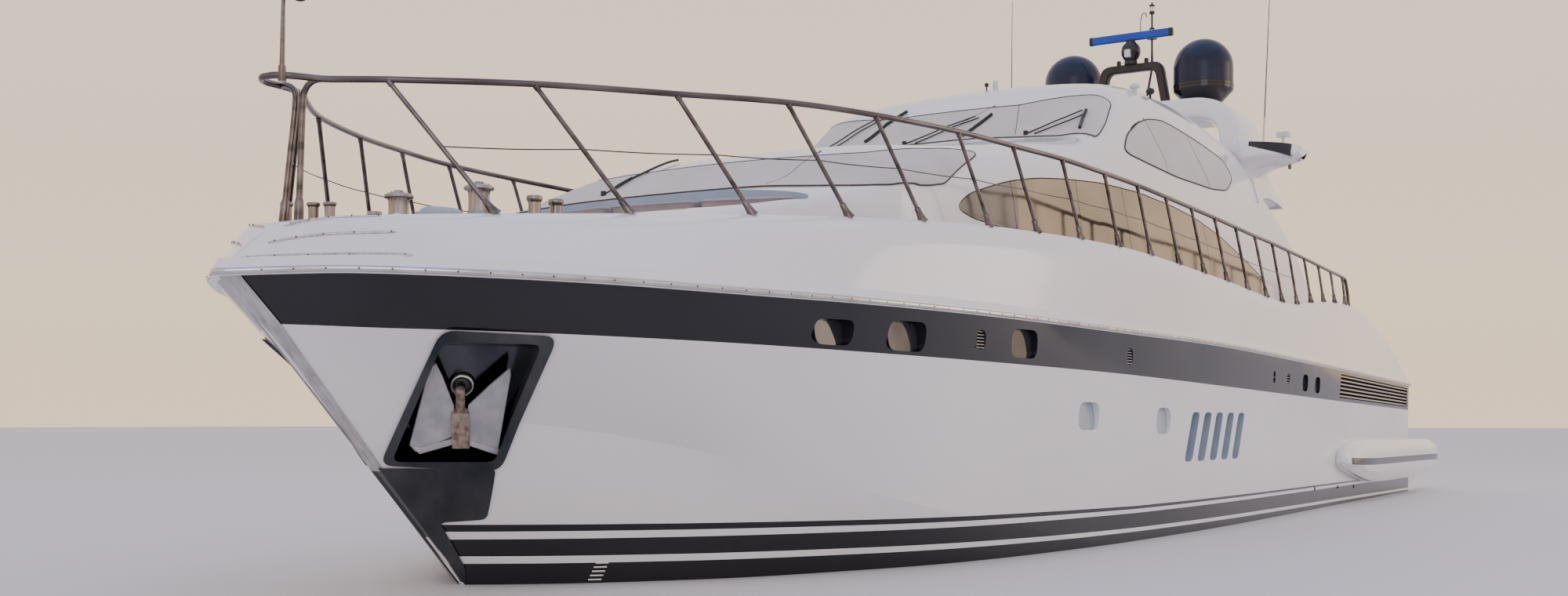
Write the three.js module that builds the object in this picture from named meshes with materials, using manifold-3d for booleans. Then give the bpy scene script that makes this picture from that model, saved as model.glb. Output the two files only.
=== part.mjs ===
import * as THREE from 'three';
import { mergeVertices } from 'three/addons/utils/BufferGeometryUtils.js';
import Module from 'manifold-3d';

// An open motor yacht, 33 m long. +X is forward, +Y is port, +Z is up.
// The origin is on the centreline, amidships, at the waterline.
// All sizes in this file are metres. addPiece turns them into millimetres.

const wasm = await Module();
wasm.setup();

const MM = 1000;
const GAP = 0.0004;
const MOVING_GAP = 0.008;

// Driving dimensions of the hull
const BOW_TIP_X = 17.5;
const TRANSOM_X = -14.5;
const SOLE_Z = 3.2;
const FOREDECK_Z = 3.5;
const RIM_WIDTH = 0.16;

// Hull lines from bow to stern, one row for each frame. Each line gives x, y, z:
// rub rail, lower edge of the dark band, knuckle, bilge, and x, z of the keel.
const HULL_FRAMES = [
  { rub: [17.5, 0.05, 3.0], band: [17.02, 0.05, 2.56], knuckle: [16.12, 0.05, 1.65],
    bilge: [14.45, 0.03, -0.05], keel: [14.2, -0.25] },
  { rub: [17.2, 0.42, 3.02], band: [16.76, 0.36, 2.55], knuckle: [15.72, 0.42, 1.66],
    bilge: [14.1, 0.45, -0.1], keel: [13.6, -0.5] },
  { rub: [16.82, 0.98, 3.03], band: [16.38, 0.82, 2.53], knuckle: [15.25, 0.84, 1.63],
    bilge: [13.7, 0.9, -0.1], keel: [13.0, -0.7] },
  { rub: [16.1, 1.74, 3.01], band: [15.72, 1.54, 2.51], knuckle: [14.6, 1.35, 1.56],
    bilge: [13.1, 1.4, -0.12], keel: [12.2, -0.9] },
  { rub: [15.1, 2.48, 2.98], band: [14.8, 2.26, 2.48], knuckle: [13.65, 1.95, 1.4],
    bilge: [12.2, 2.0, -0.15], keel: [11.2, -1.05] },
  { rub: [13.8, 3.04, 2.95], band: [13.5, 2.84, 2.45], knuckle: [12.4, 2.6, 1.1],
    bilge: [11.0, 2.5, -0.18], keel: [10.0, -1.15] },
  { rub: [12.0, 3.48, 2.94], band: [11.8, 3.34, 2.41], knuckle: [10.7, 3.15, 0.78],
    bilge: [9.5, 3.0, -0.2], keel: [8.6, -1.2] },
  { rub: [9.5, 3.76, 2.93], band: [9.4, 3.68, 2.37], knuckle: [8.5, 3.45, 0.4],
    bilge: [7.6, 3.33, -0.25], keel: [6.9, -1.2] },
  { rub: [6.0, 3.92, 2.9], band: [6.0, 3.86, 2.32], knuckle: [5.5, 3.62, 0.0],
    bilge: [5.0, 3.5, -0.3], keel: [4.5, -1.15] },
  { rub: [2.0, 3.94, 2.88], band: [2.0, 3.88, 2.24], knuckle: [1.6, 3.7, -0.16],
    bilge: [1.5, 3.58, -0.38], keel: [1.2, -1.08] },
  { rub: [-3.0, 3.86, 2.78], band: [-3.0, 3.8, 2.14], knuckle: [-3.1, 3.6, -0.2],
    bilge: [-3.2, 3.48, -0.42], keel: [-3.4, -1.0] },
  { rub: [-8.0, 3.66, 2.68], band: [-8.1, 3.61, 2.05], knuckle: [-8.2, 3.44, -0.22],
    bilge: [-8.3, 3.34, -0.44], keel: [-8.4, -0.92] },
  { rub: [-13.9, 3.42, 2.56], band: [-14.0, 3.38, 1.95], knuckle: [-14.5, 3.28, -0.24],
    bilge: [-14.5, 3.2, -0.46], keel: [-14.5, -0.85] },
];

// Top edge of the bulwark, x, y, z, against the frame number that it stands over.
const RIM_POINTS = [
  { frame: 0, rim: [16.86, 0.05, 3.46] },
  { frame: 1, rim: [16.75, 0.5, 3.52] },
  { frame: 2, rim: [16.3, 0.98, 3.56] },
  { frame: 3, rim: [15.45, 1.55, 3.62] },
  { frame: 4, rim: [14.3, 2.18, 3.7] },
  { frame: 5, rim: [13.0, 2.84, 3.78] },
  { frame: 6, rim: [11.3, 3.36, 3.88] },
  { frame: 7, rim: [8.9, 3.62, 4.0] },
  { frame: 8, rim: [5.6, 3.84, 4.04] },
  { frame: 9, rim: [1.6, 3.85, 3.92] },
  { frame: 10, rim: [-2.6, 3.76, 3.79] },
  { frame: 10.4, rim: [-4.9, 3.7, 3.97] },
  { frame: 10.9, rim: [-7.4, 3.58, 4.07] },
  { frame: 11.15, rim: [-8.8, 3.52, 4.05] },
  { frame: 11.5, rim: [-10.7, 3.46, 3.71] },
  { frame: 11.8, rim: [-12.5, 3.42, 3.2] },
  { frame: 12, rim: [-13.5, 3.39, 2.66] },
];
const FRAME_STEPS = [
  0, 0.5, 1, 1.5, 2, 2.5, 3, 3.5, 4, 4.5, 5, 5.5, 6, 6.5, 7, 8, 9, 9.5, 10, 10.4, 10.9, 11.15, 11.5, 11.8, 12,
];

// Sections of the deckhouse from its nose to its tail. Half-breadth and height of
// the sill, hip, roof edge and crown, and the height of the roof on the centreline.
const HOUSE_SECTIONS = [
  { x: 13.6, sill: 0.7, hip: [0.6, 3.62], edge: [0.5, 3.68], crown: [0.3, 3.7], top: 3.72 },
  { x: 13.1, sill: 1.75, hip: [1.55, 3.88], edge: [1.3, 3.98], crown: [0.8, 4.02], top: 4.05 },
  { x: 12.3, sill: 2.3, hip: [2.15, 4.08], edge: [1.95, 4.2], crown: [1.2, 4.25], top: 4.28 },
  { x: 11.3, sill: 2.75, hip: [2.68, 4.22], edge: [2.5, 4.36], crown: [1.5, 4.42], top: 4.45 },
  { x: 10.5, sill: 3.0, hip: [2.96, 4.32], edge: [2.88, 4.45], crown: [1.6, 4.56], top: 4.6 },
  { x: 10.0, sill: 3.04, hip: [2.99, 4.4], edge: [2.86, 4.64], crown: [1.6, 4.78], top: 4.83 },
  { x: 9.2, sill: 3.05, hip: [2.98, 4.55], edge: [2.78, 4.96], crown: [1.6, 5.12], top: 5.18 },
  { x: 7.8, sill: 3.04, hip: [2.94, 4.88], edge: [2.66, 5.34], crown: [1.6, 5.5], top: 5.56 },
  { x: 6.0, sill: 3.02, hip: [2.9, 5.3], edge: [2.62, 5.84], crown: [1.6, 5.96], top: 6.0 },
  { x: 4.3, sill: 3.0, hip: [2.86, 5.6], edge: [2.62, 6.18], crown: [1.7, 6.32], top: 6.38 },
  { x: 3.8, sill: 3.0, hip: [2.85, 5.68], edge: [2.6, 6.36], crown: [1.75, 6.5], top: 6.56 },
  { x: 3.0, sill: 3.0, hip: [2.84, 5.78], edge: [2.54, 6.76], crown: [1.85, 6.93], top: 6.98 },
  { x: 2.0, sill: 3.0, hip: [2.83, 5.8], edge: [2.55, 6.88], crown: [1.95, 7.16], top: 7.26 },
  { x: 0.6, sill: 3.0, hip: [2.83, 5.8], edge: [2.58, 6.92], crown: [1.98, 7.3], top: 7.46 },
  { x: -1.2, sill: 3.0, hip: [2.83, 5.78], edge: [2.58, 6.84], crown: [1.98, 7.3], top: 7.5 },
  { x: -3.2, sill: 2.98, hip: [2.82, 5.75], edge: [2.56, 6.64], crown: [1.95, 7.18], top: 7.38 },
  { x: -5.0, sill: 2.95, hip: [2.78, 5.6], edge: [2.54, 6.42], crown: [1.95, 6.98], top: 7.18 },
  { x: -7.7, sill: 2.92, hip: [2.76, 5.2], edge: [2.5, 6.0], crown: [1.9, 6.5], top: 6.7 },
];
const HOUSE_FOOT_Z = 3.1;
const HOUSE_WALL = 0.12;
const ROOF_SEAM_Z = 6.8;
const COACHROOF_AFT_X = 5.0;
const HOUSE_AFT_X = -5.2;

const FINISHES = {
  gelcoat: { color: 0xf1f0f2, roughness: 0.18, metalness: 0.0 },
  darkGlass: { color: 0x2a2d33, roughness: 0.08, metalness: 0.1 },
  mesh: { color: 0xd9d3cf, roughness: 0.8, metalness: 0.0 },
  steel: { color: 0xc9c9cc, roughness: 0.18, metalness: 1.0 },
  darkSteel: { color: 0x4a4d52, roughness: 0.15, metalness: 1.0 },
  galvanised: { color: 0xa3a39c, roughness: 0.5, metalness: 0.8 },
  black: { color: 0x15171a, roughness: 0.3, metalness: 0.1 },
  navy: { color: 0x0b0e16, roughness: 0.12, metalness: 0.0 },
  blue: { color: 0x1d4fa8, roughness: 0.5, metalness: 0.0 },
  taupe: { color: 0xb79a8c, roughness: 0.9, metalness: 0.0 },
  cream: { color: 0xd8cbb8, roughness: 0.8, metalness: 0.0 },
  bronze: { color: 0xb08d4a, roughness: 0.35, metalness: 0.9 },
  engine: { color: 0xe6e6e6, roughness: 0.5, metalness: 0.2 },
};

const yacht = new THREE.Group();

function addPiece(name, finish, geometry) {
  const scaled = geometry.clone().scale(MM, MM, MM);
  const mesh = new THREE.Mesh(scaled, new THREE.MeshStandardMaterial(FINISHES[finish]));
  mesh.name = name;
  yacht.add(mesh);
}

// Solids in and out of the boolean library

function toSolid(geometry) {
  const bare = geometry.clone();
  bare.deleteAttribute('normal');
  bare.deleteAttribute('uv');
  const merged = mergeVertices(bare, 1e-6);
  return new wasm.Manifold(new wasm.Mesh({
    numProp: 3,
    vertProperties: new Float32Array(merged.attributes.position.array),
    triVerts: new Uint32Array(merged.index.array),
  }));
}

function toGeometry(solid) {
  const mesh = solid.getMesh();
  const geometry = new THREE.BufferGeometry();
  geometry.setAttribute('position', new THREE.BufferAttribute(new Float32Array(mesh.vertProperties), 3));
  geometry.setIndex(new THREE.BufferAttribute(new Uint32Array(mesh.triVerts), 1));
  return geometry;
}

function union(solids) {
  return solids.reduce((sum, next) => sum.add(next));
}

// Leaves out the slivers that a cut along a curved neighbour can leave
function mainBody(solid) {
  return solid.decompose().reduce((largest, next) => (next.volume() > largest.volume() ? next : largest));
}

function mirrorPort(solid) {
  return solid.mirror([0, 1, 0]);
}

// Basic shapes

function box(x0, x1, y0, y1, z0, z1) {
  const geometry = new THREE.BoxGeometry(x1 - x0, y1 - y0, z1 - z0);
  geometry.translate((x0 + x1) / 2, (y0 + y1) / 2, (z0 + z1) / 2);
  return toSolid(geometry);
}

function prismAlongY(outline, y0, y1) {
  const shape = new THREE.Shape(outline.map(([x, z]) => new THREE.Vector2(x, z)));
  const geometry = new THREE.ExtrudeGeometry(shape, { depth: y1 - y0, bevelEnabled: false });
  geometry.rotateX(Math.PI / 2);
  geometry.translate(0, y1, 0);
  return toSolid(geometry);
}

function prismAlongZ(outline, z0, z1) {
  const shape = new THREE.Shape(outline.map(([x, y]) => new THREE.Vector2(x, y)));
  const geometry = new THREE.ExtrudeGeometry(shape, { depth: z1 - z0, bevelEnabled: false });
  geometry.translate(0, 0, z0);
  return toSolid(geometry);
}

function prismAlongX(outline, x0, x1) {
  const shape = new THREE.Shape(outline.map(([y, z]) => new THREE.Vector2(y, z)));
  const geometry = new THREE.ExtrudeGeometry(shape, { depth: x1 - x0, bevelEnabled: false });
  geometry.applyMatrix4(new THREE.Matrix4().set(0, 0, 1, x0, 1, 0, 0, 0, 0, 1, 0, 0, 0, 0, 0, 1));
  return toSolid(geometry);
}

function rod(start, end, radius, sides = 6, endRadius = radius) {
  const from = new THREE.Vector3(...start);
  const axis = new THREE.Vector3(...end).sub(from);
  const geometry = new THREE.CylinderGeometry(endRadius, radius, axis.length(), sides);
  geometry.translate(0, axis.length() / 2, 0);
  const turn = new THREE.Quaternion().setFromUnitVectors(new THREE.Vector3(0, 1, 0), axis.normalize());
  geometry.applyQuaternion(turn);
  geometry.translate(...start);
  return toSolid(geometry);
}

function tube(points, radius, steps, sides = 6) {
  const stops = points.map((point) => new THREE.Vector3(...point));
  const path = new THREE.CatmullRomCurve3(stops, false, 'centripetal');
  const ring = new THREE.Shape();
  for (let side = 0; side < sides; side += 1) {
    const angle = (side / sides) * 2 * Math.PI;
    const corner = [radius * Math.cos(angle), radius * Math.sin(angle)];
    if (side === 0) ring.moveTo(...corner);
    else ring.lineTo(...corner);
  }
  return toSolid(new THREE.ExtrudeGeometry(ring, { steps, bevelEnabled: false, extrudePath: path }));
}

function turned(profile, x, y, z, sides = 16) {
  const geometry = new THREE.LatheGeometry(profile.map(([r, h]) => new THREE.Vector2(r, h)), sides);
  geometry.rotateX(Math.PI / 2);
  geometry.translate(x, y, z);
  return toSolid(geometry);
}

// Triangles over an end section, wound the same way round as its points
function capFaces(section, [first, second]) {
  const outline = section.map((point) => new THREE.Vector2(point[first], point[second]));
  const turn = Math.sign(THREE.ShapeUtils.area(outline));
  return THREE.ShapeUtils.triangulateShape([...outline], []).map(([a, b, c]) => {
    const same = Math.sign(THREE.ShapeUtils.area([outline[a], outline[b], outline[c]])) === turn;
    return same ? [a, b, c] : [a, c, b];
  });
}

// A closed body through sections, each a loop of the same number of points.
// The end sections are seen along the axis that capAxes leaves out.
function loft(sections, capAxes = [1, 2]) {
  const count = sections[0].length;
  const positions = sections.flat(2);
  const faces = [];
  for (let row = 0; row < sections.length - 1; row += 1) {
    for (let col = 0; col < count; col += 1) {
      const a = row * count + col;
      const b = row * count + ((col + 1) % count);
      faces.push(a, b, a + count, b, b + count, a + count);
    }
  }
  const last = (sections.length - 1) * count;
  const endCap = capFaces(sections[sections.length - 1], capAxes);
  capFaces(sections[0], capAxes).forEach(([a, b, c]) => faces.push(c, b, a));
  endCap.forEach(([a, b, c]) => faces.push(last + a, last + b, last + c));
  let solid = new wasm.Manifold(new wasm.Mesh({
    numProp: 3, vertProperties: new Float32Array(positions), triVerts: new Uint32Array(faces),
  }));
  if (solid.volume() < 0) {
    for (let i = 0; i < faces.length; i += 3) [faces[i], faces[i + 1]] = [faces[i + 1], faces[i]];
    solid = new wasm.Manifold(new wasm.Mesh({
      numProp: 3, vertProperties: new Float32Array(positions), triVerts: new Uint32Array(faces),
    }));
  }
  return solid;
}

// A body that is the same on both sides, from the port halves of its sections.
// Each half starts and ends on the centreline.
function symmetricLoft(halves) {
  const port = loft(halves);
  return port.add(mirrorPort(port));
}

// Value of a table at a place between its rows, on a smooth curve through them
function between(keys, values, at) {
  let row = 0;
  while (row < keys.length - 2 && keys[row + 1] < at) row += 1;
  const span = keys[row + 1] - keys[row];
  const t = (at - keys[row]) / span;
  const slope = (i) => {
    const low = Math.max(i - 1, 0);
    const high = Math.min(i + 1, keys.length - 1);
    return values[low].map((value, axis) => (values[high][axis] - value) / (keys[high] - keys[low]));
  };
  const start = slope(row);
  const end = slope(row + 1);
  return values[row].map((value, axis) => {
    const next = values[row + 1][axis];
    const h1 = 2 * t ** 3 - 3 * t ** 2 + 1;
    const h2 = t ** 3 - 2 * t ** 2 + t;
    const h3 = -2 * t ** 3 + 3 * t ** 2;
    const h4 = t ** 3 - t ** 2;
    return h1 * value + h2 * span * start[axis] + h3 * next + h4 * span * end[axis];
  });
}

const FRAME_KEYS = HULL_FRAMES.map((_, index) => index);
const RIM_KEYS = RIM_POINTS.map(({ frame }) => frame);

function hullLine(line, frame) {
  return between(FRAME_KEYS, HULL_FRAMES.map((row) => row[line]), frame);
}

function rimPoint(frame) {
  return between(RIM_KEYS, RIM_POINTS.map((row) => row.rim), frame);
}

function rimAtX(x) {
  let low = 0;
  let high = RIM_KEYS[RIM_KEYS.length - 1];
  for (let i = 0; i < 40; i += 1) {
    const middle = (low + high) / 2;
    if (rimPoint(middle)[0] > x) low = middle;
    else high = middle;
  }
  return rimPoint(low);
}

// Hull

function hullForm() {
  return symmetricLoft(FRAME_STEPS.map((frame) => {
    const [keelX, keelZ] = hullLine('keel', frame);
    const lines = ['bilge', 'knuckle', 'band', 'rub'].map((line) => hullLine(line, frame));
    const [rubX, , rubZ] = lines[lines.length - 1];
    return [[keelX, 0, keelZ], ...lines, [rubX, 0, rubZ]];
  }));
}

const ENGINE_BAY = { x0: -9.6, x1: -3.6, y: 2.5, z0: -0.3 };
const GARAGE = { x0: -14.6, x1: -10.2, y: 1.95, z0: 0.85, z1: 2.42 };
const STAIR = { x0: -14.6, y0: 2.25, y1: 3.1, topX: -11.3, steps: 9, landingZ: 0.62 };
const SUNPAD_BASE = { x0: -13.3, x1: -10.6, y: 2.1, z1: 3.55 };

// Outline, seen from the side, of the dark plate around an anchor
const ANCHOR_PLATE = [
  [16.02, 2.48], [15.28, 2.45], [14.88, 1.19], [14.76, 0.71], [14.48, 0.05], [14.66, 0.05],
  [15.3, 0.62], [15.7, 1.1], [15.63, 1.24], [15.72, 1.85],
];

// Corners of the pocket that the anchor is stowed in. along runs aft beside the hull
// and floor is how far out of the hull the pocket's floor lies, both level.
const POCKET_CORNERS = [
  { along: -11.2, floor: 11.0, z: 2.34 }, { along: -10.15, floor: 11.0, z: 2.31 },
  { along: -10.5, floor: 10.22, z: 1.25 }, { along: -11.5, floor: 10.36, z: 1.25 },
];
const POCKET_MOUTH = 13;

function besideAnchor(along, out, z) {
  return [-0.74 * along + 0.67 * out, 0.67 * along + 0.74 * out, z];
}

function stairCut() {
  const rise = (SOLE_Z - STAIR.landingZ) / STAIR.steps;
  const run = (STAIR.topX - TRANSOM_X) / STAIR.steps;
  const steps = [];
  for (let i = 0; i < STAIR.steps; i += 1) {
    const x1 = STAIR.topX - i * run;
    steps.push(box(STAIR.x0 - 0.5, x1, STAIR.y0, STAIR.y1, SOLE_Z - (i + 1) * rise, 6));
  }
  return union(steps);
}

const hullSkin = hullForm();
const stairs = union([stairCut(), mirrorPort(stairCut())]);
const pocketPort = loft([
  POCKET_CORNERS.map(({ along, floor, z }) => besideAnchor(along, floor, z)),
  POCKET_CORNERS.map(({ along, z }) => besideAnchor(along, POCKET_MOUTH, z)),
]);
const hullSolid = hullSkin
  .subtract(box(ENGINE_BAY.x0, ENGINE_BAY.x1, -ENGINE_BAY.y, ENGINE_BAY.y, ENGINE_BAY.z0, 5))
  .subtract(box(GARAGE.x0 - 1, GARAGE.x1, -GARAGE.y, GARAGE.y, GARAGE.z0, GARAGE.z1))
  .subtract(stairs)
  .subtract(pocketPort)
  .subtract(mirrorPort(pocketPort));
addPiece('hull', 'gelcoat', toGeometry(hullSolid));

// Deck moulding with the cockpit sole, the sunpad base, and the bulwark on each side

function deckForm() {
  return symmetricLoft(FRAME_STEPS.map((frame) => {
    const [rubX, rubY, rubZ] = hullLine('rub', frame);
    const [rimX, rimY, rimZ] = rimPoint(frame);
    const shoulder = [(rubX * 0.22 + rimX * 0.78), rubY * 0.22 + rimY * 0.78 + 0.05, rubZ * 0.13 + rimZ * 0.87];
    return [
      [rubX, 0, rubZ + GAP], [rubX, rubY, rubZ + GAP], shoulder,
      [rimX, Math.max(rimY - 0.03, 0.02), rimZ], [rimX, 0, rimZ],
    ];
  }));
}

const FOREDECK_STEP = { x0: 12.6, x1: 13.8 };
const aboveDecks = (lift) => prismAlongY([
  [-20, SOLE_Z + lift], [FOREDECK_STEP.x0, SOLE_Z + lift], [FOREDECK_STEP.x1, FOREDECK_Z + lift],
  [20, FOREDECK_Z + lift], [20, 9], [-20, 9],
], -5, 5);

const WELL_STEPS = [1.5, 2, 2.5, 3, 3.5, 4, 4.5, 5, 5.5, 6, 6.5, 7, 8, 9, 10, 10.9, 11.5, 12];

// The space between the bulwarks, down to the decks
function deckWell() {
  const walls = symmetricLoft(WELL_STEPS.map((frame) => {
    const [rimX, rimY, rimZ] = rimPoint(frame);
    const x = frame === 12 ? rimX - 2 : rimX;
    const y = rimY - RIM_WIDTH;
    return [[x, 0, SOLE_Z - 1], [x, y, SOLE_Z - 1], [x, y, rimZ + 1], [x, 0, rimZ + 1]];
  }));
  return walls.intersect(aboveDecks(0));
}

const moulding = deckForm().subtract(deckWell()).subtract(stairs);
const belowDecks = moulding.subtract(aboveDecks(0));
addPiece('deck_moulding', 'gelcoat', toGeometry(belowDecks.intersect(box(STAIR.topX + GAP, 20, -5, 5, 0, 9))));

// The block between the stairs that carries the sunpad
const { x0: padX0, x1: padX1, y: padY, z1: padZ } = SUNPAD_BASE;
const sunpadBase = union([
  belowDecks.intersect(box(-20, STAIR.topX, -STAIR.y0, STAIR.y0, 0, 9)),
  box(padX0, STAIR.topX, -padY, padY, SOLE_Z - 0.1, padZ),
  box(STAIR.topX - 0.1, padX1, -padY, padY, SOLE_Z + GAP, padZ),
]);
addPiece('sunpad_base', 'gelcoat', toGeometry(sunpadBase));

// Each bulwark, which outboard of the stairs reaches down to the rub rail
const portHalf = box(-20, 20, GAP, 5, 0, 9);
const besideStairs = box(-20, STAIR.topX, STAIR.y1 - 0.01, 5, 0, 9);
const bulwarkPort = mainBody(moulding.intersect(portHalf).intersect(aboveDecks(GAP).add(besideStairs)));
addPiece('bulwark_port', 'gelcoat', toGeometry(bulwarkPort));
addPiece('bulwark_starboard', 'gelcoat', toGeometry(mirrorPort(bulwarkPort)));

// Rub rail along the seam between hull and deck. Forward of the third frame it
// turns across the bow.

const RUB_STAND = 0.06;

function rubRail() {
  const section = (frame) => {
    const [x, y, z] = hullLine('rub', frame);
    const out = frame < 3 ? (3 - frame) / 3 : 0;
    const outer = [x + RUB_STAND * out, y + RUB_STAND * (1 - 0.5 * out)];
    const inner = [x + GAP * 2 * out, y + GAP * 2];
    return [[...inner, z - 0.05], [...outer, z - 0.03], [...outer, z + 0.04], [...inner, z + 0.06]];
  };
  const port = loft(FRAME_STEPS.map(section));
  const nose = box(BOW_TIP_X + 0.001, BOW_TIP_X + RUB_STAND, -0.08, 0.08, 2.97, 3.04);
  return union([port, mirrorPort(port), nose]);
}
addPiece('rub_rail', 'steel', toGeometry(mainBody(rubRail().subtract(hullSkin).subtract(deckForm()))));

// Bright plate on the stem, and the dark plates around the anchors, laid on the hull

const STEM_PLATE = { halfWidth: 0.045, thickness: 0.02, z0: 0.1, z1: 2.86 };
const stemPlate = hullSkin.translate([STEM_PLATE.thickness, 0, -0.004])
  .subtract(hullSkin.translate([GAP * 2, 0, 0]))
  .intersect(box(14.5, 18, -STEM_PLATE.halfWidth, STEM_PLATE.halfWidth, STEM_PLATE.z0, STEM_PLATE.z1));
addPiece('stem_plate', 'steel', toGeometry(mainBody(stemPlate)));

const plateSkin = hullSkin.translate([0.004, 0.014, -0.004]).subtract(hullSkin.translate([0, GAP * 2, 0]));
const platePort = mainBody(plateSkin.intersect(prismAlongY(ANCHOR_PLATE, 0.06, 3)).subtract(pocketPort));
addPiece('anchor_plate_port', 'darkSteel', toGeometry(platePort));
addPiece('anchor_plate_starboard', 'darkSteel', toGeometry(mirrorPort(platePort)));

// Stowed anchors: crown, shank and two flukes

function anchor() {
  const crownFore = [15.5, 0.31, 1.37];
  const crownAft = [14.86, 0.8, 1.36];
  const onCrown = (share) => crownFore.map((value, axis) => value + (crownAft[axis] - value) * share);
  return union([
    rod(crownFore, crownAft, 0.07, 8),
    rod(onCrown(0.5), [15.6, 1.06, 2.12], 0.05, 8),
    rod(onCrown(0.2), [15.8, 0.92, 2.2], 0.15, 4, 0.03),
    rod(onCrown(0.8), [15.3, 1.36, 2.17], 0.15, 4, 0.03),
  ]);
}
addPiece('anchor_port', 'galvanised', toGeometry(anchor()));
addPiece('anchor_starboard', 'galvanised', toGeometry(mirrorPort(anchor())));

// Swim platform with its rounded side wings

const PLATFORM = { foreX: TRANSOM_X - 0.004, aftX: -16.3, halfWidth: 3.1, z0: 0.42, z1: 0.6, teakZ: 0.615 };

function platformWing() {
  const rows = [
    { x: -6.5, y: 3.7, halfWidth: 0.06, z: 0.97, up: 0.12, down: 0.12 },
    { x: -6.9, y: 3.68, halfWidth: 0.2, z: 0.96, up: 0.24, down: 0.3 },
    { x: -8.2, y: 3.64, halfWidth: 0.26, z: 0.95, up: 0.32, down: 0.56 },
    { x: -14.4, y: 3.46, halfWidth: 0.26, z: 0.92, up: 0.32, down: 0.62 },
    { x: -16.1, y: 3.4, halfWidth: 0.26, z: 0.9, up: 0.3, down: 0.58 },
    { x: -16.4, y: 3.36, halfWidth: 0.2, z: 0.9, up: 0.2, down: 0.4 },
  ];
  return loft(rows.map(({ x, y, halfWidth, z, up, down }) => {
    const ring = [];
    for (let i = 0; i < 10; i += 1) {
      const angle = (i / 10) * 2 * Math.PI;
      const height = Math.sin(angle) > 0 ? up : down;
      ring.push([x, y + halfWidth * Math.cos(angle), z + height * Math.sin(angle)]);
    }
    return ring;
  })).subtract(hullSkin.translate([0, 0.002, 0])).subtract(hullSkin).subtract(hullSkin.translate([-GAP, 0, 0]));
}
const acrossPlatform = (x0, x1, margin, z0, z1) => {
  const half = PLATFORM.halfWidth + margin;
  return box(x0, x1, -half, half, z0, z1);
};
const platformBoard = acrossPlatform(PLATFORM.aftX, PLATFORM.foreX, 0.2, PLATFORM.z0, PLATFORM.z1);
const bracket = prismAlongY([[-14.504, 0.5], [-14.504, -0.1], [-15.8, 0.5]], 2.0, 2.2);
const teak = acrossPlatform(PLATFORM.aftX + 0.1, PLATFORM.foreX - 0.15, -0.2, PLATFORM.z1 - 0.01, PLATFORM.teakZ);
addPiece('swim_platform', 'gelcoat', toGeometry(union([
  platformBoard, teak, platformWing(), mirrorPort(platformWing()), bracket, mirrorPort(bracket),
])));

// Garage door, hinged along its top edge

const DOOR = { x0: -14.62, x1: -14.51, y: 1.93, z0: 0.87, z1: 2.4 };
addPiece('garage_door', 'gelcoat', toGeometry(box(DOOR.x0, DOOR.x1, -DOOR.y, DOOR.y, DOOR.z0, DOOR.z1)));

// Deckhouse

function houseHalf({ x, sill, hip, edge, crown, top }, inset) {
  return [
    [x, 0, HOUSE_FOOT_Z], [x, sill - inset, HOUSE_FOOT_Z],
    [x, hip[0] - inset, hip[1] - inset * 0.4], [x, edge[0] - inset, edge[1] - inset * 0.8],
    [x, crown[0] - inset * 0.4, crown[1] - inset], [x, 0, top - inset],
  ];
}

function houseForm(inset, shrinkX = inset) {
  const rows = HOUSE_SECTIONS.map((row, index) => {
    const moved = index === 0 ? { ...row, x: row.x - shrinkX } : row;
    return houseHalf(moved, inset);
  });
  return symmetricLoft(rows);
}

const decks = union([moulding, sunpadBase]);
const deckTwice = union([decks, decks.translate([0, 0, GAP])]);
const SOLID_NOSE_X = 10.9;
const inside = houseForm(HOUSE_WALL).subtract(box(SOLID_NOSE_X, 20, -5, 5, 0, 9));
const shell = houseForm(0).subtract(inside).subtract(deckTwice);

// Side windows, outlined from the side. Windshields, outlined from above.
const SALOON_WINDOW = [
  [9.2, 4.26], [8.84, 4.47], [8.33, 4.61], [7.5, 4.81], [6.6, 4.96], [5.6, 5.07], [4.3, 5.18], [2.7, 5.23],
  [1.15, 5.19], [-0.06, 5.1], [-1.3, 4.92], [-2.65, 4.64], [-3.95, 4.34], [-4.2, 3.98], [4.0, 3.98],
  [7.3, 4.12], [8.8, 4.18],
];
const WHEELHOUSE_WINDOW = [
  [2.95, 5.95], [2.6, 6.27], [2.02, 6.48], [1.0, 6.56], [0.04, 6.54], [-1.2, 6.43], [-2.0, 6.28], [-2.45, 6.05],
  [-1.9, 5.82], [-0.85, 5.74], [1.2, 5.72], [2.8, 5.8],
];
const LOWER_WINDSHIELD = [
  [10.6, 0], [10.54, 1.2], [10.42, 2.2], [10.12, 2.93], [8.15, 2.82], [7.75, 2.4], [7.66, 1.6], [7.62, 0],
];
const UPPER_WINDSHIELD = [
  [4.45, 0], [4.38, 1.2], [4.25, 2.1], [3.98, 2.72], [3.2, 2.6], [2.98, 2.3], [3.1, 1.4], [3.16, 0],
];

function bothSides(outline) {
  const middle = outline.filter(([, y]) => y > 0);
  return [...middle, ...middle.map(([x, y]) => [x, -y]).reverse()];
}

// The same outline with every edge moved inwards
function inset(outline, by) {
  const turn = Math.sign(THREE.ShapeUtils.area(outline.map(([x, y]) => ({ x, y }))));
  const normal = ([ax, ay], [bx, by2]) => {
    const length = Math.hypot(bx - ax, by2 - ay);
    return [(-(by2 - ay) / length) * turn, ((bx - ax) / length) * turn];
  };
  return outline.map((point, index) => {
    const before = normal(outline[(index + outline.length - 1) % outline.length], point);
    const after = normal(point, outline[(index + 1) % outline.length]);
    const reach = by / (1 + before[0] * after[0] + before[1] * after[1]);
    return [point[0] + (before[0] + after[0]) * reach, point[1] + (before[1] + after[1]) * reach];
  });
}

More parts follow.
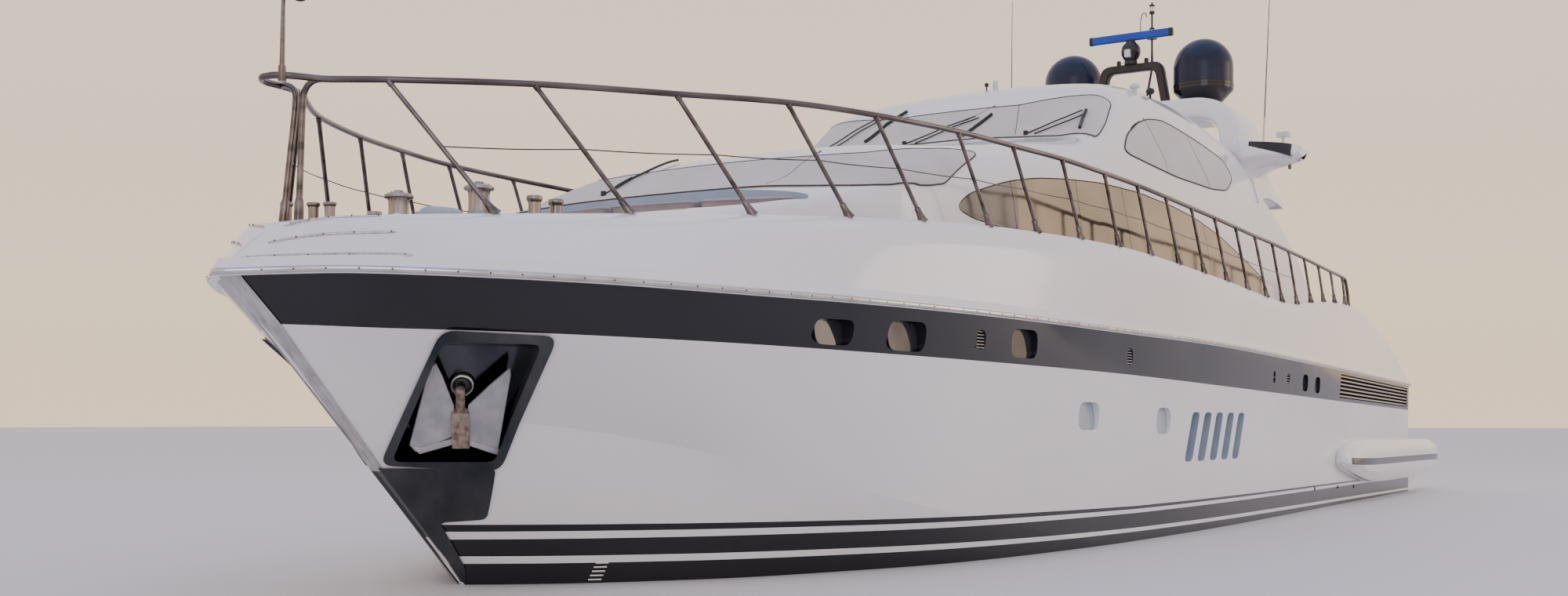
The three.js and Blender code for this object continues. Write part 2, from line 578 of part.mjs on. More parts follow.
const GLASS_CLEARANCE = 0.005;
const sideCuts = [['saloon_window', SALOON_WINDOW], ['wheelhouse_window', WHEELHOUSE_WINDOW]];
const screenCuts = [
  ['lower_windshield', bothSides(LOWER_WINDSHIELD), 4.2, 5.9],
  ['upper_windshield', bothSides(UPPER_WINDSHIELD), 5.9, 7.2],
];
const glassLayer = houseForm(0.012, 0.012).subtract(houseForm(0.05, 0.05));
let cutShell = shell;
sideCuts.forEach(([name, outline]) => {
  cutShell = cutShell.subtract(prismAlongY(outline, 1.2, 4)).subtract(prismAlongY(outline, -4, -1.2));
  const pane = glassLayer.intersect(prismAlongY(inset(outline, GLASS_CLEARANCE), 2.2, 4));
  addPiece(`${name}_port`, 'darkGlass', toGeometry(mainBody(pane)));
  addPiece(`${name}_starboard`, 'darkGlass', toGeometry(mirrorPort(mainBody(pane))));
});
screenCuts.forEach(([name, outline, z0, z1]) => {
  cutShell = cutShell.subtract(prismAlongZ(outline, z0, z1));
  const pane = glassLayer.intersect(prismAlongZ(inset(outline, GLASS_CLEARANCE), z0, z1));
  addPiece(name, 'mesh', toGeometry(pane));
});

// The shell's tail is cut away above a slope, leaving a fin on each side
const FIN_CUT = [
  [-3.4, 9], [-3.4, 6.35], [-5.3, 5.6], [-6.8, 4.78], [-7.5, 4.1], [-7.62, 3.1], [-9, 3.1], [-9, 9],
];
const roofRegion = box(-5.3, 3.6, -5, 5, ROOF_SEAM_Z, 9);
const noseRegion = box(COACHROOF_AFT_X, 20, -5, 5, 0, 9);
const tailCut = prismAlongY(FIN_CUT, -5, 5).subtract(roofRegion);
const finSpace = box(-9, HOUSE_AFT_X, -2.2, 2.2, 3, ROOF_SEAM_Z);
const housed = cutShell.subtract(tailCut).subtract(finSpace);
const RECESS = [[12.5, 0], [12.3, 1.3], [11.9, 1.9], [10.95, 1.95], [11.1, 0.9], [11.18, 0]];
const CUSHION_BED_Z = 4.02;
const recessCut = prismAlongZ(bothSides(RECESS), CUSHION_BED_Z, 6);
addPiece('coachroof', 'gelcoat', toGeometry(housed.intersect(noseRegion).subtract(recessCut)));

addPiece('hardtop', 'gelcoat', toGeometry(housed.intersect(roofRegion)));
const middle = housed
  .subtract(noseRegion.translate([-GAP, 0, 0]))
  .subtract(roofRegion.translate([0, 0, -GAP]).add(roofRegion));
addPiece('superstructure', 'gelcoat', toGeometry(middle));

// Aft bulkhead of the saloon: a fixed glazed frame and a door that slides behind it

const BULKHEAD = { x: -5.0, thick: 0.06, doorY: 0.55, doorTop: 5.3 };
const bulkheadSlab = (x0, x1) => houseForm(HOUSE_WALL + 0.002).intersect(box(x0, x1, -5, 5, SOLE_Z + GAP, 9));
const doorway = box(-6, -4, -BULKHEAD.doorY, BULKHEAD.doorY, 0, BULKHEAD.doorTop);
const bulkhead = bulkheadSlab(BULKHEAD.x - BULKHEAD.thick, BULKHEAD.x).subtract(doorway);
addPiece('aft_bulkhead', 'darkGlass', toGeometry(bulkhead));
const slideX = BULKHEAD.x + MOVING_GAP;
const DOOR_LAP = 0.06;
const doorHalf = BULKHEAD.doorY + DOOR_LAP;
const doorTop = BULKHEAD.doorTop + DOOR_LAP;
const slidingDoor = box(slideX, slideX + 0.05, -doorHalf, doorHalf, SOLE_Z + MOVING_GAP, doorTop);
addPiece('saloon_door', 'darkGlass', toGeometry(slidingDoor));

// Inside the glass: wheelhouse floor with helm console and seats, and the saloon sofas

const HELM_FLOOR_Z = 4.1;
const dashProfile = [[2.2, HELM_FLOOR_Z - 0.1], [3.3, HELM_FLOOR_Z - 0.1], [3.2, 5.2], [2.5, 5.35], [2.2, 4.9]];
const helmConsole = box(0, 3.4, -1.9, 1.9, SOLE_Z + GAP, HELM_FLOOR_Z)
  .add(prismAlongY(dashProfile, -1.8, 1.8))
  .add(rod([2.4, 0.6, 4.93], [2.05, 0.6, 5.08], 0.03, 8))
  .add(rod([2.07, 0.6, 5.07], [2.04, 0.6, 5.085], 0.21, 12));
addPiece('helm_console', 'cream', toGeometry(helmConsole));
const seatProfile = [
  [0.9, HELM_FLOOR_Z + 0.002], [1.3, HELM_FLOOR_Z + 0.002], [1.35, 4.6], [1.5, 4.65], [1.5, 4.8],
  [0.95, 4.8], [0.8, 5.5], [0.66, 5.5], [0.8, 4.62],
];
addPiece('helm_seat', 'cream', toGeometry(prismAlongY(seatProfile, -0.2, 1.4)));

const sofaProfile = [[1.25, 3.206], [2.45, 3.206], [2.45, 4.05], [2.2, 4.1], [2.05, 3.65], [1.25, 3.62]];
const sofa = prismAlongX(sofaProfile, -3.9, -0.6);
addPiece('saloon_sofa_port', 'cream', toGeometry(sofa));
addPiece('saloon_sofa_starboard', 'cream', toGeometry(mirrorPort(sofa)));

// Cockpit: sofa across the front of the sunpad base, table and sunpad

const setteeProfile = [
  [-10.59, 3.206], [-9.9, 3.206], [-9.9, 3.62], [-10.35, 3.66], [-10.5, 4.0], [-10.59, 4.0],
];
addPiece('cockpit_settee', 'taupe', toGeometry(prismAlongY(setteeProfile, -2.0, 2.0)));
const table = union([
  box(-9.3, -8.4, -0.7, 0.7, 3.9, 3.94), rod([-8.85, 0, SOLE_Z + GAP], [-8.85, 0, 3.91], 0.06, 10),
  rod([-8.85, 0, SOLE_Z + GAP], [-8.85, 0, SOLE_Z + 0.03], 0.25, 12),
]);
addPiece('cockpit_table', 'cream', toGeometry(table));
const sunpad = box(padX0 + 0.08, padX1 - 0.1, -padY + 0.08, padY - 0.08, padZ + 0.004, padZ + 0.16);
addPiece('aft_sunpad', 'taupe', toGeometry(sunpad));

// Foredeck: two cushions in front of the lower windshield

const cushionOutline = [[12.2, 0.04], [12.0, 1.2], [11.7, 1.75], [11.05, 1.8], [11.2, 0.9], [11.3, 0.04]];
const cushion = prismAlongZ(cushionOutline, CUSHION_BED_Z + 0.004, CUSHION_BED_Z + 0.24);
addPiece('foredeck_cushion_port', 'taupe', toGeometry(cushion));
addPiece('foredeck_cushion_starboard', 'taupe', toGeometry(mirrorPort(cushion)));

// Foredeck gear

const WINDLASS = { x: 14.85, y: 0.56 };
const bed = union([
  prismAlongZ([[15.3, -0.85], [15.3, 0.85], [14.45, 0.9], [14.45, -0.9]], FOREDECK_Z + GAP, FOREDECK_Z + 0.06),
  rod([WINDLASS.x, WINDLASS.y, FOREDECK_Z + 0.05], [WINDLASS.x, WINDLASS.y, FOREDECK_Z + 0.14], 0.24, 16),
  rod([WINDLASS.x, -WINDLASS.y, FOREDECK_Z + 0.05], [WINDLASS.x, -WINDLASS.y, FOREDECK_Z + 0.14], 0.24, 16),
]);
addPiece('windlass_bed', 'steel', toGeometry(bed));
const capstanFoot = FOREDECK_Z + 0.14 + MOVING_GAP;
const capstanProfile = [
  [0, 0], [0.2, 0], [0.2, 0.06], [0.14, 0.12], [0.13, 0.36], [0.19, 0.4], [0.19, 0.44], [0.06, 0.47], [0, 0.47],
];
const capstan = turned(capstanProfile, WINDLASS.x, WINDLASS.y, capstanFoot);
addPiece('capstan_port', 'steel', toGeometry(capstan));
addPiece('capstan_starboard', 'steel', toGeometry(mirrorPort(capstan)));

function bollards(x, y) {
  const foot = FOREDECK_Z + GAP;
  return union([
    box(x - 0.3, x + 0.3, y - 0.09, y + 0.09, foot, foot + 0.03),
    rod([x - 0.18, y, foot], [x - 0.18, y, foot + 0.42], 0.07, 12),
    rod([x + 0.18, y, foot], [x + 0.18, y, foot + 0.42], 0.07, 12),
    rod([x - 0.27, y, foot + 0.3], [x + 0.27, y, foot + 0.3], 0.025, 8),
  ]);
}
addPiece('bollards_port', 'steel', toGeometry(bollards(14.45, 1.2)));
addPiece('bollards_starboard', 'steel', toGeometry(bollards(14.45, -1.2)));

// Guard rails: raked stanchions on the bulwark and a top rail

const RAIL = { firstX: 15.56, tube: 0.028, post: 0.021 };
const RAIL_RUNS = [{ count: 14, pitch: 1.19 }, { count: 6, pitch: 1.04 }];

// How far the top of a stanchion stands forward and inboard of its foot
const RAIL_SLANT = [
  { index: 0, rake: 0.54, lean: 0.85 },
  { index: 1, rake: 0.72, lean: 0.6 },
  { index: 2, rake: 0.65, lean: 0.48 },
  { index: 4, rake: 0.67, lean: 0.23 },
  { index: 5, rake: 0.6, lean: 0.12 },
  { index: 8, rake: 0.22, lean: 0.12 },
  { index: 14, rake: 0.2, lean: 0.15 },
  { index: 20, rake: 0, lean: 0.06 },
];
const RAIL_TOP = [
  { x: -7.3, z: 4.63 }, { x: -5.4, z: 4.69 }, { x: -2.1, z: 4.82 }, { x: 1.5, z: 4.91 }, { x: 5.0, z: 5.0 },
  { x: 7.4, z: 5.04 }, { x: 10.2, z: 5.02 }, { x: 12.7, z: 4.98 }, { x: 13.8, z: 4.93 }, { x: 16.1, z: 4.86 },
];

function valueOn(rows, key, value, at) {
  return between(rows.map((row) => row[key]), rows.map((row) => [row[value]]), at)[0];
}

const stanchionX = [RAIL.firstX];
RAIL_RUNS.forEach(({ count, pitch }) => {
  for (let i = 0; i < count; i += 1) stanchionX.push(stanchionX[stanchionX.length - 1] - pitch);
});

const stanchions = stanchionX.map((baseX, index) => {
  const [x, y, z] = rimAtX(baseX);
  const foot = [x, y - RIM_WIDTH * 0.3, z + GAP];
  const topX = x + valueOn(RAIL_SLANT, 'index', 'rake', index);
  const topY = foot[1] - valueOn(RAIL_SLANT, 'index', 'lean', index);
  return { foot, top: [topX, topY, valueOn(RAIL_TOP, 'x', 'z', topX)] };
});
const posts = stanchions.map(({ foot, top }) => rod(foot, top, RAIL.post, 5));
const railPath = stanchions.map(({ top }) => top);
const topRail = tube(railPath, RAIL.tube, 26, 6);
const guardRail = mainBody(union([topRail, ...posts]).subtract(deckTwice));
addPiece('guard_rail_port', 'steel', toGeometry(guardRail));
addPiece('guard_rail_starboard', 'steel', toGeometry(mirrorPort(guardRail)));

// Pulpit: the rails run forward from the first stanchions and meet in a narrow nose

const pulpitStart = railPath[0];
const pulpitSide = [
  [pulpitStart[0] + 0.035, pulpitStart[1] - 0.02, pulpitStart[2]],
  [16.4, 0.4, 4.83], [16.6, 0.29, 4.81], [16.84, 0.22, 4.8],
];
const pulpitNose = [[16.97, 0.1, 4.8], [16.97, -0.1, 4.8]];
const mirrored = [...pulpitSide].reverse().map(([x, y, z]) => [x, -y, z]);
const upright = (side) => rod([16.7, side * 0.12, 3.46], [16.8, side * 0.235, 4.8], RAIL.post, 6);
const pulpitFoot = (side) => rod([16.7, side * 0.12, 3.46], [16.72, side * 0.135, 3.66], 0.036, 8);
const pulpit = union([
  tube([...pulpitSide, ...pulpitNose, ...mirrored], RAIL.tube, 24, 6),
  upright(1), upright(-1), pulpitFoot(1), pulpitFoot(-1),
]).subtract(deckTwice);
addPiece('pulpit', 'steel', toGeometry(mainBody(pulpit)));

const BALL = { x: 16.74, y: 0.14, z: 5.55, radius: 0.1 };
const jackstaff = union([
  rod([16.74, 0, 3.45], [16.8, 0, 5.7], 0.024, 8, 0.016),
  rod([16.79, 0, BALL.z], [BALL.x, BALL.y - 0.02, BALL.z], 0.01, 5),
  toSolid(new THREE.SphereGeometry(BALL.radius, 10, 8).translate(BALL.x, BALL.y, BALL.z)),
]).subtract(deckTwice);
addPiece('jackstaff', 'black', toGeometry(jackstaff));

// Radar arch with its legs, crossbeam and side wings

const ARCH = { x: -4.6, beamZ: 7.98, beamHalf: 2.0 };

function archLeg() {
  const rows = [
    { z: 6.2, x0: -5.2, x1: -2.6, y: 2.44, half: 0.14 },
    { z: 6.8, x0: -5.3, x1: -3.3, y: 2.4, half: 0.14 },
    { z: 7.5, x0: -5.4, x1: -4.0, y: 2.1, half: 0.15 },
    { z: ARCH.beamZ, x0: -5.4, x1: -4.3, y: 1.75, half: 0.16 },
  ];
  const sections = rows.map(({ z, x0, x1, y, half }) => {
    const inner = y - half;
    const outer = y + half;
    return [[x0, inner, z], [x1, inner, z], [x1, outer, z], [x0, outer, z]];
  });
  return loft(sections, [0, 1]);
}

const wing = prismAlongZ([[-3.1, 2.3], [-3.5, 3.3], [-4.3, 3.45], [-4.9, 3.3], [-5.1, 2.3]], 6.72, 6.94);
const beam = box(ARCH.x - 0.75, ARCH.x + 0.35, -ARCH.beamHalf, ARCH.beamHalf, ARCH.beamZ - 0.25, ARCH.beamZ);
const houseSolid = houseForm(0).add(houseForm(0).translate([0, 0, GAP]));
const arch = union([beam, archLeg(), mirrorPort(archLeg()), wing, mirrorPort(wing)]).subtract(houseSolid);
addPiece('radar_arch', 'gelcoat', toGeometry(arch));

// Domes, mast frame and radar

const DOME = { x: ARCH.x - 0.2, y: 1.38, radius: 0.59, capZ: 0.72, height: 1.3, seatRadius: 0.3 };
const domeProfile = [
  [0, 0], [DOME.seatRadius, 0], [DOME.radius * 0.96, 0.24], [DOME.radius, 0.34], [DOME.radius, DOME.capZ],
];
const CAP_STEPS = 5;
for (let i = 1; i < CAP_STEPS; i += 1) {
  const angle = (i / CAP_STEPS) * (Math.PI / 2);
  domeProfile.push([DOME.radius * Math.cos(angle), DOME.capZ + (DOME.height - DOME.capZ) * Math.sin(angle)]);
}
domeProfile.push([0, DOME.height]);
const dome = turned(domeProfile, DOME.x, DOME.y, ARCH.beamZ + GAP, 20);
addPiece('dome_port', 'navy', toGeometry(dome));
addPiece('dome_starboard', 'navy', toGeometry(mirrorPort(dome)));

const MAST = { x: ARCH.x, poleX: ARCH.x - 0.98, halfTop: 0.5, halfFoot: 0.66, bar: 0.16, topZ: 8.9 };
const mastLeg = (side) => prismAlongX([
  [side * MAST.halfFoot, ARCH.beamZ + GAP], [side * MAST.halfTop, MAST.topZ - 0.02],
  [side * (MAST.halfTop - MAST.bar), MAST.topZ - 0.02], [side * (MAST.halfFoot - MAST.bar), ARCH.beamZ + GAP],
], MAST.x - 0.12, MAST.x + 0.12);
const pedestalProfile = [[0, 0], [0.2, 0], [0.2, 0.12], [0.12, 0.2], [0.12, 0.42], [0, 0.42]];
const mast = union([
  mastLeg(1), mastLeg(-1),
  box(MAST.x - 0.14, MAST.x + 0.14, -MAST.halfTop, MAST.halfTop, MAST.topZ - 0.14, MAST.topZ),
  turned(pedestalProfile, MAST.x + 0.02, 0, MAST.topZ - 0.01, 12),
  box(MAST.poleX, MAST.x - 0.1, -0.04, 0.04, MAST.topZ - 0.1, MAST.topZ - 0.02),
  rod([MAST.x - 0.62, 0, ARCH.beamZ + GAP], [MAST.poleX, 0, MAST.topZ + 0.1], 0.035, 8),
  rod([MAST.poleX, 0, MAST.topZ + 0.09], [MAST.poleX - 0.02, 0, MAST.topZ + 1.5], 0.035, 8, 0.02),
]);
addPiece('mast_frame', 'black', toGeometry(mast.subtract(beam.translate([0, 0, GAP]))));
const SCANNER = { x: MAST.x + 0.02, z: MAST.topZ + 0.41 + MOVING_GAP, half: 0.88, depth: 0.1, height: 0.13 };
const barZ = SCANNER.z + 0.05;
const scanner = union([
  box(SCANNER.x - SCANNER.depth, SCANNER.x + SCANNER.depth, -SCANNER.half, SCANNER.half, barZ, barZ + SCANNER.height),
  rod([SCANNER.x, 0, SCANNER.z], [SCANNER.x, 0, SCANNER.z + 0.08], 0.09, 12),
]);
addPiece('radar_scanner', 'blue', toGeometry(scanner));

const whip = rod([-4.62, 2.66, 6.944], [-4.86, 2.74, 10.6], 0.022, 6, 0.008);
addPiece('whip_antenna_port', 'gelcoat', toGeometry(whip));
addPiece('whip_antenna_starboard', 'gelcoat', toGeometry(mirrorPort(whip)));

// Engines as plain blocks, shafts, propellers and rudders

const DRIVE = { y: 1.35, shaftForeX: -7.2, shaftForeZ: -0.2, propX: -12.35, propZ: -1.42, propRadius: 0.46 };
const ENGINE = { x0: -8.6, x1: -5.4, halfWidth: 0.65, topZ: 1.25 };
const engine = box(
  ENGINE.x0, ENGINE.x1, DRIVE.y + 0.05 - ENGINE.halfWidth, DRIVE.y + 0.05 + ENGINE.halfWidth,
  ENGINE_BAY.z0 + GAP, ENGINE.topZ,
);
addPiece('engine_port', 'engine', toGeometry(engine));
addPiece('engine_starboard', 'engine', toGeometry(mirrorPort(engine)));

const hullGrown = union([hullSkin, hullSkin.translate([0, 0, -GAP * 2])]);
const shaftSlope = (DRIVE.shaftForeZ - DRIVE.propZ) / (DRIVE.shaftForeX - DRIVE.propX);
const onShaft = (ahead) => [DRIVE.propX + ahead, DRIVE.y, DRIVE.propZ + ahead * shaftSlope];
const shaft = union([
  rod([DRIVE.shaftForeX, DRIVE.y, DRIVE.shaftForeZ], onShaft(0.24), 0.05, 10),
  rod(onShaft(0.75), onShaft(0.3), 0.09, 10),
  prismAlongY([[-11.9, -1.25], [-11.6, -1.25], [-11.5, -0.4], [-11.9, -0.4]], DRIVE.y - 0.02, DRIVE.y + 0.02),
]).subtract(hullGrown);
addPiece('shaft_port', 'bronze', toGeometry(shaft));
addPiece('shaft_starboard', 'bronze', toGeometry(mirrorPort(shaft)));

const PROP_BLADES = 4;

function propeller() {
  const hub = new THREE.CylinderGeometry(0.08, 0.095, 0.3, 12).rotateZ(Math.PI / 2);
  let wheel = toSolid(hub);
  for (let blade = 0; blade < PROP_BLADES; blade += 1) {
    const outline = new THREE.Shape();
    outline.moveTo(-0.05, 0.05);
    outline.quadraticCurveTo(-0.24, 0.26, -0.08, DRIVE.propRadius - 0.01);
    outline.quadraticCurveTo(0.22, 0.4, 0.06, 0.05);
    const plate = new THREE.ExtrudeGeometry(outline, { depth: 0.02, bevelEnabled: false, curveSegments: 6 });
    plate.translate(0, 0, -0.01);
    plate.rotateY(THREE.MathUtils.degToRad(55));
    plate.rotateX((blade / PROP_BLADES) * 2 * Math.PI);
    wheel = wheel.add(toSolid(plate));
  }
  return wheel;
}
const shaftTilt = THREE.MathUtils.radToDeg(Math.atan(shaftSlope));
const wheelPort = propeller().rotate([0, -shaftTilt, 0]).translate([DRIVE.propX, DRIVE.y, DRIVE.propZ]);
addPiece('propeller_port', 'bronze', toGeometry(wheelPort));
addPiece('propeller_starboard', 'bronze', toGeometry(mirrorPort(wheelPort)));

const RUDDER = { stockX: -13.35, topZ: -0.9, footZ: -1.75, stockTopZ: -0.71 };
const rudderOutline = [
  [0.2, 0], [0.1, 0.045], [-0.15, 0.04], [-0.5, 0.01], [-0.5, -0.01], [-0.15, -0.04], [0.1, -0.045],
];
const rudder = union([
  prismAlongZ(rudderOutline, RUDDER.footZ, RUDDER.topZ),
  rod([0, 0, RUDDER.topZ - 0.05], [0, 0, RUDDER.stockTopZ], 0.05, 10),
]).translate([RUDDER.stockX, DRIVE.y, 0]);
addPiece('rudder_port', 'bronze', toGeometry(rudder));
addPiece('rudder_starboard', 'bronze', toGeometry(mirrorPort(rudder)));

export default yacht;
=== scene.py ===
import math

import bmesh
import bpy
from mathutils import Matrix, Vector


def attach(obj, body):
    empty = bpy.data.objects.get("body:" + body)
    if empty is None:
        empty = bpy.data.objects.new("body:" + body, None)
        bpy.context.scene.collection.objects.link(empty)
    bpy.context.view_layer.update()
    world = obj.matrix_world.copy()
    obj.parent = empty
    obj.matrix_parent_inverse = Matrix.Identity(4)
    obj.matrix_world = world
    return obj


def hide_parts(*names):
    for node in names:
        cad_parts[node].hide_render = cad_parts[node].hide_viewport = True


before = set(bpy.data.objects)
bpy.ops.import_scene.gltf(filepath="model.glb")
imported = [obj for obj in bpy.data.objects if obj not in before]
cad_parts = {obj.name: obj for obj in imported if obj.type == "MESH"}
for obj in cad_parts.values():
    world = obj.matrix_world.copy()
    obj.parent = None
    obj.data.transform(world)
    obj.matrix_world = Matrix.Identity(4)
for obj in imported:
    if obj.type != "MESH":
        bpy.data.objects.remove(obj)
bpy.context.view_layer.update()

# An open motor yacht, 34 m long, afloat. +X is forward, +Y is port, +Z is up, and the
# waterline is at z = 0. Sizes are metres.
SIDES = (("port", 1), ("starboard", -1))

# Camera, floor and light.
# The yacht is seen from a boat's height off its port bow. The floor lies at the
# waterline, and large soft lamps stand round it as in a photo studio.
camera_data = bpy.data.cameras.new("camera")
camera = bpy.data.objects.new("camera", camera_data)
bpy.context.scene.collection.objects.link(camera)
bpy.context.scene.camera = camera
CAMERA_PLACE = (26.806, 11.854, 1.685)
CAMERA_BEARING = math.radians(32.74)
camera.location = CAMERA_PLACE
camera.rotation_euler = (math.pi / 2, 0, math.pi / 2 + CAMERA_BEARING)
camera_data.sensor_width = 36
camera_data.lens = 37.31
camera_data.shift_y = 0.0785
camera_data.clip_end = 2000


def new_object(name, vertices, faces):
    mesh = bpy.data.meshes.new(name)
    mesh.from_pydata([tuple(point) for point in vertices], [], faces)
    mesh.validate()
    thing = bpy.data.objects.new(name, mesh)
    bpy.context.scene.collection.objects.link(thing)
    return thing


def new_material(name, colour, roughness, metallic=0.0):
    material = bpy.data.materials.new(name)
    material.use_nodes = True
    surface = material.node_tree.nodes["Principled BSDF"]
    surface.inputs["Base Color"].default_value = (*colour, 1)
    surface.inputs["Roughness"].default_value = roughness
    surface.inputs["Metallic"].default_value = metallic
    return material


def add_node(material, kind, **values):
    node = material.node_tree.nodes.new(kind)
    for key, value in values.items():
        if hasattr(node, key):
            setattr(node, key, value)
        else:
            node.inputs[key.replace("_", " ")].default_value = value
    return node


def join_nodes(material, output, target):
    material.node_tree.links.new(output, target)


def shader_of(material):
    return material.node_tree.nodes["Principled BSDF"]


NOISE_RANGE = (0.3, 0.7)


def mottle(material, dark, light, scale, stretch=(1, 1, 1), roughness=None):
    """Lets the colour wander between two tones, and the roughness with it."""
    place = add_node(material, "ShaderNodeTexCoord")
    stretched = add_node(material, "ShaderNodeMapping")
    stretched.inputs["Scale"].default_value = stretch
    join_nodes(material, place.outputs["Object"], stretched.inputs["Vector"])
    noise = add_node(material, "ShaderNodeTexNoise", Scale=scale, Detail=6.0)
    join_nodes(material, stretched.outputs["Vector"], noise.inputs["Vector"])
    tones = add_node(material, "ShaderNodeValToRGB")
    tones.color_ramp.elements[0].position = NOISE_RANGE[0]
    tones.color_ramp.elements[0].color = (*dark, 1)
    tones.color_ramp.elements[1].position = NOISE_RANGE[1]
    tones.color_ramp.elements[1].color = (*light, 1)
    join_nodes(material, noise.outputs["Fac"], tones.inputs["Fac"])
    join_nodes(material, tones.outputs["Color"], shader_of(material).inputs["Base Color"])
    if roughness:
        polish = add_node(material, "ShaderNodeMapRange")
        polish.inputs["From Min"].default_value = NOISE_RANGE[0]
        polish.inputs["From Max"].default_value = NOISE_RANGE[1]
        polish.inputs["To Min"].default_value = roughness[0]
        polish.inputs["To Max"].default_value = roughness[1]
        join_nodes(material, noise.outputs["Fac"], polish.inputs["Value"])
        join_nodes(material, polish.outputs["Result"], shader_of(material).inputs["Roughness"])


def roughen(material, scale, distance, detail=2.0, stretch=(1, 1, 1)):
    """Gives the surface a fine relief, by its own bump."""
    place = add_node(material, "ShaderNodeTexCoord")
    stretched = add_node(material, "ShaderNodeMapping")
    stretched.inputs["Scale"].default_value = stretch
    noise = add_node(material, "ShaderNodeTexNoise", Scale=scale, Detail=detail)
    relief = add_node(material, "ShaderNodeBump", Distance=distance, Strength=1.0)
    join_nodes(material, place.outputs["Object"], stretched.inputs["Vector"])
    join_nodes(material, stretched.outputs["Vector"], noise.inputs["Vector"])
    join_nodes(material, noise.outputs["Fac"], relief.inputs["Height"])
    join_nodes(material, relief.outputs["Normal"], shader_of(material).inputs["Normal"])


FLOOR_REACH = 400
floor = new_object(
    "floor",
    [(-FLOOR_REACH, -FLOOR_REACH, 0), (FLOOR_REACH, -FLOOR_REACH, 0),
     (FLOOR_REACH, FLOOR_REACH, 0), (-FLOOR_REACH, FLOOR_REACH, 0)],
    [(0, 1, 2, 3)],
)
floor.data.materials.append(new_material("floor_paint", (0.72, 0.7, 0.7), 0.6))

world = bpy.data.worlds.new("studio")
bpy.context.scene.world = world
world.use_nodes = True
WORLD_TONES = [
    (0.0, (0.5, 0.5, 0.6)), (0.5, (1.0, 0.76, 0.52)), (0.62, (0.95, 0.77, 0.62)), (1.0, (0.4, 0.5, 0.8)),
]
backdrop = world.node_tree.nodes["Background"]
backdrop.inputs["Strength"].default_value = 1.35
sky_place = add_node(world, "ShaderNodeTexCoord")
sky_parts = add_node(world, "ShaderNodeSeparateXYZ")
sky_level = add_node(world, "ShaderNodeMapRange")
sky_level.inputs["From Min"].default_value = -1.0
sky_tones = add_node(world, "ShaderNodeValToRGB")
tone_stops = sky_tones.color_ramp.elements
for stop in range(len(WORLD_TONES) - 2):
    tone_stops.new(0.5)
for stop, (at, tone) in zip(tone_stops, WORLD_TONES):
    stop.position = at
    stop.color = (*tone, 1)
join_nodes(world, sky_place.outputs["Generated"], sky_parts.inputs["Vector"])
join_nodes(world, sky_parts.outputs["Z"], sky_level.inputs["Value"])
join_nodes(world, sky_level.outputs["Result"], sky_tones.inputs["Fac"])
join_nodes(world, sky_tones.outputs["Color"], backdrop.inputs["Color"])

LAMPS = [
    {"name": "top_lamp", "place": (4, 0, 30), "aim": (2, 0, 0), "size": 34, "power": 1200,
     "tone": (0.8, 0.86, 1.0)},
    {"name": "bow_lamp", "place": (44, 20, 16), "aim": (8, 1, 3), "size": 22, "power": 2400,
     "tone": (0.62, 0.72, 1.0)},
    {"name": "quarter_lamp", "place": (-26, 34, 10), "aim": (-6, 2, 4), "size": 20, "power": 2600,
     "tone": (1.0, 0.8, 0.66)},
]
for row in LAMPS:
    lamp_data = bpy.data.lights.new(row["name"], "AREA")
    lamp_data.size = row["size"]
    lamp_data.energy = row["power"]
    lamp_data.color = row["tone"]
    lamp = bpy.data.objects.new(row["name"], lamp_data)
    bpy.context.scene.collection.objects.link(lamp)
    lamp.location = row["place"]
    towards = Vector(row["aim"]) - Vector(row["place"])
    lamp.rotation_euler = towards.to_track_quat("-Z", "Y").to_euler()

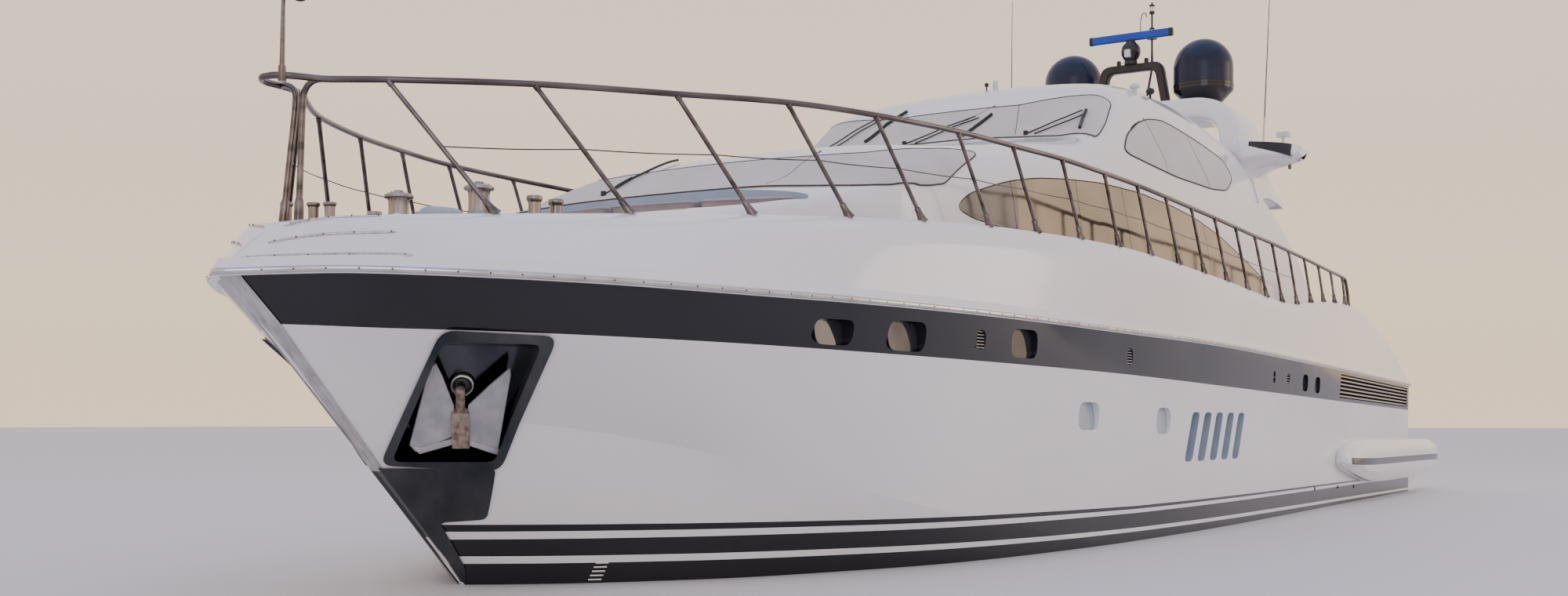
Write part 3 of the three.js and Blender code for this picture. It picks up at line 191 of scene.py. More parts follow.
# Hull.
# A deep glass-fibre shell with a raked stem and a knuckle that runs down to the stern,
# moulded in one piece, faired and painted gloss white, with a black band and boot stripes.
TRANSOM_X = -14.5
HULL_FRAMES = [
    {"rub": (17.5, 0.05, 3.0), "band": (17.02, 0.05, 2.56), "knuckle": (16.12, 0.05, 1.65),
     "bilge": (14.45, 0.03, -0.05), "keel": (14.2, -0.25)},
    {"rub": (17.2, 0.42, 3.02), "band": (16.76, 0.36, 2.55), "knuckle": (15.72, 0.42, 1.66),
     "bilge": (14.1, 0.45, -0.1), "keel": (13.6, -0.5)},
    {"rub": (16.82, 0.98, 3.03), "band": (16.38, 0.82, 2.53), "knuckle": (15.25, 0.84, 1.69),
     "bilge": (13.7, 0.9, -0.1), "keel": (13.0, -0.7)},
    {"rub": (16.1, 1.74, 3.01), "band": (15.72, 1.54, 2.51), "knuckle": (14.6, 1.35, 1.63),
     "bilge": (13.1, 1.4, -0.12), "keel": (12.2, -0.9)},
    {"rub": (15.1, 2.48, 2.98), "band": (14.8, 2.26, 2.48), "knuckle": (13.65, 1.95, 1.46),
     "bilge": (12.2, 2.0, -0.15), "keel": (11.2, -1.05)},
    {"rub": (13.8, 3.04, 2.95), "band": (13.5, 2.84, 2.45), "knuckle": (12.4, 2.6, 1.15),
     "bilge": (11.0, 2.5, -0.18), "keel": (10.0, -1.15)},
    {"rub": (12.0, 3.48, 2.94), "band": (11.8, 3.34, 2.41), "knuckle": (10.7, 3.15, 0.78),
     "bilge": (9.5, 3.0, -0.2), "keel": (8.6, -1.2)},
    {"rub": (9.5, 3.76, 2.93), "band": (9.4, 3.68, 2.37), "knuckle": (8.5, 3.45, 0.4),
     "bilge": (7.6, 3.33, -0.25), "keel": (6.9, -1.2)},
    {"rub": (6.0, 3.92, 2.9), "band": (6.0, 3.86, 2.32), "knuckle": (5.5, 3.62, 0.0),
     "bilge": (5.0, 3.5, -0.3), "keel": (4.5, -1.15)},
    {"rub": (2.0, 3.94, 2.88), "band": (2.0, 3.88, 2.24), "knuckle": (1.6, 3.7, -0.16),
     "bilge": (1.5, 3.58, -0.38), "keel": (1.2, -1.08)},
    {"rub": (-3.0, 3.86, 2.78), "band": (-3.0, 3.8, 2.14), "knuckle": (-3.1, 3.6, -0.2),
     "bilge": (-3.2, 3.48, -0.42), "keel": (-3.4, -1.0)},
    {"rub": (-8.0, 3.66, 2.68), "band": (-8.1, 3.61, 2.05), "knuckle": (-8.2, 3.44, -0.22),
     "bilge": (-8.3, 3.34, -0.44), "keel": (-8.4, -0.92)},
    {"rub": (-13.9, 3.42, 2.56), "band": (-14.0, 3.38, 1.95), "knuckle": (-14.5, 3.28, -0.24),
     "bilge": (-14.5, 3.2, -0.46), "keel": (-14.5, -0.85)},
]
FRAME_NUMBERS = list(range(len(HULL_FRAMES)))
LAST_FRAME = FRAME_NUMBERS[-1]


def between(keys, values, at):
    """Value of a table at a place between its rows, on a smooth curve through them."""
    row = 0
    while row < len(keys) - 2 and keys[row + 1] < at:
        row += 1
    span = keys[row + 1] - keys[row]
    t = (at - keys[row]) / span

    def slope(i, axis):
        low = max(i - 1, 0)
        high = min(i + 1, len(keys) - 1)
        return (values[high][axis] - values[low][axis]) / (keys[high] - keys[low])

    h1 = 2 * t**3 - 3 * t**2 + 1
    h2 = t**3 - 2 * t**2 + t
    h3 = -2 * t**3 + 3 * t**2
    h4 = t**3 - t**2
    return [
        h1 * values[row][k] + h2 * span * slope(row, k)
        + h3 * values[row + 1][k] + h4 * span * slope(row + 1, k)
        for k in range(len(values[row]))
    ]


def hull_line(name, at):
    return between(FRAME_NUMBERS, [row[name] for row in HULL_FRAMES], at)


def steps_between(start, end, count):
    return [start + (end - start) * i / count for i in range(count + 1)]


def mix(a, b, share):
    return [p + (q - p) * share for p, q in zip(a, b)]


def loft(name, rings):
    """A closed body through rings that have the same number of points."""
    count = len(rings[0])
    faces = []
    for row in range(len(rings) - 1):
        for col in range(count):
            a = row * count + col
            b = row * count + (col + 1) % count
            faces.append((a, b, b + count, a + count))
    faces.append(tuple(reversed(range(count))))
    faces.append(tuple((len(rings) - 1) * count + i for i in range(count)))
    body = new_object(name, [point for ring in rings for point in ring], faces)
    mesh = bmesh.new()
    mesh.from_mesh(body.data)
    bmesh.ops.recalc_face_normals(mesh, faces=mesh.faces)
    mesh.to_mesh(body.data)
    mesh.free()
    return body


def both_sides(port):
    """A ring from its port half, which starts and ends on the centreline."""
    return port + [(x, -y, z) for x, y, z in reversed(port[1:-1])]


def box_body(name, x0, x1, y0, y1, z0, z1):
    low = [(x0, y0, z0), (x1, y0, z0), (x1, y1, z0), (x0, y1, z0)]
    return loft(name, [low, [(x, y, z1) for x, y, _ in low]])


def prism(name, outline, start, end, axis):
    """A body from a flat outline, drawn out along the axis that the outline leaves out."""
    def place(u, v, w):
        return {"x": (w, u, v), "y": (u, w, v), "z": (u, v, w)}[axis]
    return loft(name, [[place(u, v, w) for u, v in outline] for w in (start, end)])


def rounded(outline, radius, steps=5):
    """The same flat outline with its corners rounded off."""
    made = []
    for i, corner in enumerate(outline):
        here = Vector(corner)
        to_last = Vector(outline[i - 1]) - here
        to_next = Vector(outline[(i + 1) % len(outline)]) - here
        reach = min(radius, to_last.length * 0.49, to_next.length * 0.49)
        first = here + to_last.normalized() * reach
        last = here + to_next.normalized() * reach
        for step in range(steps + 1):
            t = step / steps
            made.append(tuple(first * (1 - t) ** 2 + here * 2 * t * (1 - t) + last * t**2))
    return made


def oblong(u0, u1, v0, v1, radius, steps=5):
    """A rounded flat oblong."""
    return rounded([(u0, v0), (u1, v0), (u1, v1), (u0, v1)], radius, steps)


def turns(count):
    """Angles of a full turn, in equal steps."""
    return [2 * math.pi * k / count for k in range(count)]


def mirrored(body, name):
    """The starboard twin of a port body."""
    twin = body.copy()
    twin.data = body.data.copy()
    twin.name = name
    twin.data.name = name
    bpy.context.scene.collection.objects.link(twin)
    twin.data.transform(Matrix.Scale(-1, 4, (0, 1, 0)))
    twin.data.flip_normals()
    return twin


def carve(body, tool, operation="DIFFERENCE"):
    """Cuts one body with another, as openings are cut out of a moulding."""
    cut = body.modifiers.new("cut", "BOOLEAN")
    cut.operation = operation
    cut.solver = "MANIFOLD"
    cut.material_mode = "TRANSFER"
    cut.object = tool
    bpy.context.view_layer.update()
    seen = bpy.context.evaluated_depsgraph_get()
    made = bpy.data.meshes.new_from_object(body.evaluated_get(seen))
    body.modifiers.clear()
    body.data = made
    bpy.data.objects.remove(tool)
    return body


def carve_both(body, tool):
    """Cuts the same opening on port and starboard."""
    carve(body, mirrored(tool, tool.name + "_twin"))
    return carve(body, tool)


def smooth_over(body, crease=25):
    """Rounded faces look rounded, and edges sharper than the crease stay sharp."""
    body.data.shade_smooth()
    body.data.set_sharp_from_angle(angle=math.radians(crease))
    return body


def coat(body, *materials):
    body.data.materials.clear()
    for material in materials:
        body.data.materials.append(material)
    return body


def settle(body, *nodes, on="root"):
    """Fixes a piece to the body that carries it, in place of its CAD nodes."""
    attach(body, on)
    if nodes:
        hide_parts(*nodes)
    return body


def settle_pair(body, node=None):
    """Fixes a port piece and its starboard twin, in place of the CAD node of each side."""
    twin = mirrored(body, body.name.removesuffix("_port") + "_starboard")
    if node:
        settle(twin, node + "_starboard")
        settle(body, node + "_port")
    else:
        settle(twin)
        settle(body)


def bevel(body, width, segments, angle=None):
    """Rounds all edges off, or with an angle only the edges sharper than that."""
    edge = body.modifiers.new("rounded_edge", "BEVEL")
    edge.width = width
    edge.segments = segments
    if angle:
        edge.limit_method = "ANGLE"
        edge.angle_limit = math.radians(angle)
    return body


white_paint = new_material("white_topside_paint", (0.83, 0.83, 0.85), 0.16)
mottle(white_paint, (0.8, 0.8, 0.825), (0.84, 0.84, 0.855), 0.35, roughness=(0.12, 0.2))
roughen(white_paint, 1.1, 0.004, detail=1.0)
shader_of(white_paint).inputs["Coat Weight"].default_value = 0.5
shader_of(white_paint).inputs["Coat Roughness"].default_value = 0.05

black_paint = new_material("black_band_paint", (0.008, 0.009, 0.013), 0.06)
mottle(black_paint, (0.006, 0.007, 0.011), (0.014, 0.014, 0.017), 0.5, roughness=(0.05, 0.12))
roughen(black_paint, 0.9, 0.006, detail=1.0)

HULL_STEPS = steps_between(0, 2, 40)[:-1] + steps_between(2, 12, 150)
LINE_ROWS = {"bilge": 3, "knuckle": 5, "band": 7, "rub": 3}


def hull_ring(at):
    keel_x, keel_z = hull_line("keel", at)
    port = [(keel_x, 0, keel_z)]
    start = port[0]
    for name, count in LINE_ROWS.items():
        line = hull_line(name, at)
        port += [tuple(mix(start, line, i / count)) for i in range(1, count + 1)]
        start = line
    return both_sides(port + [(start[0], 0, start[2])])


hull = loft("hull_shell", [hull_ring(at) for at in HULL_STEPS])
bare_hull = hull.copy()
bare_hull.data = hull.data.copy()

# The band's faces lie in the last rows of each ring's side
coat(hull, white_paint, black_paint)
ring_size = len(hull_ring(0))
band_start = sum(LINE_ROWS.values()) - LINE_ROWS["rub"]
band_rows = range(band_start, band_start + LINE_ROWS["rub"])
for face in hull.data.polygons[: (len(HULL_STEPS) - 1) * ring_size]:
    column = face.index % ring_size
    on_port = column in band_rows
    on_starboard = ring_size - 1 - column in band_rows
    face.material_index = int(on_port or on_starboard)

# Boot stripes: heights of their edges at the bow, at the middle and at the stern
STRIPE_X = (15.0, 5.0, -14.0)
STRIPE_ZONE = (-0.4, 1.1)
STRIPE_EDGES = [
    (0.65, 0.5, 0.425), (0.576, 0.455, 0.395), (0.495, 0.4, 0.345), (0.315, 0.19, 0.085),
    (0.235, 0.135, 0.03),
]


def stripe_height(edge, x):
    bow, middle, stern = edge
    if x > STRIPE_X[1]:
        return middle + (bow - middle) * (x - STRIPE_X[1]) / (STRIPE_X[0] - STRIPE_X[1])
    return middle + (stern - middle) * (x - STRIPE_X[1]) / (STRIPE_X[2] - STRIPE_X[1])


def near_waterline(mesh, forward):
    """The faces that the stripes can cross, before or behind the place where they bend."""
    found = []
    for face in mesh.faces:
        middle = face.calc_center_median()
        if STRIPE_ZONE[0] < middle.z < STRIPE_ZONE[1] and (middle.x > STRIPE_X[1]) == forward:
            found.append(face)
    return found


def cut_faces(mesh, faces, place, across):
    """Parts faces along a plane."""
    corners = list({vertex for face in faces for vertex in face.verts})
    sides = list({side for face in faces for side in face.edges})
    bmesh.ops.bisect_plane(mesh, geom=faces + sides + corners, plane_co=place, plane_no=across)


striped = bmesh.new()
striped.from_mesh(hull.data)
whole_zone = near_waterline(striped, True) + near_waterline(striped, False)
cut_faces(striped, whole_zone, (STRIPE_X[1], 0, 0), (1, 0, 0))
for edge in STRIPE_EDGES:
    for fore, aft in ((0, 1), (1, 2)):
        run = Vector((STRIPE_X[fore] - STRIPE_X[aft], 0, edge[fore] - edge[aft]))
        across = Vector((0, 1, 0)).cross(run)
        cut_faces(striped, near_waterline(striped, fore == 0), (STRIPE_X[aft], 0, edge[aft]), across)
for face in striped.faces:
    middle = face.calc_center_median()
    passed = sum(middle.z < stripe_height(edge, middle.x) for edge in STRIPE_EDGES)
    if passed in (1, 3, 5):
        face.material_index = 1
striped.to_mesh(hull.data)
striped.free()

# Openings in the hull: the garage, the stairs up from the platform, and the pockets
# that the anchors are stowed in
SOLE_Z = 3.2
GARAGE = {"x0": -15.6, "x1": -10.2, "y": 1.95, "z0": 0.85, "z1": 2.42}
STAIR = {"x0": -15.1, "top_x": -11.3, "y0": 2.25, "y1": 3.1, "landing_z": 0.62, "steps": 9}
garage_space = box_body(
    "garage_space", GARAGE["x0"], GARAGE["x1"], -GARAGE["y"], GARAGE["y"], GARAGE["z0"], GARAGE["z1"],
)
carve(hull, coat(garage_space, white_paint))
stair_rise = (SOLE_Z - STAIR["landing_z"]) / STAIR["steps"]
stair_run = (STAIR["top_x"] - TRANSOM_X) / STAIR["steps"]


def stair_outline():
    """The stairs seen from the side, as a cutter that reaches up past the bulwarks."""
    above = 6.0
    points = [(STAIR["top_x"], above)]
    for i in range(STAIR["steps"]):
        x = STAIR["top_x"] - i * stair_run
        points += [(x, SOLE_Z - i * stair_rise), (x, SOLE_Z - (i + 1) * stair_rise)]
    return points[:1] + points[2:] + [(STAIR["x0"], STAIR["landing_z"]), (STAIR["x0"], above)]


def stair_tool(name):
    return coat(prism(name, stair_outline(), STAIR["y0"], STAIR["y1"], "y"), white_paint)


carve_both(hull, stair_tool("stair_well"))


def beside_anchor(along, out, z):
    """A place near the port anchor: along runs aft beside the hull and out runs square to it."""
    return (-0.74 * along + 0.67 * out, 0.67 * along + 0.74 * out, z)


dark_mirror = new_material("dark_mirror_steel", (0.09, 0.1, 0.115), 0.12, 1.0)
mottle(
    dark_mirror, (0.045, 0.05, 0.06), (0.13, 0.135, 0.145), 1.6,
    stretch=(1, 1, 0.35), roughness=(0.06, 0.3),
)
roughen(dark_mirror, 2.5, 0.004, detail=2.0)

POCKET_MOUTH = 13
POCKET_OUTLINE = [(-11.067, 2.407), (-10.168, 2.396), (-10.516, 1.283), (-11.507, 1.289)]
POCKET_FLOOR = {"low_z": 1.25, "low_out": 10.29, "high_z": 2.33, "high_out": 11.0}


def pocket_floor(z):
    """How far out the pocket's floor lies, which follows the flare of the bow."""
    share = (z - POCKET_FLOOR["low_z"]) / (POCKET_FLOOR["high_z"] - POCKET_FLOOR["low_z"])
    return POCKET_FLOOR["low_out"] + (POCKET_FLOOR["high_out"] - POCKET_FLOOR["low_out"]) * share


def pocket_tool(name):
    ring = rounded(POCKET_OUTLINE, 0.09)
    return loft(name, [
        [beside_anchor(along, pocket_floor(z), z) for along, z in ring],
        [beside_anchor(along, POCKET_MOUTH, z) for along, z in ring],
    ])


carve_both(hull, coat(pocket_tool("anchor_pocket"), dark_mirror))

# Portholes, vents and grilles in the hull.
# Each window sits in a moulded recess with a bright lower lip. Engine air comes in by
# five slanted slots amidships and a louvred grille in the band near the stern.
# Near-black glass of the dark portholes and screens; in the hawse bore the same colour is painted shade.
dark_glass_and_bore_shade = new_material("porthole_glass", (0.02, 0.024, 0.03), 0.05)
mottle(dark_glass_and_bore_shade, (0.012, 0.014, 0.018), (0.035, 0.04, 0.05), 3.0, roughness=(0.03, 0.1))
# Pale blue-grey glass of the side portholes; the same colour is painted shade on the walls of the air slots.
pale_glass_and_slot_shade = new_material("pale_porthole_glass", (0.32, 0.4, 0.48), 0.15)
mottle(pale_glass_and_slot_shade, (0.28, 0.36, 0.44), (0.38, 0.45, 0.52), 2.0, roughness=(0.1, 0.2))
polished_steel = new_material("polished_steel", (0.62, 0.6, 0.59), 0.16, 1.0)
mottle(polished_steel, (0.5, 0.48, 0.47), (0.68, 0.66, 0.65), 4.0, roughness=(0.1, 0.26))
roughen(polished_steel, 30.0, 0.0006, detail=4.0)


def slanted(x, z, length, height, slant, radius):
    """Outline, seen from the side, of an opening whose top leans forward."""
    half = length / 2
    tall = height / 2
    corners = [(x - half - slant, z - tall), (x + half - slant, z - tall),
               (x + half + slant, z + tall), (x - half + slant, z + tall)]
    return rounded(corners, radius)


def frame_at(x, place_of):
    """How far aft along the frames a line comes to a place, found by halving."""
    low = 0.0
    high = LAST_FRAME
    for _ in range(30):
        at = (low + high) / 2
        if place_of(at)[0] > x:
            low = at
        else:
            high = at
    return low


def hull_side(x, z):
    """Half-breadth of the hull's side at a place seen from the side."""
    return side_place(frame_at(x, lambda at: side_place(at, z)), z)[1]


def side_place(at, z):
    lines = [hull_line(name, at) for name in ("bilge", "knuckle", "band", "rub")]
    for lower, upper in zip(lines, lines[1:]):
        if z <= upper[2] or upper is lines[-1]:
            return mix(lower, upper, (z - lower[2]) / (upper[2] - lower[2]))


PORTHOLES = [
    {"name": "band_porthole_fore", "x": 12.48, "z": 2.6, "length": 0.56, "height": 0.26, "dark": True},
    {"name": "band_porthole_middle", "x": 11.33, "z": 2.6, "length": 0.66, "height": 0.32, "dark": True},
    {"name": "band_porthole_aft", "x": 8.88, "z": 2.61, "length": 0.64, "height": 0.34, "dark": True},
    {"name": "side_porthole_fore", "x": 6.88, "z": 1.75, "length": 0.62, "height": 0.36, "dark": False},
    {"name": "side_porthole_aft", "x": 4.26, "z": 1.69, "length": 0.56, "height": 0.37, "dark": False},
    {"name": "exhaust_vent_fore", "x": -3.3, "z": 2.38, "length": 0.4, "height": 0.3, "dark": True},
    {"name": "exhaust_vent_aft", "x": -4.27, "z": 2.36, "length": 0.4, "height": 0.3, "dark": True},
]
PORTHOLE_DEPTH = 0.07
PANE_PLAY = 0.004
for row in PORTHOLES:
    y = hull_side(row["x"], row["z"])
    radius = row["height"] * 0.42
    ring = slanted(row["x"], row["z"], row["length"], row["height"], 0.025, radius)
    recess = prism(row["name"] + "_recess", ring, y - PORTHOLE_DEPTH, y + 0.5, "y")
    coat(recess, black_paint if row["dark"] else white_paint)
    carve_both(hull, recess)
    small = slanted(row["x"], row["z"], row["length"] - PANE_PLAY, row["height"] - PANE_PLAY, 0.025, radius)
    floor_y = y - PORTHOLE_DEPTH
    pane = prism(row["name"] + "_port", small, floor_y + 0.001, floor_y + 0.012, "y")
    coat(smooth_over(pane), dark_glass_and_bore_shade if row["dark"] else pale_glass_and_slot_shade)
    settle_pair(pane)

SLOT = {"fore_x": 3.08, "pitch": 0.57, "count": 5, "z": 1.45, "length": 0.34, "height": 0.74, "slant": 0.1}
SLOT_DEPTH = 0.16
for i in range(SLOT["count"]):
    x = SLOT["fore_x"] - i * SLOT["pitch"]
    y = hull_side(x, SLOT["z"])
    ring = slanted(x - SLOT["slant"], SLOT["z"], SLOT["length"], SLOT["height"], -SLOT["slant"], 0.1)
    slot_tool = prism("air_slot", ring, y - SLOT_DEPTH, y + 0.5, "y")
    # The slot recesses are white; their pale blue-grey colour is painted shade.
    carve_both(hull, coat(slot_tool, pale_glass_and_slot_shade))

GRILLE = {"x0": -13.72, "x1": -6.25, "low": 0.07, "high": 0.1, "slats": 6, "depth": 0.09}
SLAT = {"width": 0.024, "height": 0.03, "sunk": 0.022}


def band_place(x, share):
    """A place on the dark band, share of the way up from its lower edge."""
    at = frame_at(x, lambda frame_number: hull_line("band", frame_number))
    return mix(hull_line("band", at), hull_line("rub", at), share)


grille_x = steps_between(GRILLE["x0"], GRILLE["x1"], 8)
grille_low = [(x, band_place(x, 0)[2] + GRILLE["low"]) for x in grille_x]
grille_high = [(x, band_place(x, 1)[2] - GRILLE["high"]) for x in grille_x]
grille_edge = grille_low + grille_high[::-1]
grille_tool = loft("grille_recess", [
    [(x, band_place(x, 0.5)[1] - GRILLE["depth"], z) for x, z in grille_edge],
    [(x, band_place(x, 0.5)[1] + 0.4, z) for x, z in grille_edge],
])
matt_black = new_material("grille_recess_paint", (0.012, 0.011, 0.011), 0.9)
mottle(matt_black, (0.008, 0.007, 0.007), (0.02, 0.018, 0.017), 4.0, roughness=(0.85, 0.95))
shader_of(matt_black).inputs["Specular IOR Level"].default_value = 0.08
carve_both(hull, coat(grille_tool, matt_black))


def bar_along(name, places, width, height):
    """A slim bar of oblong section through a row of places."""
    up = Vector((0, 0, height / 2))
    push = Vector((0, width / 2, 0))
    corners = (-up - push, push - up, up + push, up - push)
    return loft(name, [[tuple(Vector(place) + corner) for corner in corners] for place in places])


slat_paint = new_material("grille_slat_paint", (0.36, 0.31, 0.29), 0.4)
mottle(slat_paint, (0.3, 0.26, 0.24), (0.42, 0.36, 0.34), 2.0, stretch=(0.3, 1, 1), roughness=(0.3, 0.5))
for i in range(GRILLE["slats"]):
    share = (i + 0.5) / GRILLE["slats"]
    places = []
    for (x, low), (_, high) in zip(grille_low, grille_high):
        z = low + (high - low) * share
        places.append((x, hull_side(x, z) - SLAT["sunk"], z))
    slat = bar_along(f"grille_slat_{i + 1}_port", places, SLAT["width"], SLAT["height"])
    coat(slat, slat_paint)
    settle_pair(slat)

VENTS = [
    {"name": "round_vent_fore", "x": 9.9, "z": 2.62, "width": 0.2, "height": 0.22, "bars": 6},
    {"name": "round_vent_middle", "x": 5.75, "z": 2.56, "width": 0.2, "height": 0.22, "bars": 6},
    {"name": "slim_vent_fore", "x": -1.15, "z": 2.44, "width": 0.12, "height": 0.2, "bars": 1},
    {"name": "slim_vent_aft", "x": -2.08, "z": 2.43, "width": 0.2, "height": 0.18, "bars": 4},
]
for row in VENTS:
    y = hull_side(row["x"], row["z"])
    ring = slanted(row["x"], row["z"], row["width"], row["height"], 0.015, row["width"] * 0.45)
    vent_tool = prism(row["name"] + "_recess", ring, y - 0.05, y + 0.4, "y")
    carve_both(hull, coat(vent_tool, dark_glass_and_bore_shade))
    for i in range(row["bars"]):
        z = row["z"] + row["height"] * ((i + 0.5) / row["bars"] - 0.5)
        half = row["width"] * 0.46
        places = [(row["x"] - half, y - 0.012, z), (row["x"] + half, y - 0.012, z)]
        bar = bar_along(f"{row['name']}_bar_{i + 1}_port", places, 0.01, 0.01)
        coat(bar, slat_paint)
        settle_pair(bar)

smooth_over(hull, 9)
settle(hull, "hull")

# Anchors and the dark steel round them.
# A polished steel frame is screwed round each pocket and a fold of the same plate runs
# down to the stem, so the anchor can't chip the paint. The anchors are welded and galvanised.
PLATE_PUSH = (0.006, 0.02, -0.006)


def hull_copy(name, push):
    twin = bare_hull.copy()
    twin.data = bare_hull.data.copy()
    twin.name = name
    bpy.context.scene.collection.objects.link(twin)
    twin.data.transform(Matrix.Translation(push))
    return twin


def laid_on_hull(plate, push=PLATE_PUSH):
    """Trims a block to the thin layer that lies on the hull's port side."""
    carve(plate, hull_copy("outer_skin", push), "INTERSECT")
    return carve(plate, hull_copy("inner_skin", (0, 0.002, 0)))


FRAME_OUTLINE = [(-11.092, 2.512), (-10.027, 2.469), (-10.46, 1.19), (-11.62, 1.255)]
FRAME_REACH = (9.6, 12.5)
frame_ring = rounded(FRAME_OUTLINE, 0.13)
pocket_frame = loft("anchor_frame_port", [
    [beside_anchor(along, out, z) for along, z in frame_ring] for out in FRAME_REACH
])
laid_on_hull(pocket_frame, (0.012, 0.03, -0.01))
carve(pocket_frame, pocket_tool("frame_opening"))

SHIELD_OUTLINE = [
    (16.4, 1.24), (14.9, 1.215), (14.745, 0.7), (15.04, 0.672), (14.63, 0.2), (14.38, -0.2), (14.0, -0.3),
    (16.4, 0.7),
]
shield = laid_on_hull(prism("anchor_shield_port", rounded(SHIELD_OUTLINE, 0.05), 0.0005, 3, "y"))
for body in (pocket_frame, shield):
    coat(smooth_over(body, 30), dark_mirror)
    bevel(body, 0.004, 2, 50)
settle_pair(pocket_frame, "anchor_plate")
settle_pair(shield)

galvanised = new_material("galvanised_anchor", (0.42, 0.43, 0.45), 0.5, 0.3)
mottle(galvanised, (0.3, 0.31, 0.34), (0.5, 0.51, 0.53), 5.0, roughness=(0.35, 0.65))
roughen(galvanised, 40.0, 0.0015, detail=5.0)
rust = new_material("rusty_steel", (0.2, 0.12, 0.07), 0.75, 0.2)
mottle(rust, (0.12, 0.07, 0.045), (0.42, 0.36, 0.3), 14.0, roughness=(0.5, 0.9))
roughen(rust, 60.0, 0.002, detail=6.0)


def thick_plate(name, points, inward):
    """A flat plate through the points, as thick as the inward push is long."""
    push = Vector(inward)
    places = [Vector(beside_anchor(*point)) for point in points]
    return loft(name, [[tuple(place + push) for place in places], [tuple(place) for place in places]])


INTO_POCKET = Vector((-0.591, -0.631, 0.503)) * 0.035
ANCHOR_PLATES = [
    {"name": "fore_fluke", "depth": 1, "points": [
        (-11.109, 11.122, 2.229), (-11.04, 11.03, 2.10), (-10.927, 10.892, 1.828), (-10.928, 10.72, 1.533),
        (-11.277, 10.625, 1.38), (-11.338, 10.664, 1.45), (-11.173, 11.094, 2.181)]},
    {"name": "aft_fluke", "depth": 1, "points": [
        (-10.412, 11.111, 2.19), (-10.60, 11.0, 2.02), (-10.794, 10.894, 1.828), (-10.78, 10.697, 1.49),
        (-10.488, 10.622, 1.353), (-10.399, 11.075, 2.128)]},
    {"name": "crown_fore", "depth": 2, "points": [
        (-11.338, 10.69, 1.45), (-11.24, 10.645, 1.36), (-10.929, 10.70, 1.45), (-10.929, 10.72, 1.51),
        (-11.24, 10.67, 1.42)]},
    {"name": "crown_aft", "depth": 2, "points": [
        (-10.778, 10.70, 1.445), (-10.488, 10.645, 1.345), (-10.478, 10.67, 1.405),
        (-10.778, 10.72, 1.50)]},
]
anchor_pieces = []
for row in ANCHOR_PLATES:
    plate = thick_plate("anchor_" + row["name"], row["points"], INTO_POCKET * row["depth"])
    anchor_pieces.append(coat(plate, galvanised))


def rounded_rod(name, places, radii, across):
    """A bar of round section through a row of places, with a radius for each."""
    rings = []
    for i, place in enumerate(places):
        here = Vector(place)
        run = Vector(places[min(i + 1, len(places) - 1)]) - Vector(places[max(i - 1, 0)])
        side = run.cross(Vector(across)).normalized()
        up = side.cross(run).normalized()
        rings.append([
            tuple(here + (side * math.cos(turn) + up * math.sin(turn)) * radii[i]) for turn in turns(14)
        ])
    return loft(name, rings)


crown = box_body("anchor_crown", -0.085, 0.085, -0.07, 0.05, -0.13, 0.27)
crown_turn = Matrix.Rotation(math.atan2(0.67, 0.74) - math.pi / 2, 4, "Z")
crown_tilt = Matrix.Rotation(math.radians(-32), 4, "X")
crown.data.transform(Matrix.Translation(beside_anchor(-10.853, 10.73, 1.55)) @ crown_turn @ crown_tilt)
SHANK = [(-10.875, 10.97, 2.0), (-10.86, 10.80, 1.75), (-10.853, 10.71, 1.5)]
shank_places = [beside_anchor(*place) for place in SHANK]
shank = rounded_rod("anchor_shank", shank_places, (0.045, 0.05, 0.05), across=(0.7, -0.7, 0))
for piece in (crown, shank):
    anchor_pieces.append(coat(piece, rust))
for piece in anchor_pieces:
    bevel(piece, 0.008, 2, 40)
    smooth_over(piece, 35)
    piece.name = piece.name + "_port"
    settle_pair(piece, "anchor")


def ring_of(name, centre, axis, radius, thick, around=32, sides=10, flat=1.0):
    """A closed ring of round or flattened section about an axis."""
    axis = Vector(axis).normalized()
    first = axis.orthogonal().normalized()
    second = axis.cross(first)
    vertices = []
    faces = []
    for i, turn in enumerate(turns(around)):
        spoke = first * math.cos(turn) + second * math.sin(turn)
        for k, roll in enumerate(turns(sides)):
            out = spoke * (radius + thick * math.cos(roll))
            vertices.append(tuple(Vector(centre) + out + axis * thick * flat * math.sin(roll)))
            a = i * sides + k
            b = i * sides + (k + 1) % sides
            c = ((i + 1) % around) * sides + (k + 1) % sides
            d = ((i + 1) % around) * sides + k
            faces.append((a, d, c, b))
    return new_object(name, vertices, faces)


OUT_OF_POCKET = (0.591, 0.631, -0.503)
hawse = ring_of("hawse_ring_port", beside_anchor(-10.847, 10.84, 2.03), OUT_OF_POCKET, 0.105, 0.022)
coat(smooth_over(hawse, 80), polished_steel)
settle_pair(hawse)
# The dark flattened ring in the middle of the hawse ring is painted shade inside the bore.
hawse_bore_shade = ring_of(
    "hawse_bore_port", beside_anchor(-10.847, 10.82, 2.03), OUT_OF_POCKET, 0.045, 0.045, flat=0.5,
)
coat(smooth_over(hawse_bore_shade, 80), dark_glass_and_bore_shade)
settle_pair(hawse_bore_shade)

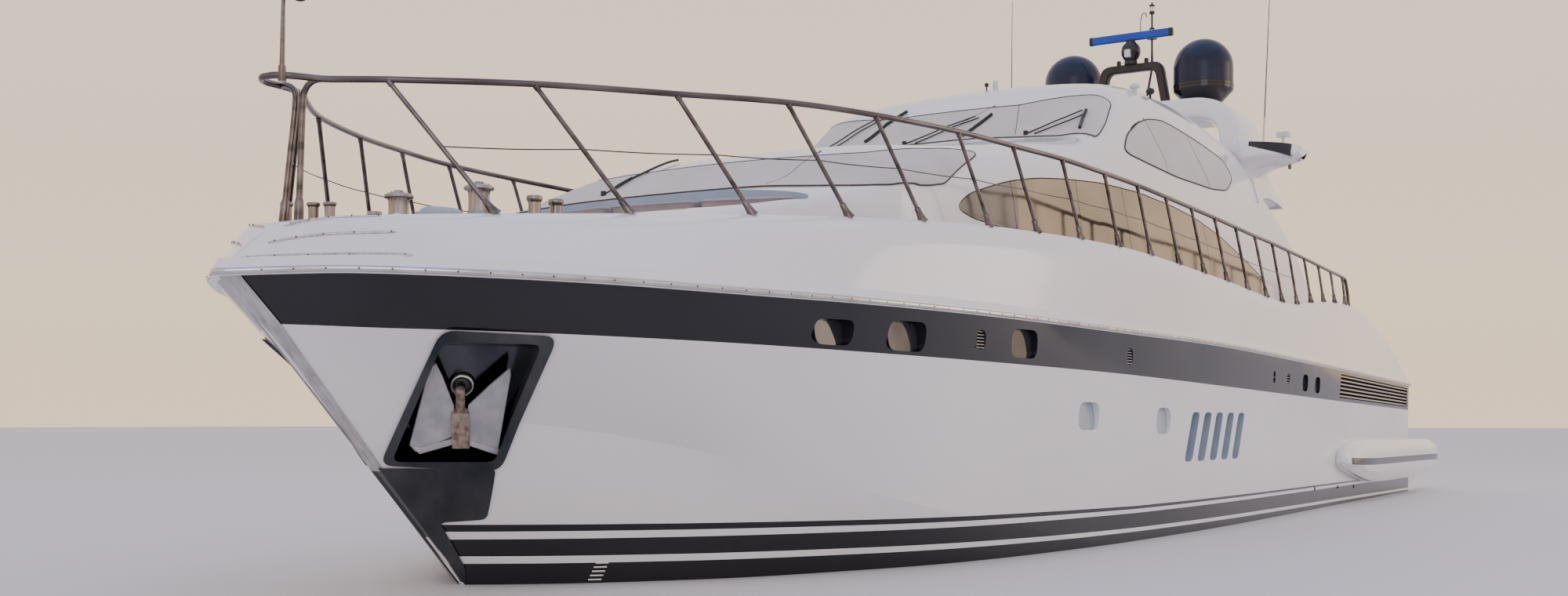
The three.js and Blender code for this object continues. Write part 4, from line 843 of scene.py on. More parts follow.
# Stem plate.
# A brushed steel plate is bent over the stem and screwed down, so the anchor can't chip it.
brushed_steel = new_material("brushed_steel", (0.6, 0.58, 0.57), 0.32, 0.9)
mottle(brushed_steel, (0.42, 0.4, 0.4), (0.7, 0.68, 0.67), 6.0, stretch=(1, 4, 0.4), roughness=(0.22, 0.45))
roughen(brushed_steel, 60.0, 0.0006, detail=4.0, stretch=(1, 1, 0.1))
STEM_LINE = [(17.5, 3.0, 0.06), (17.02, 2.56, 0.055), (16.12, 1.65, 0.035), (15.68, 1.2, 0.02)]
stem_outline = [(x - width, z) for x, z, width in STEM_LINE]
stem_outline += [(x + 0.4, z) for x, z, _ in reversed(STEM_LINE)]
stem_plate = prism("stem_plate", stem_outline, -1, 1, "y")
carve(stem_plate, hull_copy("outer_skin", (0.016, 0, -0.006)), "INTERSECT")
carve(stem_plate, hull_copy("inner_skin", (0.001, 0, -0.0005)))
coat(smooth_over(stem_plate, 30), brushed_steel)
settle(stem_plate, "stem_plate")

# Deck and bulwarks.
# One glass-fibre moulding is bonded to the hull along the rub rail. It forms the high
# rounded bulwarks, the side decks and the cockpit, and its decks are laid with teak.
FOREDECK_Z = 3.5
FOREDECK_STEP = {"x0": 12.6, "x1": 13.8}
RIM_WIDTH = 0.16
LIP_RADIUS = 0.04
RIM_POINTS = [
    {"frame": 0, "rim": (16.86, 0.05, 3.46)},
    {"frame": 1, "rim": (16.75, 0.5, 3.52)},
    {"frame": 2, "rim": (16.3, 0.98, 3.56)},
    {"frame": 3, "rim": (15.45, 1.55, 3.62)},
    {"frame": 4, "rim": (14.3, 2.18, 3.7)},
    {"frame": 5, "rim": (13.0, 2.84, 3.78)},
    {"frame": 6, "rim": (11.3, 3.36, 3.88)},
    {"frame": 7, "rim": (8.9, 3.62, 4.0)},
    {"frame": 8, "rim": (5.6, 3.84, 4.04)},
    {"frame": 9, "rim": (1.6, 3.85, 3.92)},
    {"frame": 10, "rim": (-2.6, 3.76, 3.79)},
    {"frame": 10.4, "rim": (-4.9, 3.7, 3.97)},
    {"frame": 10.9, "rim": (-7.4, 3.58, 4.07)},
    {"frame": 11.15, "rim": (-8.8, 3.52, 4.05)},
    {"frame": 11.5, "rim": (-10.7, 3.46, 3.71)},
    {"frame": 11.8, "rim": (-12.5, 3.42, 3.2)},
    {"frame": 12, "rim": (-13.5, 3.39, 2.66)},
]


def rim_point(at):
    return between([row["frame"] for row in RIM_POINTS], [row["rim"] for row in RIM_POINTS], at)


def bend(start, corner, end, count):
    """Points on a curve that leaves for the corner and arrives from it."""
    made = []
    for i in range(count + 1):
        t = i / count
        made.append(tuple(
            a * (1 - t) ** 2 + b * 2 * t * (1 - t) + c * t**2 for a, b, c in zip(start, corner, end)
        ))
    return made


def bulwark_side(at):
    """The bulwark's outer face and rounded top, from the rub rail to the cap's inner edge."""
    rub = hull_line("rub", at)
    rim = rim_point(at)
    shoulder = (
        rub[0] * 0.22 + rim[0] * 0.78, rub[1] * 0.22 + rim[1] * 0.78 + 0.05, rub[2] * 0.13 + rim[2] * 0.87,
    )
    edge = (rim[0], max(rim[1] - 0.03, 0.02), rim[2])
    turn = tuple(mix(rub, shoulder, 0.74))
    face = [tuple(mix(rub, turn, i / 5)) for i in range(5)]
    return face + bend(turn, shoulder, edge, 8)


def deck_ring(at):
    side = bulwark_side(at)
    return both_sides([(side[0][0], 0, side[0][2])] + side + [(side[-1][0], 0, side[-1][2])])


teak = new_material("teak_planking", (0.3, 0.19, 0.12), 0.6)
planks = add_node(teak, "ShaderNodeTexBrick", Scale=1.0)
planks.inputs["Color1"].default_value = (0.34, 0.22, 0.14, 1)
planks.inputs["Color2"].default_value = (0.27, 0.17, 0.105, 1)
planks.inputs["Mortar"].default_value = (0.02, 0.02, 0.02, 1)
planks.inputs["Mortar Size"].default_value = 0.004
planks.inputs["Brick Width"].default_value = 2.4
planks.inputs["Row Height"].default_value = 0.055
teak_place = add_node(teak, "ShaderNodeTexCoord")
join_nodes(teak, teak_place.outputs["Object"], planks.inputs["Vector"])
teak_grain = add_node(teak, "ShaderNodeTexNoise", Scale=30.0, Detail=6.0)
teak_stretch = add_node(teak, "ShaderNodeMapping")
teak_stretch.inputs["Scale"].default_value = (0.15, 2, 2)
join_nodes(teak, teak_place.outputs["Object"], teak_stretch.inputs["Vector"])
join_nodes(teak, teak_stretch.outputs["Vector"], teak_grain.inputs["Vector"])
teak_blend = add_node(teak, "ShaderNodeMix", data_type="RGBA", blend_type="MULTIPLY")
teak_blend.inputs["Factor"].default_value = 0.55
join_nodes(teak, planks.outputs["Color"], teak_blend.inputs["A"])
join_nodes(teak, teak_grain.outputs["Fac"], teak_blend.inputs["B"])
join_nodes(teak, teak_blend.outputs["Result"], shader_of(teak).inputs["Base Color"])
roughen(teak, 60.0, 0.001, detail=4.0, stretch=(0.1, 2, 2))

deck = coat(loft("deck_and_bulwarks", [deck_ring(at) for at in HULL_STEPS]), white_paint)


def well_ring(at):
    """Inside faces of the bulwarks, with a rounded lip under the cap."""
    x, rim_y, rim_z = rim_point(at)
    if at == LAST_FRAME:
        x -= 2
    y = rim_y - RIM_WIDTH
    lip = bend((x, y, rim_z - LIP_RADIUS), (x, y, rim_z), (x, y + LIP_RADIUS, rim_z), 4)
    foot = [(x, 0, SOLE_Z - 1), (x, y, SOLE_Z - 1)]
    return both_sides(foot + lip + [(x, y + LIP_RADIUS, rim_z + 1), (x, 0, rim_z + 1)])


well_steps = steps_between(1.5, LAST_FRAME, 130)
well = coat(loft("deck_well", [well_ring(at) for at in well_steps]), white_paint)
above_decks = prism("above_decks", [
    (-20, SOLE_Z), (FOREDECK_STEP["x0"], SOLE_Z), (FOREDECK_STEP["x1"], FOREDECK_Z), (20, FOREDECK_Z),
    (20, 9), (-20, 9),
], -5, 5, "y")
carve(well, coat(above_decks, teak), "INTERSECT")
carve(deck, well)
carve_both(deck, stair_tool("stair_well"))
smooth_over(deck, 22)
settle(deck, "deck_moulding", "sunpad_base", "bulwark_port", "bulwark_starboard")

SUNPAD_BASE = {"x0": -13.3, "x1": -10.6, "y": 2.1, "z0": SOLE_Z - 0.02, "z1": 3.55}
sunpad_block = box_body(
    "sunpad_block", SUNPAD_BASE["x0"], SUNPAD_BASE["x1"], -SUNPAD_BASE["y"], SUNPAD_BASE["y"],
    SUNPAD_BASE["z0"], SUNPAD_BASE["z1"],
)
bevel(sunpad_block, 0.05, 4)
settle(coat(smooth_over(sunpad_block, 40), white_paint))

TREAD = {"play_x": 0.03, "play_y": 0.04, "sunk": 0.002, "proud": 0.012}
for i in range(STAIR["steps"] - 1):
    x = STAIR["top_x"] - i * stair_run
    z = SOLE_Z - (i + 1) * stair_rise
    tread = box_body(
        f"stair_tread_{i + 1}_port", x - stair_run + TREAD["play_x"], x - TREAD["play_x"],
        STAIR["y0"] + TREAD["play_y"], STAIR["y1"] - TREAD["play_y"], z - TREAD["sunk"], z + TREAD["proud"],
    )
    coat(tread, teak)
    settle_pair(tread)

# Rub rail.
# A white moulding with a hollow face covers the seam between hull and deck, and a
# stainless half-round is bolted along its foot.
def rub_place(at):
    """A place on the seam with the level direction that points out of the hull."""
    here = Vector(hull_line("rub", at))
    ahead = Vector(hull_line("rub", max(at - 0.02, 0)))
    behind = Vector(hull_line("rub", min(at + 0.02, LAST_FRAME)))
    run = behind - ahead
    return here, Vector((run.y, -run.x, 0)).normalized()


def rail_round_bow(name, section):
    """A moulding of one section along the seam, from the port quarter round the bow."""
    port = [rub_place(at) for at in HULL_STEPS]
    nose = [(Vector((here.x + 0.012, 0, here.z)), Vector((1, 0, 0))) for here, _ in port[:1]]
    starboard = [(Vector((here.x, -here.y, here.z)), Vector((out.x, -out.y, 0))) for here, out in port]
    stops = list(reversed(port)) + nose + starboard
    rings = []
    for here, out in stops:
        rings.append([tuple(here + out * stand + Vector((0, 0, height))) for stand, height in section])
    return loft(name, rings)


COVE = [
    (-0.12, -0.045), (0.03, -0.045), (0.036, 0.0), (0.034, 0.03), (0.03, 0.045), (0.018, 0.06),
    (0.008, 0.08), (0.002, 0.1), (-0.004, 0.115), (-0.12, 0.125),
]
cove = rail_round_bow("rub_rail_moulding", COVE)
coat(smooth_over(cove, 35), white_paint)
settle(cove, "rub_rail")
half_round = [(0.02, -0.04)] + [
    (0.03 + 0.026 * math.cos(turn), 0.032 * math.sin(turn) - 0.006)
    for turn in (math.radians(angle) for angle in range(-90, 91, 20))
] + [(0.02, 0.028)]
steel_band = rail_round_bow("rub_rail_band", half_round)
coat(smooth_over(steel_band, 60), polished_steel)
settle(steel_band, "rub_rail")

BOLT_PITCH = 0.28
bolt_places = []
travelled = 0.0
last_place = None
for at in steps_between(0.1, 11.9, 2400):
    here, out = rub_place(at)
    if last_place is not None:
        travelled += (here - last_place).length
    last_place = here
    if travelled >= BOLT_PITCH:
        travelled = 0.0
        bolt_places.append((here + out * 0.054 + Vector((0, 0, -0.006)), out))


def domed_heads(name, places, radius, height):
    """Small domed bolt heads, all in one piece."""
    vertices = []
    faces = []
    for here, out in places:
        side = out.cross(Vector((0, 0, 1))).normalized()
        up = side.cross(out)
        first = len(vertices)
        for level, shrink in ((-0.004, 1.0), (height * 0.6, 0.85), (height, 0.45)):
            for turn in turns(8):
                spoke = side * math.cos(turn) + up * math.sin(turn)
                vertices.append(tuple(here + out * level + spoke * radius * shrink))
        for level in range(2):
            for k in range(8):
                a = first + level * 8 + k
                b = first + level * 8 + (k + 1) % 8
                faces.append((a, b, b + 8, a + 8))
        faces.append(tuple(first + 16 + k for k in range(8)))
        faces.append(tuple(first + k for k in reversed(range(8))))
    return new_object(name, vertices, faces)


bolts = domed_heads("rub_rail_bolts_port", bolt_places, 0.011, 0.006)
bolt_steel = new_material("bolt_steel", (0.12, 0.11, 0.11), 0.4, 0.9)
mottle(bolt_steel, (0.07, 0.065, 0.06), (0.2, 0.19, 0.18), 20.0, roughness=(0.3, 0.5))
coat(smooth_over(bolts, 60), bolt_steel)
settle_pair(bolts)

# Chafe strips.
# Three slim steel strips are screwed to each bow's shoulder, where the paint would wear.
CHAFE_STRIPS = [
    {"name": "top_chafe_strip", "height": 0.022,
     "rows": [(0.3, 0.93), (0.8, 0.94), (1.3, 0.95), (1.82, 0.95)]},
    {"name": "middle_chafe_strip", "height": 0.036,
     "rows": [(0.25, 0.52), (0.7, 0.56), (1.3, 0.6), (2.1, 0.6)]},
    {"name": "low_chafe_strip", "height": 0.062,
     "rows": [(0.0, 0.24), (0.6, 0.235), (1.4, 0.22), (2.4, 0.22)]},
]


def on_bulwark(at, share):
    """A place on the bulwark's outer side, share of the way from the rub rail to the cap."""
    side = bulwark_side(at)
    lengths = [0.0]
    for a, b in zip(side, side[1:]):
        lengths.append(lengths[-1] + (Vector(b) - Vector(a)).length)
    goal = lengths[-1] * share
    row = 0
    while row < len(side) - 2 and lengths[row + 1] < goal:
        row += 1
    part = (goal - lengths[row]) / (lengths[row + 1] - lengths[row])
    here = Vector(mix(side[row], side[row + 1], part))
    up = (Vector(side[row + 1]) - Vector(side[row])).normalized()
    return here, up


for row in CHAFE_STRIPS:
    first = row["rows"][0][0]
    last = row["rows"][-1][0]
    places = []
    for at in steps_between(first, last, 40):
        share = between([key for key, _ in row["rows"]], [(value,) for _, value in row["rows"]], at)[0]
        here, up = on_bulwark(at, share)
        ahead, _ = on_bulwark(max(at - 0.02, 0), share)
        behind, _ = on_bulwark(at + 0.02, share)
        out = (behind - ahead).cross(up).normalized()
        if out.y < 0:
            out = -out
        places.append((here, up, out))
    rings = []
    for i, (here, up, out) in enumerate(places):
        taper = min(1.0, 0.35 + min(i, len(places) - 1 - i) * 0.5)
        half = row["height"] / 2 * taper
        rings.append([
            tuple(here + up * half * math.cos(turn) + out * (0.018 * math.sin(turn) - 0.004))
            for turn in (math.radians(angle) for angle in range(-90, 270, 30))
        ])
    strip = coat(smooth_over(loft(row["name"] + "_port", rings), 50), brushed_steel)
    stud_places = [(here + out * 0.014, out) for here, _, out in places[3::9]]
    studs = domed_heads(row["name"] + "_studs_port", stud_places, 0.009, 0.008)
    coat(studs, bolt_steel)
    for piece in (strip, studs):
        settle_pair(piece)

# Deckhouse.
# A single glass-fibre shell sweeps up from the foredeck over the saloon and the raised
# wheelhouse and ends in a fin on each side. It is bonded to the deck and painted white.
HOUSE_SECTIONS = [
    {"x": 13.6, "sill": 0.7, "hip": (0.6, 3.62), "edge": (0.5, 3.68), "crown": (0.3, 3.7), "top": 3.72},
    {"x": 13.1, "sill": 1.75, "hip": (1.55, 3.76), "edge": (1.3, 3.82), "crown": (0.8, 3.84), "top": 3.86},
    {"x": 12.3, "sill": 2.3, "hip": (2.15, 3.96), "edge": (1.95, 4.02), "crown": (1.2, 4.05), "top": 4.06},
    {"x": 11.3, "sill": 2.75, "hip": (2.68, 4.17), "edge": (2.5, 4.28), "crown": (1.6, 4.34), "top": 4.36},
    {"x": 10.5, "sill": 3.0, "hip": (2.96, 4.32), "edge": (2.88, 4.47), "crown": (1.7, 4.58), "top": 4.6},
    {"x": 10.0, "sill": 3.04, "hip": (2.99, 4.4), "edge": (2.86, 4.67), "crown": (1.7, 4.83), "top": 4.87},
    {"x": 9.2, "sill": 3.05, "hip": (2.98, 4.55), "edge": (2.78, 4.97), "crown": (1.7, 5.14), "top": 5.18},
    {"x": 7.8, "sill": 3.04, "hip": (2.94, 4.88), "edge": (2.66, 5.25), "crown": (1.6, 5.33), "top": 5.37},
    {"x": 6.0, "sill": 3.02, "hip": (2.9, 5.3), "edge": (2.6, 5.56), "crown": (1.6, 5.61), "top": 5.66},
    {"x": 4.4, "sill": 3.0, "hip": (2.86, 5.56), "edge": (2.64, 5.84), "crown": (1.7, 5.89), "top": 5.93},
    {"x": 3.8, "sill": 3.0, "hip": (2.85, 5.68), "edge": (2.6, 6.13), "crown": (1.75, 6.2), "top": 6.24},
    {"x": 3.0, "sill": 3.0, "hip": (2.84, 5.78), "edge": (2.54, 6.73), "crown": (1.85, 6.87), "top": 6.92},
    {"x": 2.0, "sill": 3.0, "hip": (2.83, 5.8), "edge": (2.55, 6.88), "crown": (1.95, 7.16), "top": 7.26},
    {"x": 0.6, "sill": 3.0, "hip": (2.83, 5.8), "edge": (2.58, 6.92), "crown": (1.98, 7.3), "top": 7.46},
    {"x": -1.2, "sill": 3.0, "hip": (2.83, 5.78), "edge": (2.58, 6.84), "crown": (1.98, 7.3), "top": 7.5},
    {"x": -3.2, "sill": 2.98, "hip": (2.82, 5.75), "edge": (2.56, 6.64), "crown": (1.95, 7.18), "top": 7.38},
    {"x": -5.0, "sill": 2.95, "hip": (2.78, 5.6), "edge": (2.54, 6.42), "crown": (1.95, 6.98), "top": 7.18},
    {"x": -7.7, "sill": 2.92, "hip": (2.76, 5.2), "edge": (2.5, 6.0), "crown": (1.9, 6.5), "top": 6.7},
]
HOUSE_ROWS = list(reversed(HOUSE_SECTIONS))
HOUSE_FOOT_Z = 3.1
HOUSE_WALL = 0.12
CORNER_REACH = {"hip": 0.42, "edge": 0.34, "crown": 0.7, "top": 1.2}


def softened(points, reaches, count=6):
    """An open outline whose inner corners are bent over the given reaches."""
    made = [points[0]]
    for i in range(1, len(points) - 1):
        here = Vector(points[i])
        before = Vector(points[i - 1]) - here
        after = Vector(points[i + 1]) - here
        first = here + before.normalized() * min(reaches[i - 1], before.length * 0.49)
        last = here + after.normalized() * min(reaches[i - 1], after.length * 0.49)
        made += bend(tuple(first), tuple(here), tuple(last), count)
    return made + [points[-1]]


def house_values(x):
    rows = [
        (row["sill"], *row["hip"], *row["edge"], *row["crown"], row["top"]) for row in HOUSE_ROWS
    ]
    return between([row["x"] for row in HOUSE_ROWS], rows, x)


def house_outline(x, inset=0.0):
    """The shell's section, over the top from its port foot to its starboard foot, as y and z."""
    sill, hip_y, hip_z, edge_y, edge_z, crown_y, crown_z, top = house_values(x)
    port = [
        (sill - inset, HOUSE_FOOT_Z), (hip_y - inset, hip_z - inset * 0.4),
        (edge_y - inset, edge_z - inset * 0.8), (crown_y - inset * 0.4, crown_z - inset),
    ]
    whole = port + [(0, top - inset)] + [(-y, z) for y, z in reversed(port)]
    half = [CORNER_REACH["hip"], CORNER_REACH["edge"], CORNER_REACH["crown"]]
    return softened(whole, half + [CORNER_REACH["top"]] + half[::-1])


def house_form(name, inset=0.0, fore=HOUSE_SECTIONS[0]["x"]):
    """The whole deckhouse as a body, with its faces moved inwards."""
    stations = steps_between(HOUSE_SECTIONS[-1]["x"], fore - inset, 210)
    return loft(name, [[(x, y, z) for y, z in house_outline(x, inset)] for x in stations])


SALOON_WINDOW = [
    (9.2, 4.26), (8.84, 4.47), (8.33, 4.61), (7.5, 4.81), (6.6, 4.96), (5.6, 5.07), (4.3, 5.18),
    (2.7, 5.23), (1.15, 5.19), (-0.06, 5.1), (-1.3, 4.92), (-2.65, 4.64), (-3.95, 4.34), (-4.2, 3.98),
    (4.0, 3.98), (7.3, 4.12), (8.8, 4.18),
]
WHEELHOUSE_WINDOW = [
    (2.95, 5.95), (2.6, 6.27), (2.02, 6.48), (1.0, 6.56), (0.04, 6.54), (-1.2, 6.43), (-2.0, 6.28),
    (-2.45, 6.05), (-1.9, 5.82), (-0.85, 5.74), (1.2, 5.72), (2.8, 5.8),
]
LOWER_WINDSHIELD = [
    (10.6, 0), (11.02, 1.36), (11.12, 2.0), (11.12, 2.36), (11.02, 2.6), (10.84, 2.75), (10.64, 2.87),
    (10.38, 2.94), (9.82, 2.95), (9.4, 2.94), (9.0, 2.89), (8.4, 2.8), (8.14, 2.74), (9.2, 2.6),
    (9.66, 2.0), (9.78, 1.3), (9.6, 0),
]
UPPER_WINDSHIELD = [
    (4.0, 0), (4.06, 0.83), (4.14, 1.52), (4.18, 2.19), (3.98, 2.66), (3.84, 2.66), (3.46, 2.62),
    (3.06, 2.55), (3.16, 2.2), (3.34, 1.17), (3.28, 0),
]
RECESS = [
    (12.7, 0), (12.5, 1.3), (12.2, 2.0), (11.62, 2.48), (11.52, 2.2), (11.36, 1.75), (11.14, 1.06),
    (10.8, 0),
]
CUSHION_BED_Z = 4.02


def whole_outline(port):
    """An outline seen from above, from its port half."""
    middle = [(x, y) for x, y in port if y > 0]
    return middle + [(x, -y) for x, y in reversed(middle)]


def pulled_in(outline, by):
    """The same outline with every edge moved inwards."""
    area = sum(a[0] * b[1] - b[0] * a[1] for a, b in zip(outline, outline[1:] + outline[:1]))
    turn = 1 if area > 0 else -1
    made = []
    for i, corner in enumerate(outline):
        here = Vector(corner)
        last = (here - Vector(outline[i - 1])).normalized()
        following = (Vector(outline[(i + 1) % len(outline)]) - here).normalized()
        before = Vector((-last.y, last.x)) * turn
        after = Vector((-following.y, following.x)) * turn
        made.append(tuple(here + (before + after) * by / (1 + before.dot(after))))
    return made


SHAPED_WINDOWS = {
    "saloon": rounded(SALOON_WINDOW, 0.3, 4),
    "wheelhouse": rounded(WHEELHOUSE_WINDOW, 0.3, 4),
    "lower": rounded(whole_outline(LOWER_WINDSHIELD), 0.12, 4),
    "upper": rounded(whole_outline(UPPER_WINDSHIELD), 0.05, 4),
}
shell = coat(house_form("deckhouse_shell"), white_paint)
cream_lining = new_material("cream_lining", (0.62, 0.56, 0.47), 0.8)
mottle(cream_lining, (0.58, 0.52, 0.43), (0.66, 0.6, 0.51), 5.0, roughness=(0.7, 0.9))
carve(shell, coat(house_form("house_inside", HOUSE_WALL, fore=10.9), cream_lining))
FIN_CUT = [
    (-3.4, 9), (-3.4, 6.35), (-5.3, 5.6), (-6.8, 4.78), (-7.5, 4.1), (-7.62, 3.0), (-9, 3.0), (-9, 9),
]
ROOF = {"aft_x": -5.3, "fore_x": 3.6, "seam_z": 6.8}
tail_cut = prism("tail_cut", rounded(FIN_CUT, 0.5), -5, 5, "y")
carve(tail_cut, box_body("roof_region", ROOF["aft_x"], ROOF["fore_x"], -5, 5, ROOF["seam_z"], 9.5))
carve(shell, coat(tail_cut, white_paint))
carve(shell, coat(box_body("fin_space", -9, -5.2, -2.2, 2.2, 3, ROOF["seam_z"]), white_paint))
SIDE_REACH = (1.2, 4)
for key in ("saloon", "wheelhouse"):
    carve_both(shell, coat(prism(key + "_cut", SHAPED_WINDOWS[key], *SIDE_REACH, "y"), white_paint))
for key, z0, z1 in (("lower", 4.2, 5.9), ("upper", 5.9, 7.2)):
    carve(shell, coat(prism(key + "_cut", SHAPED_WINDOWS[key], z0, z1, "z"), white_paint))
recess_ring = rounded(whole_outline(RECESS), 0.15, 5)
# The recess is lined in the same white gelcoat as the shell; its blue-grey colour is painted shade with a
# painted reflection of the sky.
recess_shade_paint = new_material("recess_gelcoat", (0.3, 0.4, 0.55), 0.4)
mottle(recess_shade_paint, (0.27, 0.37, 0.52), (0.34, 0.44, 0.58), 3.0, roughness=(0.3, 0.5))
carve(shell, coat(prism("recess_cut", recess_ring, CUSHION_BED_Z, 6, "z"), recess_shade_paint))
smooth_over(shell, 24)
settle(shell, "coachroof", "superstructure", "hardtop")

# Radar arch.
# A hollow glass-fibre arch stands on the aft corners of the wheelhouse and carries the
# domes. A navigation light wing is moulded to the outer side of each leg.
ARCH_ROWS = [
    {"y": 2.42, "z": 5.95, "half": 0.2, "x0": -5.85, "x1": -3.3, "lean": 0.1},
    {"y": 2.33, "z": 6.35, "half": 0.2, "x0": -5.75, "x1": -3.65, "lean": 0.1},
    {"y": 2.24, "z": 6.75, "half": 0.2, "x0": -5.5, "x1": -3.86, "lean": 0.08},
    {"y": 2.2, "z": 7.15, "half": 0.2, "x0": -5.4, "x1": -3.9, "lean": 0.12},
    {"y": 2.13, "z": 7.42, "half": 0.2, "x0": -5.38, "x1": -3.92, "lean": 0.5},
    {"y": 1.95, "z": 7.63, "half": 0.2, "x0": -5.36, "x1": -3.94, "lean": 1.0},
    {"y": 1.68, "z": 7.74, "half": 0.2, "x0": -5.35, "x1": -3.95, "lean": 1.35},
    {"y": 1.3, "z": 7.77, "half": 0.2, "x0": -5.35, "x1": -3.96, "lean": 1.55},
    {"y": 0.0, "z": 7.78, "half": 0.19, "x0": -5.35, "x1": -3.98, "lean": 1.5708},
]
ARCH_KEYS = list(range(len(ARCH_ROWS)))


def arch_ring(at):
    values = [(row["y"], row["z"], row["half"], row["x0"], row["x1"], row["lean"]) for row in ARCH_ROWS]
    y, z, half, x0, x1, lean = between(ARCH_KEYS, values, at)
    outward = (math.cos(lean), math.sin(lean))
    corners = [(x0, -half), (x1, -half), (x1, half), (x0, half)]
    return [(x, y + outward[0] * out, z + outward[1] * out) for x, out in rounded(corners, 0.11, 4)]


last_key = ARCH_KEYS[-1]
port_rings = [arch_ring(at) for at in steps_between(0, last_key, 60)]
far_rings = [[(x, -y, z) for x, y, z in ring] for ring in reversed(port_rings[:-1])]
arch = coat(smooth_over(loft("radar_arch_shell", port_rings + far_rings), 40), white_paint)
settle(arch, "radar_arch")

WING_ROWS = [
    {"y": 2.3, "x0": -5.25, "x1": -3.75, "z0": 6.3, "z1": 7.02},
    {"y": 2.5, "x0": -5.22, "x1": -3.7, "z0": 6.38, "z1": 7.0},
    {"y": 2.75, "x0": -5.15, "x1": -3.78, "z0": 6.5, "z1": 6.985},
    {"y": 3.15, "x0": -5.02, "x1": -4.02, "z0": 6.56, "z1": 6.96},
    {"y": 3.4, "x0": -4.9, "x1": -4.24, "z0": 6.62, "z1": 6.92},
    {"y": 3.45, "x0": -4.84, "x1": -4.3, "z0": 6.66, "z1": 6.88},
]


WING_EDGE = {"share": 0.42, "slope": 0.1}


def wing_ring(y):
    """The wing's section, with its fore edge part of the way up."""
    values = [(row["x0"], row["x1"], row["z0"], row["z1"]) for row in WING_ROWS]
    x0, x1, z0, z1 = between([row["y"] for row in WING_ROWS], values, y)
    section = [
        (x0, z0 + 0.1), (x0 + 0.5, z0), (x1 - 0.3, z0), (x1, z0 + (z1 - z0) * WING_EDGE["share"]),
        (x1 - WING_EDGE["slope"], z1), (x0, z1),
    ]
    return [(x, y, z) for x, z in rounded(section, 0.05, 3)]


wing_steps = steps_between(WING_ROWS[0]["y"], WING_ROWS[-1]["y"], 24)
light_wing = loft("light_wing_port", [wing_ring(y) for y in wing_steps])
coat(smooth_over(light_wing, 35), white_paint)
settle_pair(light_wing)


LENS = {"y0": 2.62, "y1": 3.31}


def lens_ring(y):
    """Section of the dark lens let into the wing's forward edge, taller towards its tip."""
    values = [(row["x1"], row["z0"], row["z1"]) for row in WING_ROWS]
    x1, z0, z1 = between([row["y"] for row in WING_ROWS], values, y)
    share = (y - LENS["y0"]) / (LENS["y1"] - LENS["y0"])
    low = z1 - 0.1 - 0.16 * share
    edge_z = z0 + (z1 - z0) * WING_EDGE["share"]
    fore = x1 - WING_EDGE["slope"] * (low - edge_z) / (z1 - edge_z)
    section = [(fore + 0.008, low), (x1 - 0.09, z1 - 0.012), (x1 - 0.26, z1 + 0.006), (x1 - 0.26, low)]
    return [(x, y, z) for x, z in section]


lens_glass = new_material("lens_glass", (0.012, 0.01, 0.014), 0.06)
mottle(lens_glass, (0.008, 0.008, 0.011), (0.02, 0.016, 0.018), 4.0, roughness=(0.04, 0.12))
lens_steps = steps_between(LENS["y0"], LENS["y1"], 12)
lens = coat(loft("light_lens_port", [lens_ring(y) for y in lens_steps]), lens_glass)
settle_pair(lens)

# Overhang of the upper deck, aft of the arch legs.
OVERHANG = [
    (-3.9, 5.8), (-4.4, 5.96), (-4.95, 6.02), (-5.5, 5.99), (-6.03, 5.92), (-6.05, 6.5), (-5.85, 6.62),
    (-5.2, 6.72), (-3.9, 6.75),
]
overhang_ring = rounded(OVERHANG, 0.08, 4)
overhang = coat(prism("upper_deck_overhang", overhang_ring, -2.9, 2.9, "y"), white_paint)
carve(overhang, house_form("house_copy", -0.03), "INTERSECT")
lounge_well = [(-3.95, 7), (-3.95, 6.16), (-5.9, 6.16), (-5.9, 7)]
carve(overhang, coat(prism("upper_deck_well", lounge_well, -2.18, 2.18, "y"), white_paint))
settle(smooth_over(overhang, 30))

# Swim platform.
# A glass-fibre platform across the stern, laid with teak. A bulky moulded wing on each
# side runs forward along the hull and carries a black stripe.
PLATFORM = {"fore_x": -14.504, "aft_x": -16.3, "half": 3.28, "z0": 0.42, "z1": 0.6}
board = box_body(
    "platform_board", PLATFORM["aft_x"], PLATFORM["fore_x"], -PLATFORM["half"], PLATFORM["half"],
    PLATFORM["z0"], PLATFORM["z1"],
)
bevel(board, 0.04, 4)
settle(coat(smooth_over(board, 40), white_paint), "swim_platform")
platform_teak = box_body(
    "platform_teak", PLATFORM["aft_x"] + 0.1, PLATFORM["fore_x"] - 0.12, -2.95, 2.95,
    PLATFORM["z1"] - 0.004, PLATFORM["z1"] + 0.015,
)
settle(coat(platform_teak, teak))

POD_ROWS = [
    {"x": -6.35, "y": 3.66, "half": 0.05, "top": 0.13, "low": -0.05, "mid": 0.91},
    {"x": -6.5, "y": 3.66, "half": 0.17, "top": 0.24, "low": -0.12, "mid": 0.89},
    {"x": -7.15, "y": 3.65, "half": 0.23, "top": 0.38, "low": -0.22, "mid": 0.87},
    {"x": -8.1, "y": 3.64, "half": 0.26, "top": 0.43, "low": -0.35, "mid": 0.85},
    {"x": -9.3, "y": 3.61, "half": 0.26, "top": 0.44, "low": -0.44, "mid": 0.84},
    {"x": -12.0, "y": 3.53, "half": 0.26, "top": 0.43, "low": -0.45, "mid": 0.83},
    {"x": -14.6, "y": 3.45, "half": 0.26, "top": 0.43, "low": -0.43, "mid": 0.82},
    {"x": -15.7, "y": 3.41, "half": 0.26, "top": 0.42, "low": -0.36, "mid": 0.81},
    {"x": -16.25, "y": 3.38, "half": 0.24, "top": 0.4, "low": -0.22, "mid": 0.8},
    {"x": -16.4, "y": 3.36, "half": 0.2, "top": 0.34, "low": -0.14, "mid": 0.8},
]
